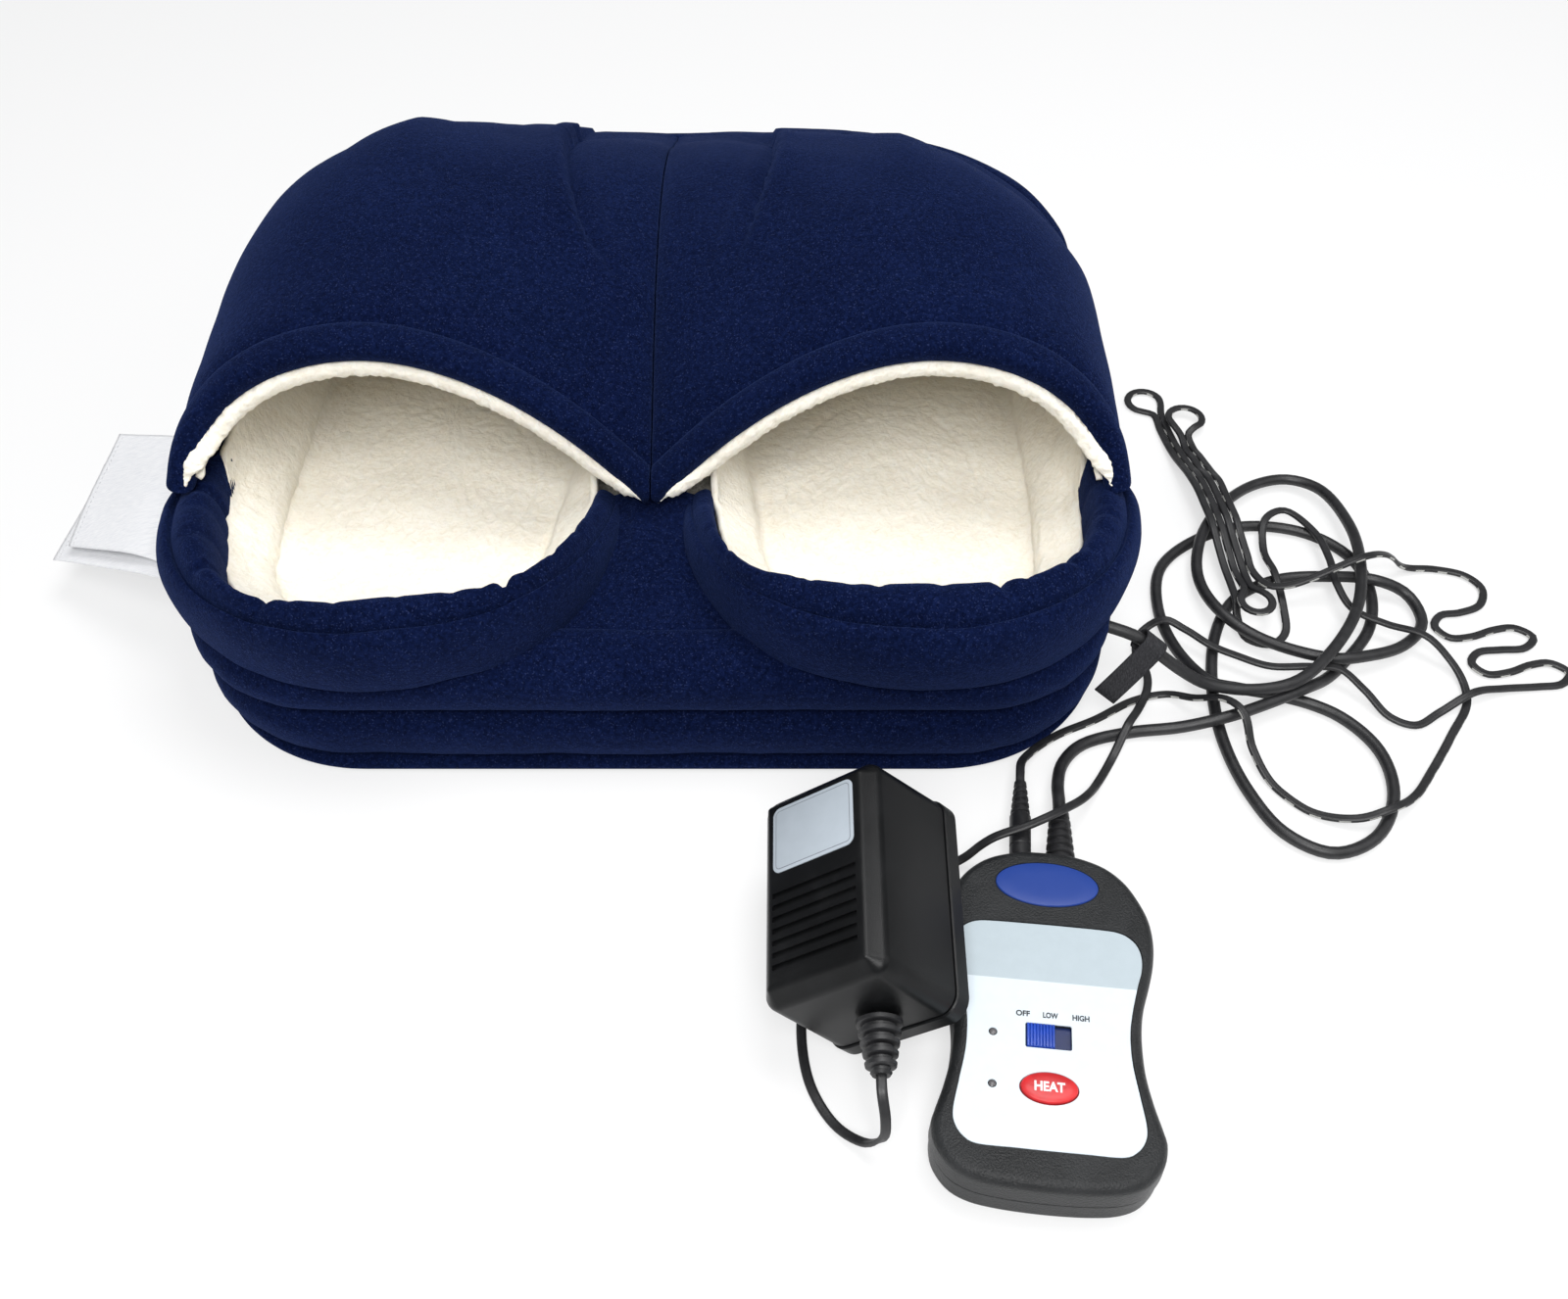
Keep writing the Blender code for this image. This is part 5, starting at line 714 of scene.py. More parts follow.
PLUG_LEAD_ROUTE = (
    (0.144, -0.17, 0.01), (0.15, -0.16, 0.0055), (0.162, -0.149, 0.0021), (0.178, -0.141, 0.0018),
    (0.195, -0.131, 0.0018), (0.209, -0.128, 0.0024), (0.219, -0.135, 0.008), (0.228, -0.14, 0.0132),
    (0.2335, -0.148, 0.0146), (0.237, -0.159, 0.006), (0.243, -0.174, 0.0018), (0.255, -0.187, 0.0018),
    (0.27, -0.1925, 0.0052), (0.283, -0.1905, 0.0086), (0.295, -0.182, 0.0052), (0.307, -0.167, 0.0018),
    (0.32, -0.149, 0.0018), (0.3315, -0.131, 0.0018), (0.331, -0.116, 0.004), (0.32, -0.104, 0.0104),
    (0.306, -0.095, 0.0088), (0.294, -0.086, 0.0086), (0.29, -0.072, 0.0098), (0.291, -0.056, 0.009),
    (0.289, -0.037, 0.0076), (0.279, -0.023, 0.0074), (0.269, -0.029, 0.0076), (0.2655, -0.046, 0.0044),
    (0.266, -0.063, 0.0074), (0.267, -0.079, 0.004), (0.265, -0.094, 0.0018), (0.257, -0.1, 0.0018),
    (0.248, -0.096, 0.0018), (0.2452, -0.087, 0.0058), (0.2458, -0.08, 0.0075))
ADAPTER_LEAD_ROUTE = (
    (0.261, -0.0725, 0.009), (0.268, -0.0745, 0.0106), (0.277, -0.073, 0.013), (0.289, -0.07, 0.0174),
    (0.301, -0.066, 0.0198), (0.313, -0.06, 0.015), (0.326, -0.056, 0.004), (0.34, -0.055, 0.0018),
    (0.352, -0.059, 0.0018), (0.357, -0.067, 0.0018), (0.353, -0.077, 0.0018), (0.343, -0.0815, 0.0018),
    (0.3345, -0.083, 0.0018), (0.33, -0.0895, 0.0018), (0.3345, -0.096, 0.0018), (0.344, -0.0955, 0.0018),
    (0.355, -0.0915, 0.0018), (0.364, -0.0905, 0.0018), (0.37, -0.096, 0.0018), (0.3645, -0.102, 0.0018),
    (0.354, -0.103, 0.0018), (0.344, -0.1045, 0.0018), (0.3395, -0.1105, 0.0018), (0.344, -0.1165, 0.0018),
    (0.354, -0.1155, 0.0018), (0.364, -0.1115, 0.0018), (0.3725, -0.1105, 0.0018),
    (0.3785, -0.116, 0.0018), (0.3735, -0.122, 0.0018), (0.363, -0.1235, 0.0018), (0.348, -0.1255, 0.003),
    (0.333, -0.1305, 0.0064), (0.318, -0.138, 0.0026), (0.307, -0.144, 0.0018), (0.297, -0.14, 0.0026),
    (0.289, -0.129, 0.006), (0.28, -0.1205, 0.009), (0.268, -0.1195, 0.0094), (0.252, -0.118, 0.0082),
    (0.24, -0.112, 0.0078), (0.23, -0.106, 0.0078), (0.221, -0.098, 0.0084), (0.212, -0.092, 0.0084),
    (0.203, -0.095, 0.003), (0.2, -0.105, 0.0018), (0.202, -0.118, 0.004), (0.2, -0.129, 0.006),
    (0.195, -0.139, 0.0062), (0.189, -0.149, 0.0082), (0.182, -0.161, 0.003), (0.174, -0.175, 0.005),
    (0.166, -0.188, 0.012), (0.155, -0.199, 0.0188), (0.142, -0.206, 0.0192), (0.129, -0.209, 0.0155),
    (0.118, -0.211, 0.005), (0.105, -0.216, 0.0018), (0.09, -0.225, 0.0018), (0.075, -0.235, 0.0018),
    (0.065, -0.248, 0.0018), (0.0595, -0.264, 0.0018), (0.058, -0.282, 0.0018), (0.061, -0.3, 0.0018),
    (0.069, -0.314, 0.0022), (0.078, -0.3215, 0.006), (0.0835, -0.324, 0.014), (0.084, -0.3225, 0.023))
CABLE_RADIUS = 0.0025
LEAD_RADIUS = 0.0016
BAND_THICKNESS = 0.0040
HANK_FOOT = Vector((0.2518, -0.0740, 0.0))
HANK_HEAD = Vector((0.2380, 0.0560, 0.0))
HANK_PITCH = 0.0038
HANK_RUNS = 4
HANK_FOLD_RADII = (0.0080, 0.0066, 0.0080)
HANK_STAGGER = 0.0190
HANK_RISES = (0.0, 0.10, 0.20, 0.29, 0.38, 0.48, 0.62, 0.78, 0.92)
HANK_HEIGHTS = (0.0070, 0.0078, 0.0100, 0.0129, 0.0131, 0.0129, 0.0080, 0.0030, 0.0018)
HANK_LEANS = (math.radians(30.0), 0.0, math.radians(-25.0))
HANK_FOLD_LIFTS = (0.0, 0.0040, 0.0036)
HANK_FOLD_POINTS = 10
HANK_RUN_POINTS = 11

CORD_LOOK_RADIUS = 0.00245
CORD_STEP = 0.0035
CORD_STUB = 0.005
CORD_TIP = (0.0064, 0.0878, 0.0113)
LEAD_STEP = 0.0021
LEAD_SINK = 0.0007
WIRE_RADIUS = 0.00088
PLUG_TIP = (-0.0082, 0.1005, 0.0113)
ADAPTER_TIP = (0.0030, -0.0590, -0.0050)
STRIPE_PITCH = 0.0105
STRIPE_DASH = 0.0042
STRIPE_START = 0.35

CONTROL = Matrix.Translation((0.1400, -0.2816, 0.0)) @ Matrix.Rotation(math.radians(-6.0), 4, "Z")
ADAPTER_FRAME = (Matrix.Translation((0.0772, -0.2525, 0.0386)) @ Matrix.Rotation(math.radians(5.0), 4, "X")
                 @ Matrix.Rotation(math.radians(-40.0), 4, "Y"))


def smooth_route(points, step, floor):
    """Evenly spaced points along a smooth curve through a route's own points, none lower than a floor."""
    spots = [Vector(point) for point in points]
    spots = [spots[0] * 2 - spots[1]] + spots + [spots[-1] * 2 - spots[-2]]
    fine = []
    for before, start, end, after in zip(spots, spots[1:], spots[2:], spots[3:]):
        gaps = [max((b - a).length, 0.0001) ** 0.5 for a, b in ((before, start), (start, end), (end, after))]
        first, second, third = gaps
        lead = ((start - before) / first - (end - before) / (first + second)
                + (end - start) / second) * second
        trail = ((end - start) / second - (after - start) / (second + third)
                 + (after - end) / third) * second
        for i in range(12):
            t = i / 12
            fine.append(start * (2 * t ** 3 - 3 * t ** 2 + 1) + lead * (t ** 3 - 2 * t ** 2 + t)
                        + end * (3 * t ** 2 - 2 * t ** 3) + trail * (t ** 3 - t ** 2))
    fine.append(spots[-2])
    fine = np.array(fine)
    reach = reach_along(fine)
    goals = np.linspace(0.0, reach[-1], max(2, round(reach[-1] / step)) + 1)
    even = np.stack([np.interp(goals, reach, fine[:, k]) for k in range(3)], axis=1)
    even[:, 2] = np.maximum(even[:, 2], floor)
    return even


def hank_height(along):
    pairs = list(zip(HANK_RISES, HANK_HEIGHTS))
    for (low, low_height), (high, high_height) in zip(pairs, pairs[1:]):
        if along <= high:
            part = max(0.0, (along - low) / (high - low))
            return low_height + (high_height - low_height) * part * part * (3 - 2 * part)
    return pairs[-1][1]


def hank_spot(distance, across):
    span = HANK_HEAD - HANK_FOOT
    axis = span.normalized()
    spot = HANK_FOOT + axis * distance + Vector((axis.y, -axis.x, 0.0)) * across
    return Vector((spot.x, spot.y, hank_height(distance / span.length)))


def hank_fold(distance, across, radius, lean, lift, up):
    half = HANK_PITCH / 2
    open_angle = math.asin(half / radius)
    rise = math.sqrt(radius * radius - half * half)
    spots = []
    for i in range(1, HANK_FOLD_POINTS + 1):
        angle = open_angle + (2 * math.pi - 2 * open_angle) * i / (HANK_FOLD_POINTS + 1)
        x, y = -radius * math.sin(angle), rise - radius * math.cos(angle)
        turned_x = x * math.cos(lean) - y * math.sin(lean)
        turned_y = x * math.sin(lean) + y * math.cos(lean)
        spot = hank_spot(distance + (turned_y if up else -turned_y), across + turned_x)
        spot.z += lift
        spots.append(spot)
    return spots


def hank_route():
    """Up, down, up and down again, with a fold between each two runs."""
    length = (HANK_HEAD - HANK_FOOT).length
    turns = (length, -HANK_PITCH, length - HANK_STAGGER)
    lifts = (0.0,) + HANK_FOLD_LIFTS + (0.0,)
    spots = []
    for run in range(HANK_RUNS):
        across = (run - (HANK_RUNS - 1) / 2) * HANK_PITCH
        up = run % 2 == 0
        margin = HANK_PITCH if up else -HANK_PITCH
        start = turns[run - 1] + margin if run else HANK_PITCH
        stop = turns[run] - margin if run < HANK_RUNS - 1 else HANK_PITCH * 3
        line = [hank_spot(start + (stop - start) * i / HANK_RUN_POINTS, across)
                for i in range(HANK_RUN_POINTS + 1)]
        line[0].z += lifts[run] / 2
        line[-1].z += lifts[run + 1] / 2
        spots += line
        if run < HANK_RUNS - 1:
            spots += hank_fold(turns[run], across + HANK_PITCH / 2, HANK_FOLD_RADII[run], HANK_LEANS[run],
                               HANK_FOLD_LIFTS[run], up)
    return spots


def tube_piece(name, path, radius, look, sides=14, flat=1.0, **claims):
    return loft(name, tube(path, radius, sides, flat), look, **claims)


def heater_cable():
    """The round cable from the warmer's right side to the guard in the controller."""
    start, ahead = Vector(CABLE_ROUTE[0]), Vector(CABLE_ROUTE[1])
    inner = start + (start - ahead).normalized() * BAND_THICKNESS * 1.3
    tip = CONTROL @ Vector(CORD_TIP)
    toward = (CONTROL.to_3x3() @ Vector((0.0, 1.0, 0.0))).normalized()
    route = [inner] + [Vector(p) for p in CABLE_ROUTE] + [tip + toward * CORD_STUB, tip - toward * 0.004]
    path = smooth_route(route, CORD_STEP, CABLE_RADIUS - 0.0001)
    cable = tube_piece("heater_cord", path, CORD_LOOK_RADIUS, RUBBER, 18, nodes=("heater_cable",),
                       slot="cord_rubber")


def supply_lead():
    """The flat twin lead, from the adapter's relief through its hank to the plug in the controller."""
    plug_tip = CONTROL @ Vector(PLUG_TIP)
    toward = (CONTROL.to_3x3() @ Vector((0.0, 1.0, 0.0))).normalized()
    relief_tip = ADAPTER_FRAME @ Vector(ADAPTER_TIP)
    outward = (ADAPTER_FRAME.to_3x3() @ Vector((0.0, -1.0, 0.0))).normalized()
    route = ([plug_tip - toward * 0.002, plug_tip + toward * CORD_STUB] + [Vector(p) for p in PLUG_LEAD_ROUTE]
             + hank_route() + [Vector(p) for p in ADAPTER_LEAD_ROUTE]
             + [relief_tip + outward * CORD_STUB, relief_tip - outward * 0.002])
    path = smooth_route(route, LEAD_STEP, LEAD_RADIUS)
    low = np.minimum(LEAD_SINK, np.maximum(0.0, path[:, 2] - 0.00092))
    path[:, 2] -= low * (path[:, 2] < 0.0100) * ease(path[:, 2], 0.0110, 0.0060)
    path = path[::-1]
    rings = twin_rings(path)
    lead = loft("supply_lead", rings, RUBBER, slot="cord_rubber",
                nodes=("supply_lead_plug_end", "supply_lead_hank", "supply_lead_adapter_end"))
    lead.data.materials.append(LEAD_STRIPE)
    reach = reach_along(path)
    columns = rings.shape[1]
    for index in range((rings.shape[0] - 1) * columns):
        row, column = divmod(index, columns)
        dash = (reach[row] % STRIPE_PITCH) < STRIPE_DASH
        if dash and column in (2, 3) and reach[row] > STRIPE_START:
            lead.data.polygons[index].material_index = 1
    return lead, path, relief_tip


def twin_rings(path, half=WIRE_RADIUS):
    """Rings of two round wires side by side, lying flat."""
    path = np.asarray(path)
    base = tube(path, 1.0, 4, 0.9999)
    side = unit_rows(base[:, 0] - path)
    up = unit_rows(base[:, 1] - path)
    outline = []
    for centre, start, stop in ((half, -115.0, 115.0), (-half, 65.0, 295.0)):
        for k in range(7):
            angle = math.radians(start + (stop - start) * k / 6)
            outline.append((centre + half * math.cos(angle), half * math.sin(angle)))
    return np.array([[spot + s * a + u * b for a, b in outline] for spot, s, u in zip(path, side, up)])


heater_cable()
LEAD, LEAD_PATH, RELIEF_TIP = supply_lead()


# Shared outlines of the warmer, right foot, as shares of its half width and half depth
LIP_OUTER = ((0.064, -0.471), (0.080, -0.612), (0.118, -0.741), (0.193, -0.859), (0.299, -0.941),
             (0.460, -0.994), (0.631, -1.000), (0.791, -0.941), (0.922, -0.826), (0.996, -0.672),
             (1.010, -0.506))
LIP_INNER = ((0.128, -0.447), (0.144, -0.571), (0.182, -0.688), (0.246, -0.788), (0.342, -0.853),
             (0.481, -0.876), (0.620, -0.876), (0.743, -0.841), (0.840, -0.759), (0.898, -0.635),
             (0.914, -0.494))
TOE = ((0.920, -0.235), (0.914, 0.059), (0.888, 0.353), (0.802, 0.618), (0.652, 0.794),
       (0.460, 0.847), (0.267, 0.800), (0.139, 0.647), (0.096, 0.412), (0.091, 0.118), (0.096, -0.176))
LIP_CREST_SHARES = (0.42, 0.72, 0.93, 1.0, 1.0, 1.0, 1.0, 1.0, 1.0, 0.97, 0.86, 0.76)
HOOD_ROWS = (
    (0.984, -0.565, -0.376, -0.541, 0.555, 0.839, 0.510),
    (0.989, -0.488, -0.300, -0.471, 0.555, 0.871, 0.555),
    (0.995, -0.206, -0.047, -0.147, 0.555, 0.929, 0.748),
    (0.995, 0.088, 0.165, 0.118, 0.555, 0.961, 0.832),
    (0.973, 0.353, 0.353, 0.353, 0.555, 0.981, 0.890),
    (0.920, 0.576, 0.559, 0.559, 0.555, 0.916, 0.852),
    (0.791, 0.782, 0.735, 0.741, 0.555, 0.794, 0.761),
    (0.631, 0.924, 0.894, 0.894, 0.555, 0.671, 0.645),
    (0.560, 0.955, 0.968, 0.976, 0.553, 0.590, 0.585),
    (0.556, 0.960, 0.976, 0.986, 0.552, 0.550, 0.550))
HOOD_COLUMNS = (1.0, 0.990, 0.955, 0.870, 0.735, 0.560, 0.385, 0.235, 0.105, 0.0)
RISES = (0.0, 0.20, 0.46, 0.74, 0.94, 1.0)
FALLS = (1.0, 0.86, 0.62, 0.32, 0.0)
CROWN = 5
DARTS = {1: ((0.0478, 0.112), (0.0478, 0.067), (0.0420, 0.029), (0.0352, -0.0056), (0.0310, -0.0205)),
         -1: ((0.0425, 0.112), (0.0425, 0.077), (0.0357, 0.033), (0.0266, 0.0033), (0.0195, -0.007),
              (0.0100, -0.0250))}


def on_warmer(shares):
    return np.array([(x * HALF_WIDTH, y * HALF_DEPTH) for x, y in shares])


def hood_net():
    net = np.zeros((len(HOOD_ROWS), len(HOOD_COLUMNS), 3))
    for i, (half, y_edge, y_crown, y_mid, z_edge, z_crown, z_mid) in enumerate(HOOD_ROWS):
        for j, across in enumerate(HOOD_COLUMNS):
            share = RISES[j] if j <= CROWN else FALLS[j - CROWN]
            y_end, z_end = (y_edge, z_edge) if j <= CROWN else (y_mid, z_mid)
            net[i, j] = (half * across * HALF_WIDTH, (y_end + (y_crown - y_end) * share) * HALF_DEPTH,
                         (z_end + (z_crown - z_end) * share) * HEIGHT)
    return net


HOOD_NET = hood_net()


def hood_grid(rows, columns):
    """Points of the hood's outer face, right half, on a grid of rows and columns."""
    across = bspline_weights(columns, len(HOOD_COLUMNS))
    along = bspline_weights(rows, len(HOOD_ROWS))
    return np.einsum("ri,cj,ijk->rck", along, across, HOOD_NET)


# How far the empty hood's back has settled, by the distance from the middle, as the photograph shows
SLUMPS = {
    -1: ((0.0, 0.0082), (0.030, 0.0076), (0.046, 0.0078), (0.071, 0.0088), (0.097, 0.0066), (0.110, 0.0036),
         (0.123, 0.0048), (0.139, 0.0066), (0.149, 0.0060), (0.165, 0.0044), (0.190, 0.0036)),
    1: ((0.0, 0.0082), (0.030, 0.0090), (0.052, 0.0108), (0.081, 0.0132), (0.104, 0.0108), (0.122, 0.0146),
        (0.148, 0.0164), (0.170, 0.0172), (0.190, 0.0110))}


def settled(spots, side):
    """The hood's points with its back let down."""
    across, drop = np.array(SLUMPS[side]).T
    drop = np.interp(spots[..., 0], across, drop)
    drop = drop * ease(spots[..., 1], 0.0, 0.090) * ease(spots[..., 2], 0.086, 0.120)
    inward = drop * 0.55 * ease(spots[..., 0], 0.09, 0.17)
    return spots - np.stack([inward, drop * 0.60, drop * 0.85], axis=-1)


def hood_frame(rows, columns, side):
    """The hood's points with their outward normals."""
    def at(row_step, column_step):
        return settled(hood_grid(np.clip(np.asarray(rows) + row_step, 0, 9),
                                 np.clip(np.asarray(columns) + column_step, 0, 9)), side)

    step = 0.02
    normal = np.cross(at(step, 0.0) - at(-step, 0.0), at(0.0, step) - at(0.0, -step))
    normal /= np.maximum(np.linalg.norm(normal, axis=2, keepdims=True), 1e-9)
    if normal[..., 2].mean() < 0:
        normal = -normal
    return settled(hood_grid(rows, columns), side), normal


def from_line(spots, line):
    """Signed distance in plan to a line of points, positive on its far side from the middle, and the place
    along it from its back end, 0, to its front end, 1."""
    line = even_spline(np.asarray(line), 60)
    flat = spots[..., :2].reshape(-1, 2)
    gaps = np.linalg.norm(flat[:, None] - line[None], axis=2)
    nearest = gaps.argmin(1)
    ahead = unit_rows(np.gradient(line, axis=0)[nearest])
    away = flat - line[nearest]
    side = np.sign(away[:, 0] * -ahead[:, 1] + away[:, 1] * ahead[:, 0])
    place = nearest / (len(line) - 1)
    return (gaps.min(1) * side).reshape(spots.shape[:-1]), place.reshape(spots.shape[:-1])


# Thicknesses of the covers, and the hood's front row, which the hem hides
HOOD_FRONT = 0.46
HOOD_THICKNESS = 0.0070
LINING_THICKNESS = 0.0028
BAND_THICKNESS_SHOWN = 0.0034
PANEL_THICKNESS = 0.0060
PILE_THICKNESS = 0.0026
BASE_THICKNESS = 0.0012
SEAM_GAP = 0.0002


def hood(side, word):
    """The hood's cover: a dart from the back, the seam in the middle, and slack, under the hem in front."""
    rows = np.concatenate([np.linspace(HOOD_FRONT, 7.6, 126), np.linspace(7.66, 9.0, 24)])
    columns = np.concatenate([np.linspace(0.0, 1.0, 12), np.linspace(1.08, 9.0, 108)])
    spots, normal = hood_frame(rows, columns, side)
    distance, place = from_line(spots, DARTS[side])
    strength = ease(place, 1.0, 0.50)
    inner = ease(distance, 0.0016, -0.0016)
    recover = 0.35 + 0.65 * np.exp(-(np.minimum(distance, 0.0) / 0.020) ** 2)
    swell = np.exp(-((distance - 0.0055) / 0.0042) ** 2)
    tucked = np.exp(-((distance + 0.0006) / 0.0016) ** 2)
    lift = strength * (0.0018 * swell - 0.0058 * inner * recover - 0.0034 * tucked)
    middle = spots[..., 0].copy()
    seam = np.exp(-(middle / 0.0032) ** 2)
    lift -= 0.0018 * seam * ease(spots[..., 1], -0.085, -0.06)
    under_hem = (rows[:, None] - HOOD_FRONT) / 0.42
    lift -= 0.0046 * np.exp(-(under_hem * 1.05) ** 2)
    edge = ease(columns[None, :], 0.0, 0.5)
    soft = rough_on(spots * (side, 1, 1), 0.055, 3.0)
    small = rough_on(spots * (side, 1, 1), 0.020, 7.0)
    lift = lift + (0.0011 * soft + 0.00035 * small) * edge
    fan = np.exp(-((distance + 0.0080) / 0.0035) ** 2) * ease(place, 0.1, 0.35) * ease(place, 1.0, 0.75)
    lift += 0.0011 * fan - 0.0010 * np.exp(-((spots[..., 1] - 0.150) / 0.010) ** 2) * edge
    spots = spots + normal * lift[..., None]
    spots[..., 0] -= spots[:, -1:, 0] * np.exp(-(middle / 0.010) ** 2)
    spots[..., 0] = np.maximum(spots[..., 0], SEAM_GAP)
    spots[..., 0] *= side
    cover = piece(word + "_hood_cover", spots.reshape(-1, 3), sheet_faces(*spots.shape[:2]), NAVY,
                  nodes=(word + "_hood",), slot="navy_fleece")
    face_up(cover)
    wide = len(columns)
    total = len(cover.data.vertices)
    dart = set(np.nonzero(np.abs(distance.ravel()) < 0.004)[0].tolist())
    rim = {i for i in range(total) if i < wide * 2 or i >= total - wide or i % wide in (0, 1, wide - 1)}
    inflate(cover, rim | dart, pressure=3.0, frames=14, cap=0.0030)
    thicken(cover, HOOD_THICKNESS)


def rolled(name, columns, look, width, thick, sink, ahead, side, bumps=0.0, steps=28, taper=0.0, **claims):
    """A padded roll along the hood's front edge. width lies along the hood, thick across it, and taper
    draws in both its ends."""
    spots, normal = hood_frame([0.0, 0.6], columns, side)
    front, normal = spots[0], normal[0]
    back = unit_rows(spots[1] - front)
    back -= normal * (back * normal).sum(1, keepdims=True)
    back = unit_rows(back)
    reach = reach_along(front)
    tip = np.minimum(reach, reach[-1] - reach)
    rings = []
    for i in range(len(front)):
        swell = 1.0 + bumps * (0.5 * math.sin(reach[i] / 0.011 + 2.0 * math.sin(reach[i] / 0.037))
                               + 0.5 * noise.noise(Vector((reach[i] / 0.008, side * 2.0, 0.0))))
        slim = 1.0 - taper * (1.0 - float(ease(tip[i], 0.0, 0.012)))
        depth = sink * (1.0 - 0.55 * taper * (1.0 - float(ease(tip[i], 0.0, 0.028))))
        rings.append([front[i] + back[i] * (ahead + width / 2 + a * width * slim / 2)
                      + normal[i] * (-depth + b * thick * slim / 2 * swell)
                      for a, b in squarish(steps, 0.75, 0.85)])
    rings = np.array(rings)
    rings[..., 0] = np.maximum(rings[..., 0], 0.0003) * side
    return loft(name, rings, look, **claims)


def hem(side, word):
    """The padded hem round the hood's front, and the pile binding inside it."""
    columns = np.concatenate([np.linspace(0.0, 1.2, 26), np.linspace(1.26, 9.0, 120)])
    roll = rolled(word + "_hem_roll", columns, NAVY, 0.0150, 0.0108, 0.0040, -0.0022, side, bumps=0.030,
                  nodes=(word + "_hem_band",), slot="navy_fleece")
    columns = np.concatenate([np.linspace(0.25, 1.2, 30), np.linspace(1.24, 9.0, 260)])
    trim = rolled(word + "_sherpa_edge", columns, CREAM, 0.0072, 0.0068, 0.0112, -0.0046, side, bumps=0.08,
                  steps=20, taper=0.82, nodes=(word + "_sherpa_binding",), slot="cream_sherpa")
    pile_out(trim, 0.00075, 0.0021, side)


def lining(side, word):
    """The pile lining under the hood."""
    spots, normal = hood_frame(np.linspace(0.12, 6.6, 90), np.linspace(0.35, 8.75, 84), side)
    spots = spots - normal * 0.0118
    spots[..., 2] = np.maximum(spots[..., 2], 0.0835)
    spots[..., 0] = np.maximum(spots[..., 0], 0.0150) * side
    item = piece(word + "_pile_lining", spots.reshape(-1, 3), sheet_faces(*spots.shape[:2]), CREAM,
                 nodes=(word + "_hood_lining",), slot="cream_sherpa")
    face_up(item)
    pile_out(item, 0.0007, 0.0036, side)
    thicken(item, LINING_THICKNESS, 1.0)


LIP_PROFILE = ((0.10, -0.02), (0.02, 0.03), (-0.060, 0.20), (-0.105, 0.40), (-0.095, 0.58), (-0.035, 0.735),
               (0.060, 0.835), (0.150, 0.868), (0.205, 0.845), (0.240, 0.785), (0.278, 0.868), (0.390, 0.972),
               (0.540, 1.035), (0.690, 1.045), (0.815, 0.995), (0.915, 0.880), (0.980, 0.710), (1.0, 0.520),
               (0.985, 0.330), (0.950, 0.150), (0.92, 0.03))
LIP_SEAM = 9
LIP_FOOT = 0.0528
LIP_TOPS = {-1: 0.0872 - 0.0015, 1: 0.0872}
LIP_BACK = (0.1777, -0.066)
# Inner edge of each lip, as it shows in the photograph, and the places of its puckers along it
LIP_EDGES = {
    -1: ((0.0240, -0.076), (0.0262, -0.095), (0.0345, -0.1250), (0.0460, -0.1400), (0.0600, -0.1455),
         (0.0895, -0.1490), (0.1130, -0.1520), (0.1360, -0.1515), (0.1530, -0.1380), (0.1620, -0.1180),
         (0.1690, -0.084), (0.1690, -0.064)),
    1: ((0.0240, -0.076), (0.0252, -0.095), (0.0290, -0.1200), (0.0400, -0.1370), (0.0620, -0.1420),
        (0.0900, -0.1435), (0.1180, -0.1430), (0.1420, -0.1395), (0.1590, -0.1270), (0.1680, -0.1060),
        (0.1700, -0.084), (0.1700, -0.064))}
LIP_PUCKERS = {-1: ((0.20, 0.7), (0.285, 2.1), (0.60, 1.7), (0.72, 1.5), (0.90, 1.2)),
               1: ((0.20, 1.0), (0.34, 0.4), (0.60, 1.4), (0.71, 1.1), (0.83, 0.7))}


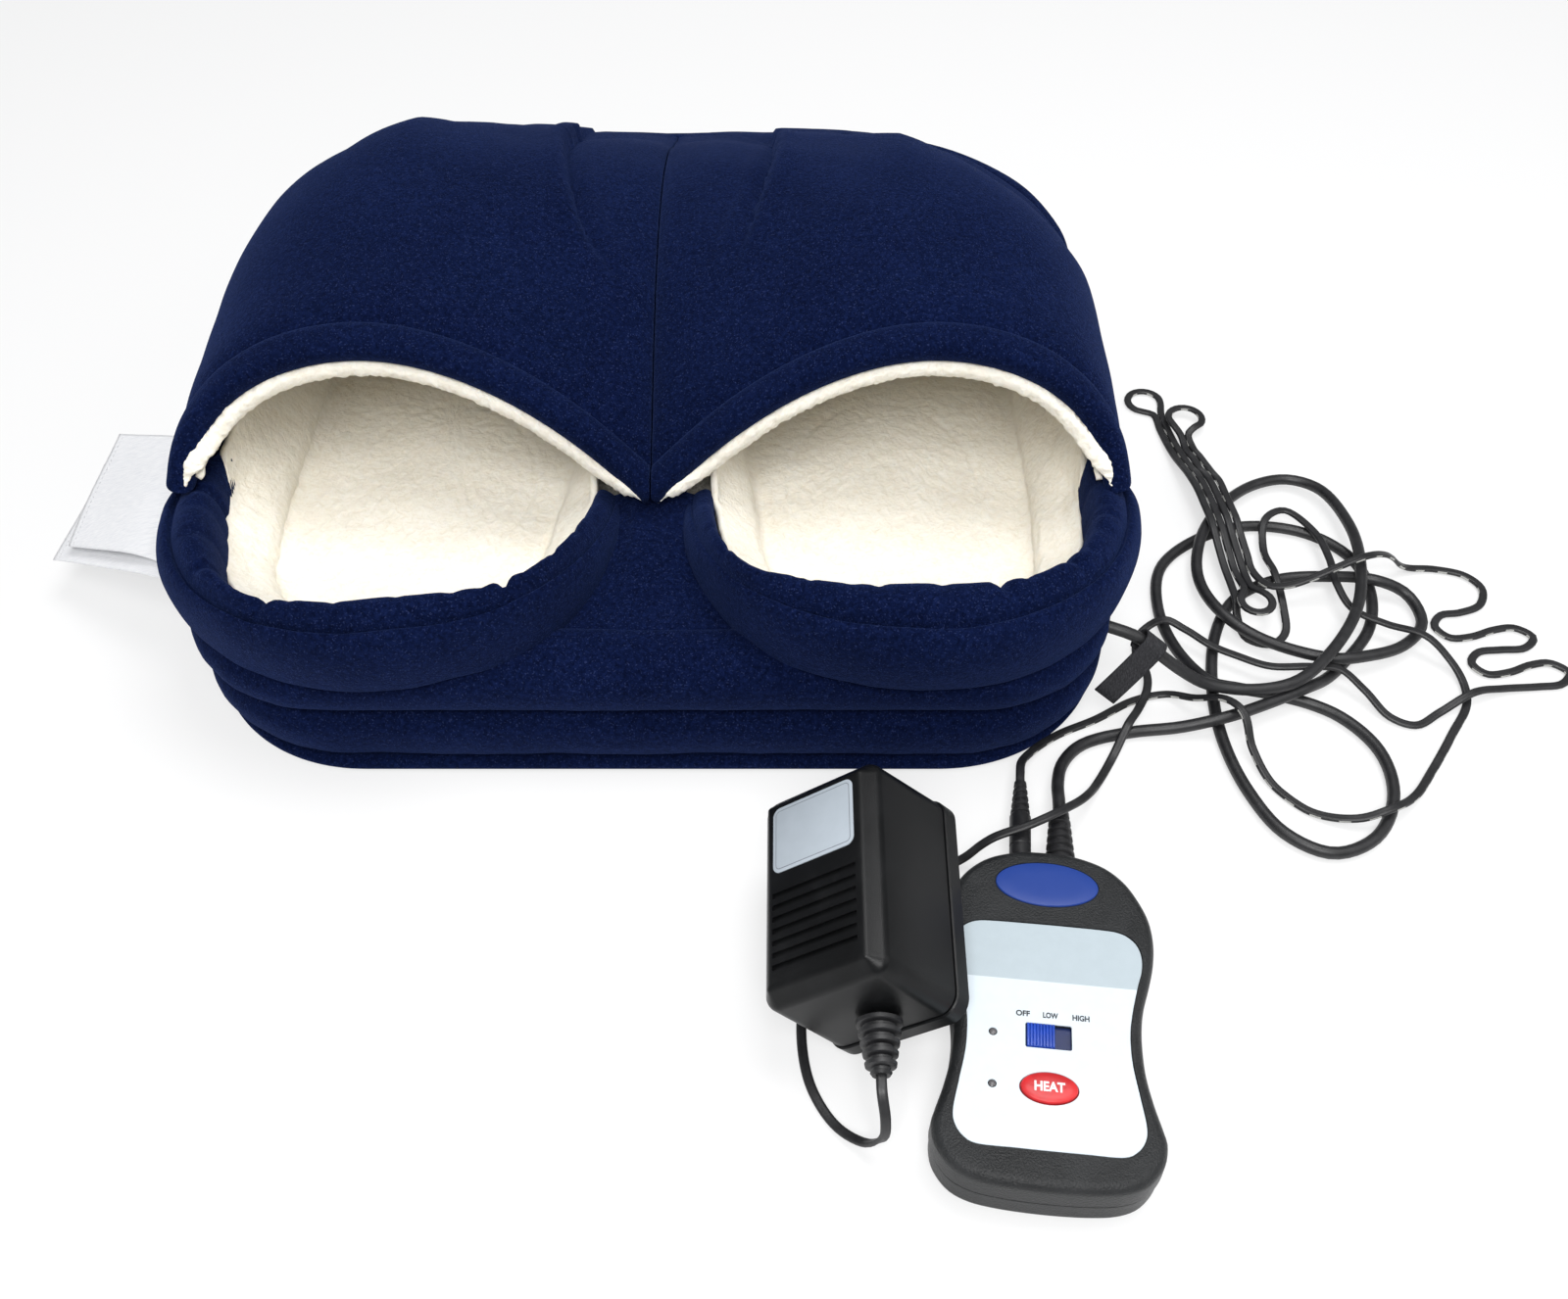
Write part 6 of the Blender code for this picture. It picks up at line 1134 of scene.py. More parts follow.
def lip(side, word):
    """The padded roll round a heel: an outer band, its seam, and a gathered roll inside it."""
    outer = even_spline(np.vstack([on_warmer(LIP_OUTER), [LIP_BACK]]), 184)
    inner = even_spline(np.array(LIP_EDGES[side]), 184)
    total = len(outer)
    crest = np.interp(np.linspace(0, 11, total), range(12), LIP_CREST_SHARES)
    crest = np.convolve(np.pad(crest, 6, mode="edge"), np.ones(13) / 13, mode="valid")
    reach = reach_along(inner)
    steps = 54
    places = np.linspace(0, len(LIP_PROFILE) - 1, steps)
    profile = spline(LIP_PROFILE, places)
    rng = np.random.default_rng(11 + side)
    folds = [(place, rng.uniform(0.12, 0.45), rng.uniform(0.0014, 0.0028)) for place in
             np.cumsum(rng.uniform(0.008, 0.024, 30)) if place < reach[-1]]
    folds += [(reach[-1] * share, deep, 0.0019) for share, deep in LIP_PUCKERS[side]]
    top = LIP_TOPS[side]
    grid = np.zeros((total, steps, 3))
    behind = (places - LIP_SEAM) / (len(LIP_PROFILE) - 1 - LIP_SEAM)
    tuck = np.where(behind > 0, np.exp(-((behind - 0.48) / 0.30) ** 2), 0.18 * np.exp(-(behind / 0.12) ** 2))
    pinch = np.exp(-((behind - 0.68) / 0.24) ** 2) * (behind > 0)
    for i in range(total):
        dent = sum(depth * math.exp(-((reach[i] - place) / wide) ** 2) for place, depth, wide in folds)
        share = (profile[:, 0] - 0.075 * dent * pinch)[:, None]
        grid[i, :, :2] = outer[i] + (inner[i] - outer[i]) * share
        grid[i, :, 2] = LIP_FOOT + (top - LIP_FOOT) * crest[i] * profile[:, 1] - 0.0022 * dent * tuck
    normal = vertex_normals(grid)
    soft = rough_on(grid * (side, 1, 1), 0.034, 5.0 + side)
    fine = rough_on(grid * (side, 1, 1), 0.013, 9.0 + side)
    sign = 1.0 if normal[total // 2, steps // 3, 2] > 0 else -1.0
    grid = grid + normal * sign * (0.0010 * soft + 0.00035 * fine)[..., None]
    grid[..., 0] *= side
    item = loft(word + "_lip_roll", grid, NAVY, nodes=(word + "_heel_lip",), slot="navy_fleece")
    seams = (0, 1, steps - 2, steps - 1, int(np.argmin(np.abs(places - LIP_SEAM))))
    held = [i for i in range(len(item.data.vertices))
            if i % steps in seams or i < steps * 2 or i >= steps * (total - 2)]
    inflate(item, held, pressure=4.0, frames=16, cap=0.0026)


# Corner radii of the warmer's plan outline
FRONT_RADIUS = 0.060
BACK_RADIUS = 0.110


def base_outline(inset, count, tuck=0.0):
    """The warmer's plan outline drawn in by an inset, counter-clockwise, evenly spaced. tuck draws in its
    front corners more than the rest."""
    spots = []
    front, back = HALF_DEPTH + DEPTH_SHIFT - inset, HALF_DEPTH - DEPTH_SHIFT - inset
    half, low, high = HALF_WIDTH - inset, FRONT_RADIUS - inset + tuck, BACK_RADIUS - inset
    corners = ((half - low, -front + low, low, -90), (half - high, back - high, high, 0),
               (-half + high, back - high, high, 90), (-half + low, -front + low, low, 180))
    for cx, cy, radius, start in corners:
        for k in range(25):
            angle = math.radians(start + 90 * k / 24)
            spots.append((cx + radius * math.cos(angle), cy + radius * math.sin(angle)))
    ring = np.array(spots + spots[:1])
    reach = reach_along(ring)
    goals = np.linspace(0.0, reach[-1], count, endpoint=False)
    return np.stack([np.interp(goals, reach, ring[:, k]) for k in range(2)], axis=1)


# Levels of the two bands, as inset, height and corner tuck, and where the upper one turns in under the
# lips and the gusset
LOWER_BAND = ((0.0125, 0.0056, 0.012), (0.0082, 0.0078, 0.010), (0.0058, 0.0130, 0.008),
              (0.0052, 0.0190, 0.006), (0.0066, 0.0250, 0.004), (0.0120, 0.0308, 0.003))
UPPER_BAND = ((0.0122, 0.0316, 0.003), (0.0078, 0.0352, 0.002), (0.0056, 0.0402, 0.001),
              (0.0062, 0.0458, 0.0), (0.0092, 0.0500, 0.0), (0.0140, 0.0532, 0.0), (0.0190, 0.0552, 0.0),
              (0.0250, 0.0572, 0.0), (0.0284, 0.0575, 0.0), (0.0300, 0.0560, 0.0))
BAND_TURN = 0.0140
LIP_TURN = 0.0062
GUSSET_TURN = 0.0202
PIPING_INSET = 0.0092
PIPING_TUCK = 0.014


def band(name, node, profile, seed):
    """A padded band round the base, with the slack of its corners."""
    count = 460
    rings = spline(profile, np.linspace(0, len(profile) - 1, 19))
    rows = []
    for inset, height, tuck in rings:
        line = base_outline(min(inset, BAND_TURN), count, tuck)
        turn = np.clip(inset - BAND_TURN, 0.0, LIP_TURN)
        line[:, 1] += turn * ease(-line[:, 1], 0.10, 0.145)
        line[:, 0] -= turn * np.sign(line[:, 0]) * (
            ease(np.abs(line[:, 0]), 0.12, 0.16) * ease(-line[:, 1], 0.06, 0.10))
        line[:, 1] += (max(inset - GUSSET_TURN, 0.0) * ease(-line[:, 1], 0.10, 0.145)
                       * ease(np.abs(line[:, 0]), 0.062, 0.040))
        rows.append([(x, y, height) for x, y in line])
    grid = np.array(rows)
    normal = vertex_normals(grid, around=True)
    outward = np.sign((normal[..., :2] * grid[..., :2]).sum(2).mean())
    middle = np.sin(np.linspace(0.0, math.pi, len(rings)))[:, None] ** 0.6
    soft = rough_on(grid, 0.040, seed)
    creases = rough_on(grid * (1, 1, 0.25), 0.011, seed + 4)
    corner = np.exp(-((np.abs(grid[..., 0]) - 0.160) / 0.020) ** 2) * (grid[..., 1] < -0.06)
    slack = (0.0013 * soft + 0.00040 * creases * (1 + 1.5 * corner)) * middle
    grid = grid + normal * outward * slack[..., None]
    item = piece(name, grid.reshape(-1, 3), sheet_faces(*grid.shape[:2], around=True), NAVY, nodes=(node,),
                 slot="navy_fleece")
    face_out(item)
    held = [i for i in range(len(item.data.vertices)) if i < count or i >= count * (len(rings) - 1)]
    inflate(item, held, pressure=3.0, frames=14, cap=0.0020)
    thicken(item, BAND_THICKNESS_SHOWN)


def piping():
    """The padded cord in the seam round the foot."""
    count, steps = 420, 14
    line = base_outline(PIPING_INSET, count, PIPING_TUCK)
    out = -inward_of(line)
    turn = np.linspace(0.0, 2 * math.pi, steps, endpoint=False)
    grid = np.zeros((count, steps, 3))
    grid[..., :2] = line[:, None] + out[:, None] * (np.cos(turn) * 0.0042)[None, :, None]
    grid[..., 2] = 0.0029 + np.sin(turn) * 0.0027
    turn_out(piece("foot_piping", grid.reshape(-1, 3), sheet_faces(count, steps, around=True, closed=True),
                   NAVY, slot="navy_fleece"))


def base_cloth():
    """The dotted anti-slip cloth underneath, drawn tight to the piping."""
    inset, low = 0.0098, 0.0014
    line = base_outline(inset, 280, PIPING_TUCK)
    grid = []
    for share in (1.0, 0.97, 0.92, 0.84, 0.74, 0.62, 0.48, 0.32, 0.14):
        spots = np.concatenate([line * share, np.zeros((len(line), 1))], axis=1)
        spots[:, 2] = 0.0022 + 0.0004 * rough_field(spots, 0.060, 51.0) - 0.0010 * (1.0 - share)
        grid.append(spots)
    spots = np.concatenate(grid + [np.array([[0.0, 0.0, low]])])
    wide = len(line)
    last = (len(grid) - 1) * wide
    faces = sheet_faces(len(grid), wide, around=True)
    faces += [(last + k, last + (k + 1) % wide, len(spots) - 1) for k in range(wide)]
    cloth = piece("anti_slip_base", spots, faces, PANEL, nodes=("bottom_panel",), slot="anti_slip_cloth")
    thicken(cloth, BASE_THICKNESS, 0.0)


def wrap_wall():
    """The upright wall round the toes."""
    front = -0.088
    line = base_outline(0.0045, 520)
    keep = line[line[:, 1] > front]
    start = np.argmax(np.linalg.norm(np.diff(np.vstack([keep, keep[:1]]), axis=0), axis=1)) + 1
    keep = np.roll(keep, -start, axis=0)
    heading = unit_rows(np.gradient(keep, axis=0))
    out = np.stack([heading[:, 1], -heading[:, 0]], axis=1)
    heights = np.linspace(0.0522, 0.0896, 17)
    insets = 0.0040 - 0.0030 * np.sin(np.linspace(0.15, math.pi + 0.45, 17))
    grid = np.array([np.column_stack([keep - out * (inset - 0.0030), np.full(len(keep), height)])
                     for height, inset in zip(heights, insets)])
    normal = vertex_normals(grid)
    sign = np.sign((normal[..., :2] * grid[..., :2]).sum(2).mean())
    grid = grid + normal * sign * (0.0010 * rough_on(grid, 0.040, 12.0))[..., None]
    item = piece("toe_wall_cover", grid.reshape(-1, 3), sheet_faces(*grid.shape[:2]), NAVY,
                 nodes=("rear_wall",), slot="navy_fleece")
    face_out(item)
    thicken(item, PANEL_THICKNESS)


def gusset():
    """The sloping panel between the two lips, with its cross seam and the slack above it."""
    levels = np.linspace(0.0, 1.0, 56)
    widths = np.interp(levels, (0.0, 0.30, 0.60, 0.85, 1.0), (0.0165, 0.0170, 0.0260, 0.0390, 0.0480))
    shares = np.linspace(-1.0, 1.0, 61)
    rows = []
    for level, half in zip(levels, widths):
        y = -0.0780 - 0.0690 * level
        edge = 0.0660 - 0.0112 * ease(level, 0.0, 1.0) - 0.0040 * ease(level, 0.93, 1.0)
        rows.append([(half * share, y, edge + 0.0030 * (1 - share * share)) for share in shares])
    grid = np.array(rows)
    x, y = grid[..., 0], grid[..., 1]
    soft = rough_on(grid, 0.022, 21.0)
    pull = np.exp(-((x + 0.0065 - 0.02 * (y + 0.1)) / 0.0022) ** 2) * ease(y, -0.150, -0.100)
    fold = np.exp(-((x - 0.0040 + 0.10 * (y + 0.10)) / 0.0017) ** 2) * ease(y, -0.135, -0.105)
    grid[..., 2] += 0.0009 * soft + 0.0013 * pull - 0.0012 * fold
    item = piece("centre_gusset_cover", grid.reshape(-1, 3), sheet_faces(*grid.shape[:2]), NAVY,
                 nodes=("centre_gusset",), slot="navy_fleece")
    face_up(item)
    wide, last = len(shares), len(shares) * (len(levels) - 1)
    rim = [i for i in range(len(item.data.vertices)) if i % wide in (0, wide - 1) or i < wide or i >= last]
    inflate(item, rim, pressure=2.0, frames=12, cap=0.0018)
    thicken(item, PANEL_THICKNESS)


def divider():
    """The padded wall between the two wells, under the hood."""
    foot, half = 0.0530, 0.0122
    crest = ((0.0, 0.20, 0.43, 0.66, 1.0), (0.0, 0.52, 0.80, 1.0, 0.93))
    rows = []
    for share in np.linspace(0.0, 1.0, 60):
        top = 0.0660 + 0.0390 * np.interp(share, *crest)
        rows.append([(half * a, -0.0745 + 0.1745 * share, (foot + top) / 2 + (top - foot) / 2 * b)
                     for a, b in squarish(24, 0.45, 0.45)])
    item = loft("centre_divider_cover", np.array(rows), NAVY, nodes=("centre_divider",), slot="navy_fleece")


# Levels of a well's wall, with their insets in rolls: behind, and round the heel, where it flares out
# under the lip
WELL_FOOT = 0.0360
WELL_RIM = 0.0805
HEEL_RIM = 0.0640
WELL_ROLL = 0.0140
WELL_INSETS = ((0.036, 0.048, 0.0525, 0.057, 0.063, 0.070, 0.0805),
               (1.29, 1.24, 1.13, 0.92, 0.64, 0.40, 0.12))
HEEL_INSETS = ((0.036, 0.048, 0.0525, 0.0555, 0.059, 0.064), (1.29, 1.22, 1.08, 0.84, 0.54, 0.10))
# The sole's edge, from its foot over its roll to the seam, as share of the well and height
SOLE_EDGE = ((0.985, 0.0362), (1.000, 0.0400), (1.002, 0.0450), (0.998, 0.0486), (0.990, 0.0474),
             (0.978, 0.0458), (0.964, 0.0446), (0.948, 0.0437), (0.930, 0.0431))
SOLE_HEIGHT = 0.0426
SOLE_CROWN = 0.0016
SOLE_INSET = 0.0156


def well(side, word):
    """The curly pile of a foot well: its wall, and the sole pad with the seam round it."""
    ring = even_spline(np.vstack([on_warmer(LIP_INNER), on_warmer(TOE)]), 420, closed=True)
    inward = inward_of(ring)
    well_wall(side, word, ring, inward)
    sole(side, word, ring + inward * SOLE_INSET)


def well_wall(side, word, ring, inward):
    middle = ring.mean(0)
    rows = []
    top = HEEL_RIM + (WELL_RIM - HEEL_RIM) * ease(ring[:, 1], -0.082, -0.068)
    heel = 1.0 - ease(ring[:, 1], -0.078, -0.050)
    for rise in np.linspace(0.0, 1.0, 34):
        level = WELL_FOOT + (top - WELL_FOOT) * rise
        inset = np.interp(level, *WELL_INSETS) * (1.0 - heel)
        inset += np.interp(level, *HEEL_INSETS) * heel
        lean = np.maximum(0.0, (ring[:, 1] + HALF_DEPTH / 4) / HALF_DEPTH) * 0.0090 * ease(rise, 0.4, 1.0)
        x = ring[:, 0] + inward[:, 0] * WELL_ROLL * inset + lean * ring[:, 0] / HALF_WIDTH
        y = ring[:, 1] + inward[:, 1] * WELL_ROLL * inset + lean
        rows.append(np.stack([x * side, y, level], axis=1))
    grid = np.array(rows)
    normal = vertex_normals(grid, around=True)
    sign = np.sign(((np.array((middle[0] * side, middle[1], 0.06)) - grid) * normal).sum(2).mean())
    grid = grid + normal * sign * (0.0008 * rough_on(grid, 0.030, 31.0 + side))[..., None]
    wall = piece(word + "_pile_wall", grid.reshape(-1, 3), sheet_faces(*grid.shape[:2], around=True), CREAM,
                 nodes=(word + "_well_wall",), slot="cream_sherpa")
    face_toward(wall, (middle[0] * side, middle[1]))
    pile_out(wall, 0.0005, 0.0036, side)
    thicken(wall, PILE_THICKNESS)


def sole(side, word, outline):
    centre = outline.mean(0)
    levels = SOLE_EDGE + tuple((share, SOLE_HEIGHT + SOLE_CROWN * (1 - share ** 2))
                               for share in np.linspace(0.912, 0.02, 58))
    grid = np.array([[(side * (centre[0] + (p[0] - centre[0]) * share),
                       centre[1] + (p[1] - centre[1]) * share, height) for p in outline]
                     for share, height in levels])
    rounds = np.hypot((grid[..., 0] * side - 0.094) / 0.040, (grid[..., 1] + 0.045) / 0.052)
    stitched = np.exp(-((rounds - 1.0) / 0.030) ** 2)
    inner = (np.arange(len(levels)) > len(SOLE_EDGE))[:, None]
    grid[..., 2] += inner * (0.0012 * rough_on(grid, 0.026, 41.0 + side) - 0.0004 * stitched)
    rows, columns = grid.shape[:2]
    faces = sheet_faces(rows, columns, around=True)
    faces.append(tuple(range((rows - 1) * columns, rows * columns)))
    faces.append(tuple(range(columns))[::-1])
    pad = piece(word + "_pile_sole", grid.reshape(-1, 3), faces, CREAM, nodes=(word + "_sole_pad",),
                slot="cream_sherpa")
    turn_out(pad)
    pile_out(pad, 0.00045, 0.0036, side * 2)


for SIDE, WORD in SIDES:
    hood(SIDE, WORD)
    hem(SIDE, WORD)
    lining(SIDE, WORD)
    lip(SIDE, WORD)
    well(SIDE, WORD)
band("lower_padded_band", "lower_band", LOWER_BAND, 2.0)
band("upper_padded_band", "upper_band", UPPER_BAND, 6.0)
piping()
base_cloth()
wrap_wall()
gusset()
divider()


# Hard pieces: controller, plug, boot, adapter
TOP = 0.0225
PARTING = 0.0113
GAP = 0.0003
SHELL_WALL = 0.0020
CONTROL_SIZE = (0.0375, 0.06325)
CONTROL_SHARES = ((0.0, 1.0), (0.267, 0.989), (0.547, 0.934), (0.747, 0.838), (0.880, 0.712), (0.960, 0.589),
                  (0.987, 0.455), (0.971, 0.320), (0.928, 0.198), (0.861, 0.043), (0.835, -0.083),
                  (0.835, -0.209), (0.853, -0.336), (0.907, -0.486), (0.973, -0.621), (1.0, -0.700),
                  (0.960, -0.810), (0.827, -0.913), (0.640, -0.968), (0.373, -0.992), (0.0, -1.0))
FACE_SHARES = ((0.0, 0.496), (0.300, 0.495), (0.500, 0.493), (0.640, 0.486), (0.745, 0.458), (0.820, 0.405),
               (0.850, 0.330), (0.840, 0.250), (0.800, 0.162), (0.739, -0.004), (0.712, -0.130),
               (0.720, -0.289), (0.768, -0.462), (0.811, -0.621), (0.795, -0.700), (0.720, -0.763),
               (0.600, -0.795), (0.300, -0.797), (0.0, -0.798))
# Half width, half height and place along the controller of each opening; a lamp's place across, and radius
BADGE = (0.0180, 0.0090, 0.0478)
WINDOW = (0.0076, 0.00445, -0.01125)
BUTTON = (0.0092, 0.0053, -0.02965)
LED = (-0.0182, 0.00115)
JACK_X, BOOT_X = -0.0082, 0.0064
JACK_RADIUS, BOOT_RADIUS = 0.0034, 0.0046
MOUTH_START, MOUTH_END = 0.0588, 0.0870
CUT_LOW, CUT_HIGH = 0.0150, 0.0240
TOP_ROUND, FOOT_ROUND = 0.0036, 0.0026
TWO_TONE_LINE = 0.0090
WORD_LINE = -0.0036
WORD_HEIGHT = 0.0021
# Each printed word with its place across and its width
WORDS = (("OFF", -0.0084, 0.0046), ("LOW", 0.0007, 0.0050), ("HIGH", 0.0107, 0.0056))


def hard(item, angle=30.0):
    """Keeps the sharp corners of a moulded piece sharp."""
    item.data.set_sharp_from_angle(angle=math.radians(angle))
    return item


def outline_of(shares, size, count=200):
    """A closed outline from the shares of its right half."""
    half = [(x * size[0], y * size[1]) for x, y in shares]
    return even_spline(np.array(half + [(-x, y) for x, y in half[-2:0:-1]]), count, closed=True)


def drawn_in(outline, inset):
    """An outline moved inward by an inset."""
    return outline + inward_of(outline) * inset


def oval(half_width, half_height, centre_y, count=72):
    turn = np.linspace(0.0, 2 * math.pi, count, endpoint=False)
    return np.stack([half_width * np.cos(turn), centre_y + half_height * np.sin(turn)], axis=1)


def rounded(half_width, half_height, centre, radius, steps=8):
    spots = []
    for sx, sy, start in ((1, -1, -90), (1, 1, 0), (-1, 1, 90), (-1, -1, 180)):
        for k in range(steps + 1):
            angle = math.radians(start + 90 * k / steps)
            spots.append((centre[0] + sx * (half_width - radius) + radius * math.cos(angle),
                          centre[1] + sy * (half_height - radius) + radius * math.sin(angle)))
    return np.array(spots)


def solid(name, outline, rows, look, place, **claims):
    """A closed solid of an outline drawn in by an inset at each height. The outline may be a function of
    the inset."""
    sections = [outline(inset) if callable(outline) else drawn_in(outline, inset) for inset, _ in rows]
    grid = [[(x, y, height) for x, y in section] for section, (_, height) in zip(sections, rows)]
    return hard(loft(name, moved(np.array(grid), place), look, **claims))


def turned_piece(name, profile, look, place, steps=44, **claims):
    return hard(loft(name, moved(lathe(profile, steps), place), look, **claims), 38.0)


def cut(item, cutters):
    """Cuts each cutter out of a piece, and removes the cutter."""
    for tool in cutters:
        change = item.modifiers.new("cut", "BOOLEAN")
        change.operation = "DIFFERENCE"
        change.solver = "EXACT"
        change.object = tool
    bpy.context.view_layer.update()
    graph = bpy.context.evaluated_depsgraph_get()
    fresh = bpy.data.meshes.new_from_object(item.evaluated_get(graph))
    old = item.data
    item.modifiers.clear()
    item.data = fresh
    while len(fresh.materials) > 1:
        fresh.materials.pop(index=len(fresh.materials) - 1)
    for face in fresh.polygons:
        face.material_index = 0
    bpy.data.meshes.remove(old)
    for tool in cutters:
        bpy.data.objects.remove(tool)
    fresh.shade_smooth()
    return hard(item)


def cutter(outline, low, high, place, inset=0.0):
    """An outline from one height to another, to cut with."""
    return solid("cutter", outline, ((inset, low), (inset, high)), SHELL, place, body=None)


def rod_cutter(x, z, radius, start, end, place):
    """A round cutter along Y."""
    spot = place @ Matrix.Translation((x, 0.0, z)) @ Matrix.Rotation(math.radians(-90.0), 4, "X")
    return loft("cutter", moved(lathe(((radius, start), (radius, end)), 28), spot), SHELL, body=None)


def words(name, text, spot, height, width, look, body=BODY, lift=0.00006):
    """Printed capitals of a height, squeezed to a width, on the controller's face."""
    data = bpy.data.curves.new(name, "FONT")
    data.body = text
    data.align_x = "CENTER"
    data.align_y = "CENTER"
    data.extrude = 0.5
    data.offset = 0.034
    source = bpy.data.objects.new(name, data)
    bpy.context.scene.collection.objects.link(source)
    bpy.context.view_layer.update()
    mesh = bpy.data.meshes.new_from_object(source.evaluated_get(bpy.context.evaluated_depsgraph_get()))
    bpy.data.objects.remove(source)
    spots = np.array([vertex.co for vertex in mesh.vertices])
    low, high = spots.min(0), spots.max(0)
    spots = (spots - (low + high) / 2) / (high - low) * (width, height, lift)
    spots = moved(spots + np.array(spot), CONTROL)
    mesh.vertices.foreach_set("co", spots.ravel())
    mesh.update()
    mesh.materials.clear()
    mesh.materials.append(look)
    item = bpy.data.objects.new(name, mesh)
    bpy.context.scene.collection.objects.link(item)
    return claim(item, (), body)


def ribs(start, end, wide, narrow, count, groove, share=0.62):
    """Profile of a tapering row of rounded rings, from its root to its tip."""
    pitch = (end - start) / count
    profile = []
    for i in range(count):
        low = start + pitch * i
        for place, depth in ((0.02, 1.0), (0.10, 0.35), (0.18, 0.0), (share - 0.10, 0.0), (share, 0.30),
                             (share + 0.08, 1.0), (0.98, 1.0)):
            at = low + pitch * place
            radius = wide + (narrow - wide) * (at - start) / (end - start)
            profile.append((radius - groove * depth, at))
    return profile


def openings():
    """Cutters of the slide's window, the button's hole and the lamps' holes."""
    holes = [rounded(WINDOW[0], WINDOW[1], (0.0, WINDOW[2]), 0.0007),
             oval(BUTTON[0] + 0.0004, BUTTON[1] + 0.0004, BUTTON[2])]
    holes += [oval(LED[1] + GAP, LED[1] + GAP, y, 24) + (LED[0], 0.0) for y in (WINDOW[2], BUTTON[2])]
    return [cutter(hole, CUT_LOW, CUT_HIGH, CONTROL) for hole in holes]


def mouths():
    """Cutters of the holes for the jack and the cable's guard."""
    return [rod_cutter(JACK_X, PARTING, JACK_RADIUS, MOUTH_START, MOUTH_END, CONTROL),
            rod_cutter(BOOT_X, PARTING, BOOT_RADIUS, MOUTH_START, MOUTH_END, CONTROL)]


def shells(shape, face):
    """The controller's two hollow halves."""
    edge = [(0.0003 + TOP_ROUND * (1 - math.cos(a)), TOP - TOP_ROUND * (1 - math.sin(a)))
            for a in np.linspace(0.0, math.pi / 2, 9)]
    side = [(0.0007, PARTING), (0.0001, PARTING + 0.0006), (0.0002, 0.0150)]
    upper = solid("controller_top", shape, side + edge, SHELL, CONTROL, nodes=("controller_top_shell",),
                  slot="black_shell")
    foot = [(0.0006 + FOOT_ROUND * (1 - math.sin(a)), FOOT_ROUND * (1 - math.cos(a)))
            for a in np.linspace(0.0, math.pi / 2, 7)]
    side = [(0.0005, PARTING - 0.0010), (0.0011, PARTING - 0.0003)]
    lower = solid("controller_base", shape, foot + side, SHELL, CONTROL, nodes=("controller_bottom_shell",),
                  slot="black_shell")
    badge = oval(BADGE[0] + GAP, BADGE[1] + GAP, BADGE[2])
    cut(upper, [cutter(shape, PARTING - 0.0010, TOP - SHELL_WALL, CONTROL, 0.0023),
                cutter(face, TOP - 0.0008, CUT_HIGH, CONTROL, -GAP),
                cutter(badge, TOP - 0.0006, CUT_HIGH, CONTROL)] + openings() + mouths())
    cut(lower, [cutter(shape, SHELL_WALL, PARTING + 0.0010, CONTROL, 0.0025)] + mouths())


def face_panel(face):
    """The printed panel, grey above a line and white below it."""
    plate = solid("face_panel", face, ((0.0, TOP - 0.0007), (0.0, TOP - 0.00030), (0.00015, TOP - 0.00018)),
                  WHITE_FACE, CONTROL, nodes=("faceplate",), slot="white_face")
    cut(plate, openings())
    plate.data.materials.append(GREY_FACE)
    work = bmesh.new()
    work.from_mesh(plate.data)
    split = CONTROL @ Vector((0.0, TWO_TONE_LINE, 0.0))
    level = CONTROL.to_3x3() @ Vector((0.0, 1.0, 0.0))
    parts = work.verts[:] + work.edges[:] + work.faces[:]
    bmesh.ops.bisect_plane(work, geom=parts, plane_co=split, plane_no=level)
    for spot in work.faces:
        spot.material_index = int((spot.calc_center_median() - split).dot(level) > 0)
    work.to_mesh(plate.data)
    work.free()


def controller():
    shape = outline_of(CONTROL_SHARES, CONTROL_SIZE)
    face = outline_of(FACE_SHARES, CONTROL_SIZE)
    shells(shape, face)
    face_panel(face)
    solid("blank_badge", oval(*BADGE, 96), ((0.0, TOP - 0.0003), (0.0, TOP + 0.0001), (0.0003, TOP + 0.0004),
                                            (0.0016, TOP + 0.00055), (0.0045, TOP + 0.0006)),
          BADGE_BLUE, CONTROL, nodes=("badge",), slot="blue_plastic")
    dome = ((0.0019, 0.0184), (0.0019, 0.0200), (LED[1], 0.0202), (LED[1], TOP - 0.0001),
            (0.0008, TOP + 0.00012), (0.0003, TOP + 0.0002))
    for y, word, node in ((WINDOW[2], "upper", "power_indicator_lens"),
                          (BUTTON[2], "lower", "heat_indicator_lens")):
        turned_piece(word + "_lamp_dot", dome, LENS, CONTROL @ Matrix.Translation((LED[0], y, 0.0)), 24,
                     nodes=(node,), slot="red_lens")
    for print_text, x, width in WORDS:
        words("print_" + print_text.lower(), print_text, (x, WORD_LINE, TOP - 0.00012), WORD_HEIGHT, width,
              INK_GREY)
    knob()
    button()


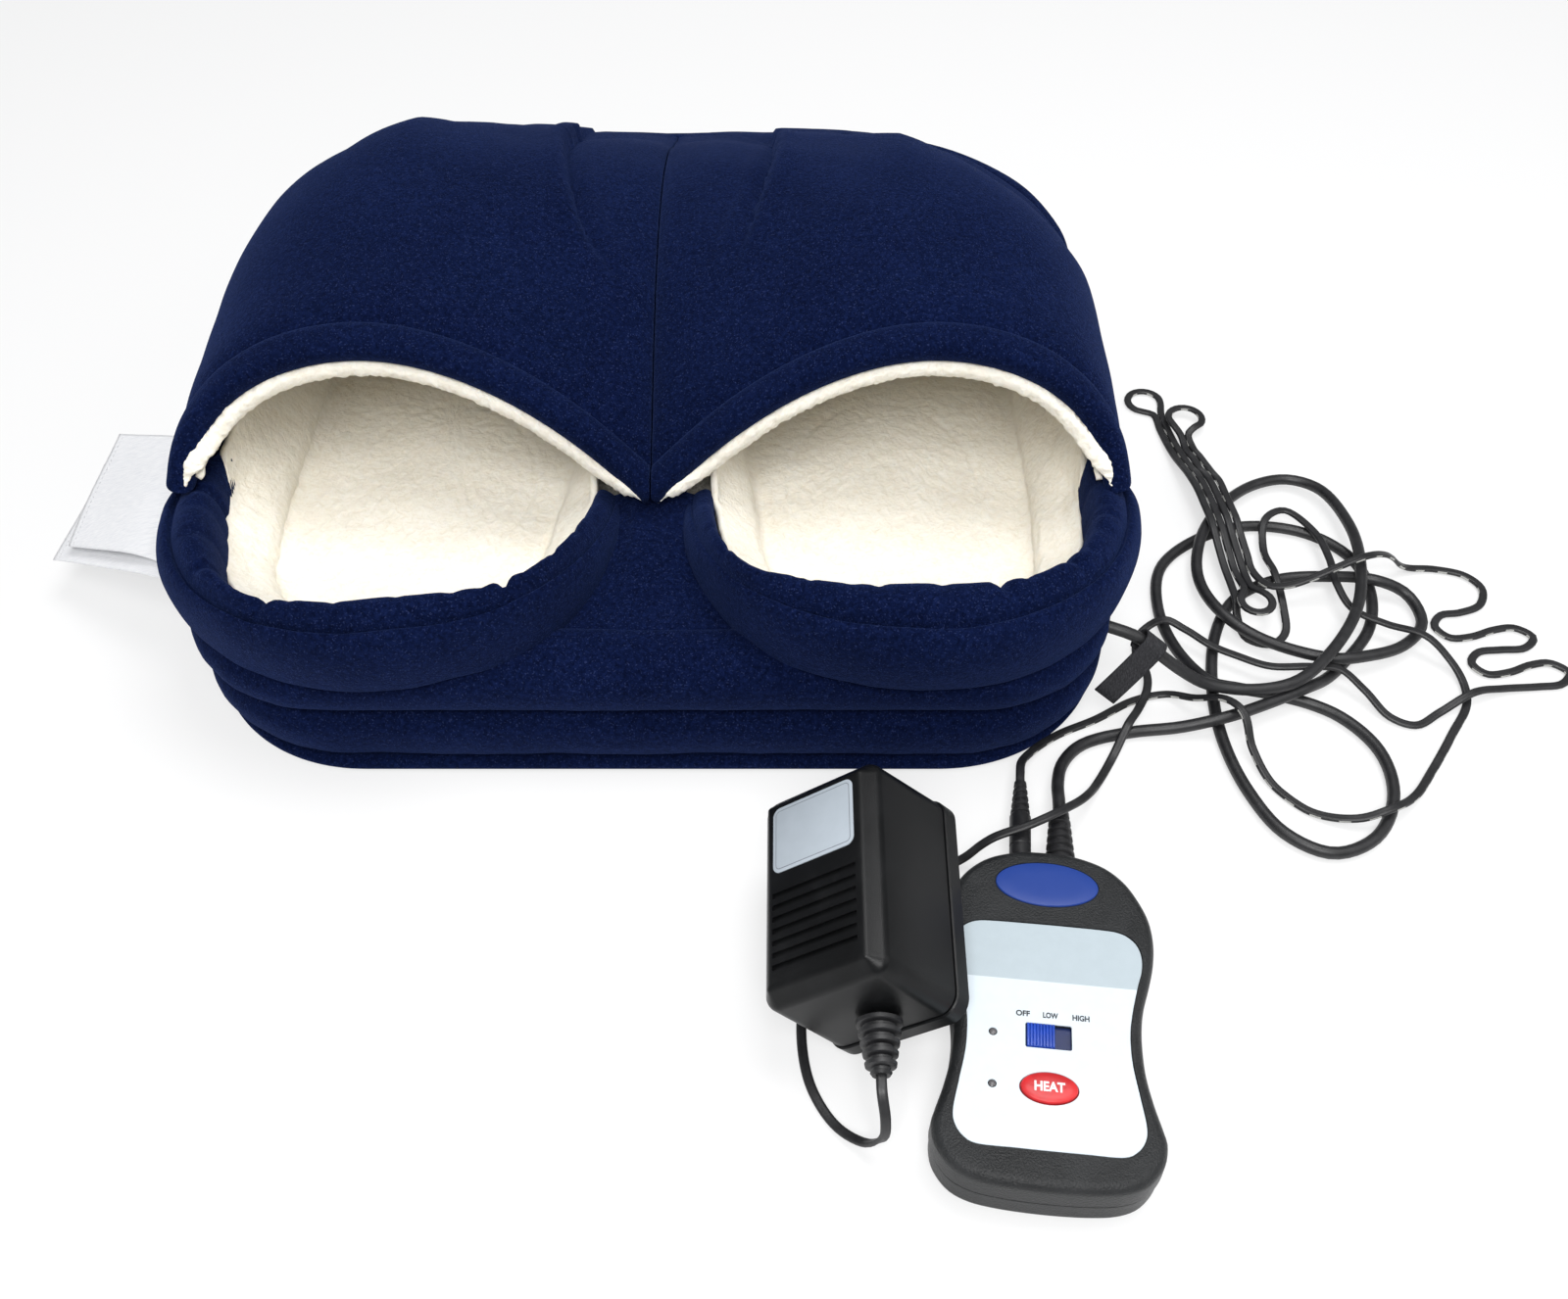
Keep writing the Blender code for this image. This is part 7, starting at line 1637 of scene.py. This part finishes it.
def knob():
    """The ribbed slide at OFF, and the plate that it stands on, which shows beside it."""
    rest, half, deep = -0.00255, 0.00465, 0.0041
    low, high = TOP - 0.0027, TOP + 0.0006
    rib = ((0.04, 0.0), (0.16, 0.75), (0.30, 1.0), (0.70, 1.0), (0.84, 0.75), (0.96, 0.0))
    count = 9
    pitch = 2 * half / count
    columns = []
    for i in range(count):
        left = rest - half + pitch * i
        columns += [(left + pitch * share, high - 0.0006 * (1 - height)) for share, height in rib]
    rows = []
    for share in (-1.0, -0.985, -0.93, -0.80, 0.0, 0.80, 0.93, 0.985, 1.0):
        ends = 1.0 - abs(share)
        drop = 0.0004 if ends < 0.01 else (0.0001 if ends < 0.10 else 0.0)
        y = WINDOW[2] + deep * share
        rows.append([(columns[0][0], y, low)] + [(x, y, z - drop) for x, z in columns]
                    + [(columns[-1][0], y, low)])
    grid = moved(np.array(rows), CONTROL)
    hard(loft("slide_knob", grid, BLUE, nodes=("switch_knob",), slot="blue_plastic", body="switch"), 40.0)
    solid("slide_plate", rounded(half + 0.0060, deep + 0.0013, (rest, WINDOW[2]), 0.0008),
          ((0.0, TOP - 0.0036), (0.0, TOP - 0.0025), (0.0002, TOP - 0.0023)), DEEP_BLUE, CONTROL,
          slot="blue_plastic", body="switch")


def button():
    dome = [(-0.0014, TOP - 0.0037), (-0.0014, TOP - 0.0024), (0.0, TOP - 0.0023), (0.0, TOP + 0.0004),
            (0.0003, TOP + 0.0008), (0.0009, TOP + 0.00105), (0.0020, TOP + 0.0012), (0.0032, TOP + 0.00125)]
    solid("heat_key", oval(*BUTTON, 96), dome, RED, CONTROL, nodes=("heat_button",), slot="red_button",
          body="button")
    words("print_heat", "HEAT", (0.0, BUTTON[2], TOP + 0.00126), 0.0034, 0.0098, INK_WHITE, "button", 0.0001)


def boot_and_plug():
    """The cable's guard, and the plug on the lead, both turned about the controller's length."""
    along = Matrix.Rotation(math.radians(-90.0), 4, "X")
    place = CONTROL @ Matrix.Translation((BOOT_X, 0.0, PARTING)) @ along
    profile = [(0.0054, 0.0562), (0.0054, 0.0584), (0.0042, 0.0585), (0.0042, 0.0636), (0.0053, 0.0637)]
    profile += ribs(0.0638, 0.0850, 0.0057, 0.0040, 6, 0.0011)
    profile += [(0.0038, 0.0853), (0.0036, 0.0874), (0.0032, 0.0878)]
    turned_piece("cable_guard", profile, RUBBER, place, nodes=("cable_boot",), slot="cord_rubber")
    place = CONTROL @ Matrix.Translation((JACK_X, 0.0, PARTING)) @ along
    profile = [(0.0024, 0.0502), (0.0026, 0.0506), (0.0026, 0.0636), (0.0036, 0.0637), (0.0040, 0.0641),
               (0.0040, 0.0700), (0.0037, 0.0703), (0.0037, 0.0709), (0.0040, 0.0712), (0.0040, 0.0842),
               (0.0036, 0.0852)]
    profile += ribs(0.0855, 0.0980, 0.0037, 0.0026, 4, 0.0009) + [(0.0025, 0.0985), (0.0023, 0.1005)]
    return turned_piece("low_voltage_plug", profile, RUBBER, place, nodes=("dc_plug",), slot="cord_rubber",
                        body="supply_plug")


def adapter_shape(inset):
    half, long, radius = 0.0260, 0.0400, 0.0070
    return rounded(half - inset, long - inset, (0.0, 0.0), max(0.0006, radius - inset), 10)


def adapter():
    """The wall adapter: a grooved case with a label, its lid with the blades' slots, and the lead's guard."""
    thick = 0.0245
    seam = -thick + 0.0080
    front, over = thick - 0.0012, thick + 0.001
    rows = [(0.0005, seam + GAP), (0.0001, seam + GAP + 0.0004), (0.0006, 0.0), (0.0011, 0.0176),
            (0.0013, 0.0185), (0.0017, 0.0193), (0.0023, 0.0200), (0.0048, 0.0225), (0.0053, 0.0232),
            (0.0060, 0.0239), (0.0068, 0.0243), (0.0076, thick)]
    case = solid("adapter_body", adapter_shape, rows, ADAPTER, ADAPTER_FRAME, nodes=("adapter_case",),
                 slot="adapter_shell")
    label = rounded(0.0172, 0.0125, (0.0, 0.0195), 0.0030)
    grooves = [rounded(0.0175, 0.00095, (0.0, -0.0270 + 0.0043 * i), 0.0004, 3) for i in range(7)]
    cutters = [cutter(groove, front, over, ADAPTER_FRAME) for groove in grooves]
    cutters += [cutter(rounded(0.0236, 0.0376, (0.0, 0.0), 0.0050), seam - 0.001, 0.0160, ADAPTER_FRAME),
                cutter(rounded(0.0185, 0.0325, (0.0, 0.0), 0.0030), 0.0150, thick - 0.0030, ADAPTER_FRAME),
                cutter(label, thick - 0.0006, over, ADAPTER_FRAME, -GAP),
                rod_cutter(0.0030, -0.0050, 0.0046, -0.0410, -0.0340, ADAPTER_FRAME)]
    cut(case, cutters)
    solid("plain_label", label, ((0.0, thick - 0.00045), (0.0, thick - 0.00005), (0.00015, thick + 0.00003)),
          LABEL, ADAPTER_FRAME, nodes=("rating_label",), slot="blank_label")
    low, high = thick + 0.00002, thick + 0.00007
    rule = np.array([[(x, y, z) for x, y in drawn_in(label, inset)]
                     for inset, z in ((0.0012, low), (0.0012, high), (0.0015, high), (0.0015, low))])
    rim = loft("label_rule", moved(rule, ADAPTER_FRAME), LABEL_LINE, caps=False, slot="blank_label")
    rim.data.shade_flat()
    rows = ((0.0022, -thick), (0.0004, -thick + 0.0006), (-0.0006, -thick + 0.0018), (-0.0006, seam - 0.0004),
            (-0.0001, seam))
    back = solid("adapter_lid", adapter_shape, rows, ADAPTER, ADAPTER_FRAME, nodes=("adapter_back",),
                 slot="adapter_shell")
    slots = [rounded(0.00095, 0.00338, (x, 0.0200), 0.0003, 2) for x in (-0.00635, 0.00635)]
    cut(back, [cutter(slot, -thick - 0.001, seam + 0.001, ADAPTER_FRAME) for slot in slots])
    place = ADAPTER_FRAME @ Matrix.Translation((0.0030, -0.0400, -0.0050))
    place = place @ Matrix.Rotation(math.radians(90.0), 4, "X")
    profile = [(0.0062, -0.0045), (0.0062, -0.0034), (0.0042, -0.0033), (0.0042, 0.0002), (0.0064, 0.0004)]
    profile += ribs(0.0006, 0.0180, 0.0079, 0.0048, 5, 0.0018) + [(0.0036, 0.0183), (0.0030, 0.0192)]
    turned_piece("adapter_guard", profile, RUBBER, place, nodes=("adapter_strain_relief",),
                 slot="cord_rubber")


TAG_THICKNESS = 0.0004
STITCH_LIFT = 0.00028
STITCH_HALF = 0.00018
STITCH_HEIGHT = 0.00016
KEEPER_SIZE = (0.0102, 0.0457)
KEEPER_TAIL = 0.0262
KEEPER_RADIUS = 0.0041
KEEPER_THICKNESS = 0.0009


def stitch(start, end, up):
    """Points and faces of one raised stitch, faces counted from its own first point."""
    side = np.cross((end - start) / np.linalg.norm(end - start), up) * STITCH_HALF
    crest = (start + end) / 2 + up * STITCH_HEIGHT
    spots = [start - side, start + side, end + side, end - side, crest - side * 0.6, crest + side * 0.6]
    return spots, ((0, 1, 5, 4), (4, 5, 2, 3), (0, 4, 3), (1, 2, 5), (0, 3, 2, 1))


def tag(name, node, corners, sag, seed):
    """A satin care tag, blank, sewn in at its right edge and folded at its left."""
    front, back, far_back, far_front = (np.array(spot) for spot in corners)
    across, along = np.linspace(0.0, 1.0, 40), np.linspace(0.0, 1.0, 48)
    grid = np.zeros((len(across), len(along), 3))
    for i, out in enumerate(across):
        start, end = front + (far_front - front) * out, back + (far_back - back) * out
        grid[i] = start + (end - start) * along[:, None]
        grid[i, :, 2] -= sag * (out ** 1.8 - out)
    curl = np.sin(across * 5.2 + seed)[:, None] * 0.0009 + np.sin(along * 4.0 + seed)[None, :] * 0.0012
    grid[..., 2] += curl * ease(across, 0.0, 0.5)[:, None]
    work = piece(name, grid.reshape(-1, 3), sheet_faces(*grid.shape[:2]), SATIN, nodes=(node,),
                 slot="white_satin")
    face_up(work)
    thicken(work, TAG_THICKNESS)
    normal = vertex_normals(grid)
    normal *= np.sign(normal[..., 2:3].mean())
    spots, faces = [], []
    for row in (2, 37):
        line = grid[row] + normal[row] * STITCH_LIFT
        for k in range(1, 46, 2):
            points, quads = stitch(line[k] * 0.8 + line[k - 1] * 0.2, line[k] * 0.4 + line[k + 1] * 0.6,
                                   normal[row, k])
            faces += [tuple(len(spots) + index for index in quad) for quad in quads]
            spots += points
    sewing = piece(name + "_stitches", spots, faces, SATIN, slot="white_satin")


def tags():
    tag("lower_tag_sheet", "lower_care_tag",
        ((-0.1872, -0.1120, 0.0506), (-0.1872, -0.0400, 0.0506), (-0.2520, -0.0150, 0.0270),
         (-0.2600, -0.0690, 0.0190)), 0.010, 2.0)
    tag("upper_tag_sheet", "upper_care_tag",
        ((-0.1872, -0.1060, 0.0526), (-0.1872, -0.0320, 0.0526), (-0.2440, -0.0070, 0.0400),
         (-0.2500, -0.0700, 0.0300)), 0.012, 0.4)


def keeper():
    """The woven loop that ties the cable to the seam where it comes out."""
    start, end = Vector(CABLE_ROUTE[1]), Vector(CABLE_ROUTE[2])
    middle, axis = (start + end) / 2, (end - start).normalized()
    toward = Vector((-1.0, 0.0, 0.0))
    across = (toward - axis * toward.dot(axis)).normalized()
    up = axis.cross(across)
    rows = []
    for share in np.linspace(-0.5, 0.5, 9):
        spot = middle + axis * KEEPER_SIZE[0] * share
        line = [spot + across * (KEEPER_TAIL - KEEPER_TAIL * k / 8)
                - up * (KEEPER_RADIUS + 0.0004 * math.sin(math.pi * k / 8)) for k in range(9)]
        for k in range(1, 41):
            angle = -math.pi / 2 - math.radians(255.0) * k / 40
            line.append(spot + (across * math.cos(angle) + up * math.sin(angle))
                        * (KEEPER_RADIUS + 0.0005 * k / 40))
        rows.append(line)
    loop = piece("keeper_loop", np.array(rows).reshape(-1, 3), sheet_faces(9, 49), RIBBON,
                 nodes=("cord_keeper",), slot="keeper_ribbon")
    thicken(loop, KEEPER_THICKNESS, 0.0)


controller()
PLUG = boot_and_plug()
adapter()
tags()
keeper()


def dress_solids():
    """Gives what stays of the solids its finish."""
    slots = {entry["node"]: entry["material_slot"] for entry in frame["record"]["subparts"]}
    for node in NODES.values():
        if node.name in slots:
            node.data.materials.clear()
            node.data.materials.append(INNER_LOOKS[slots[node.name]])


dress_solids()
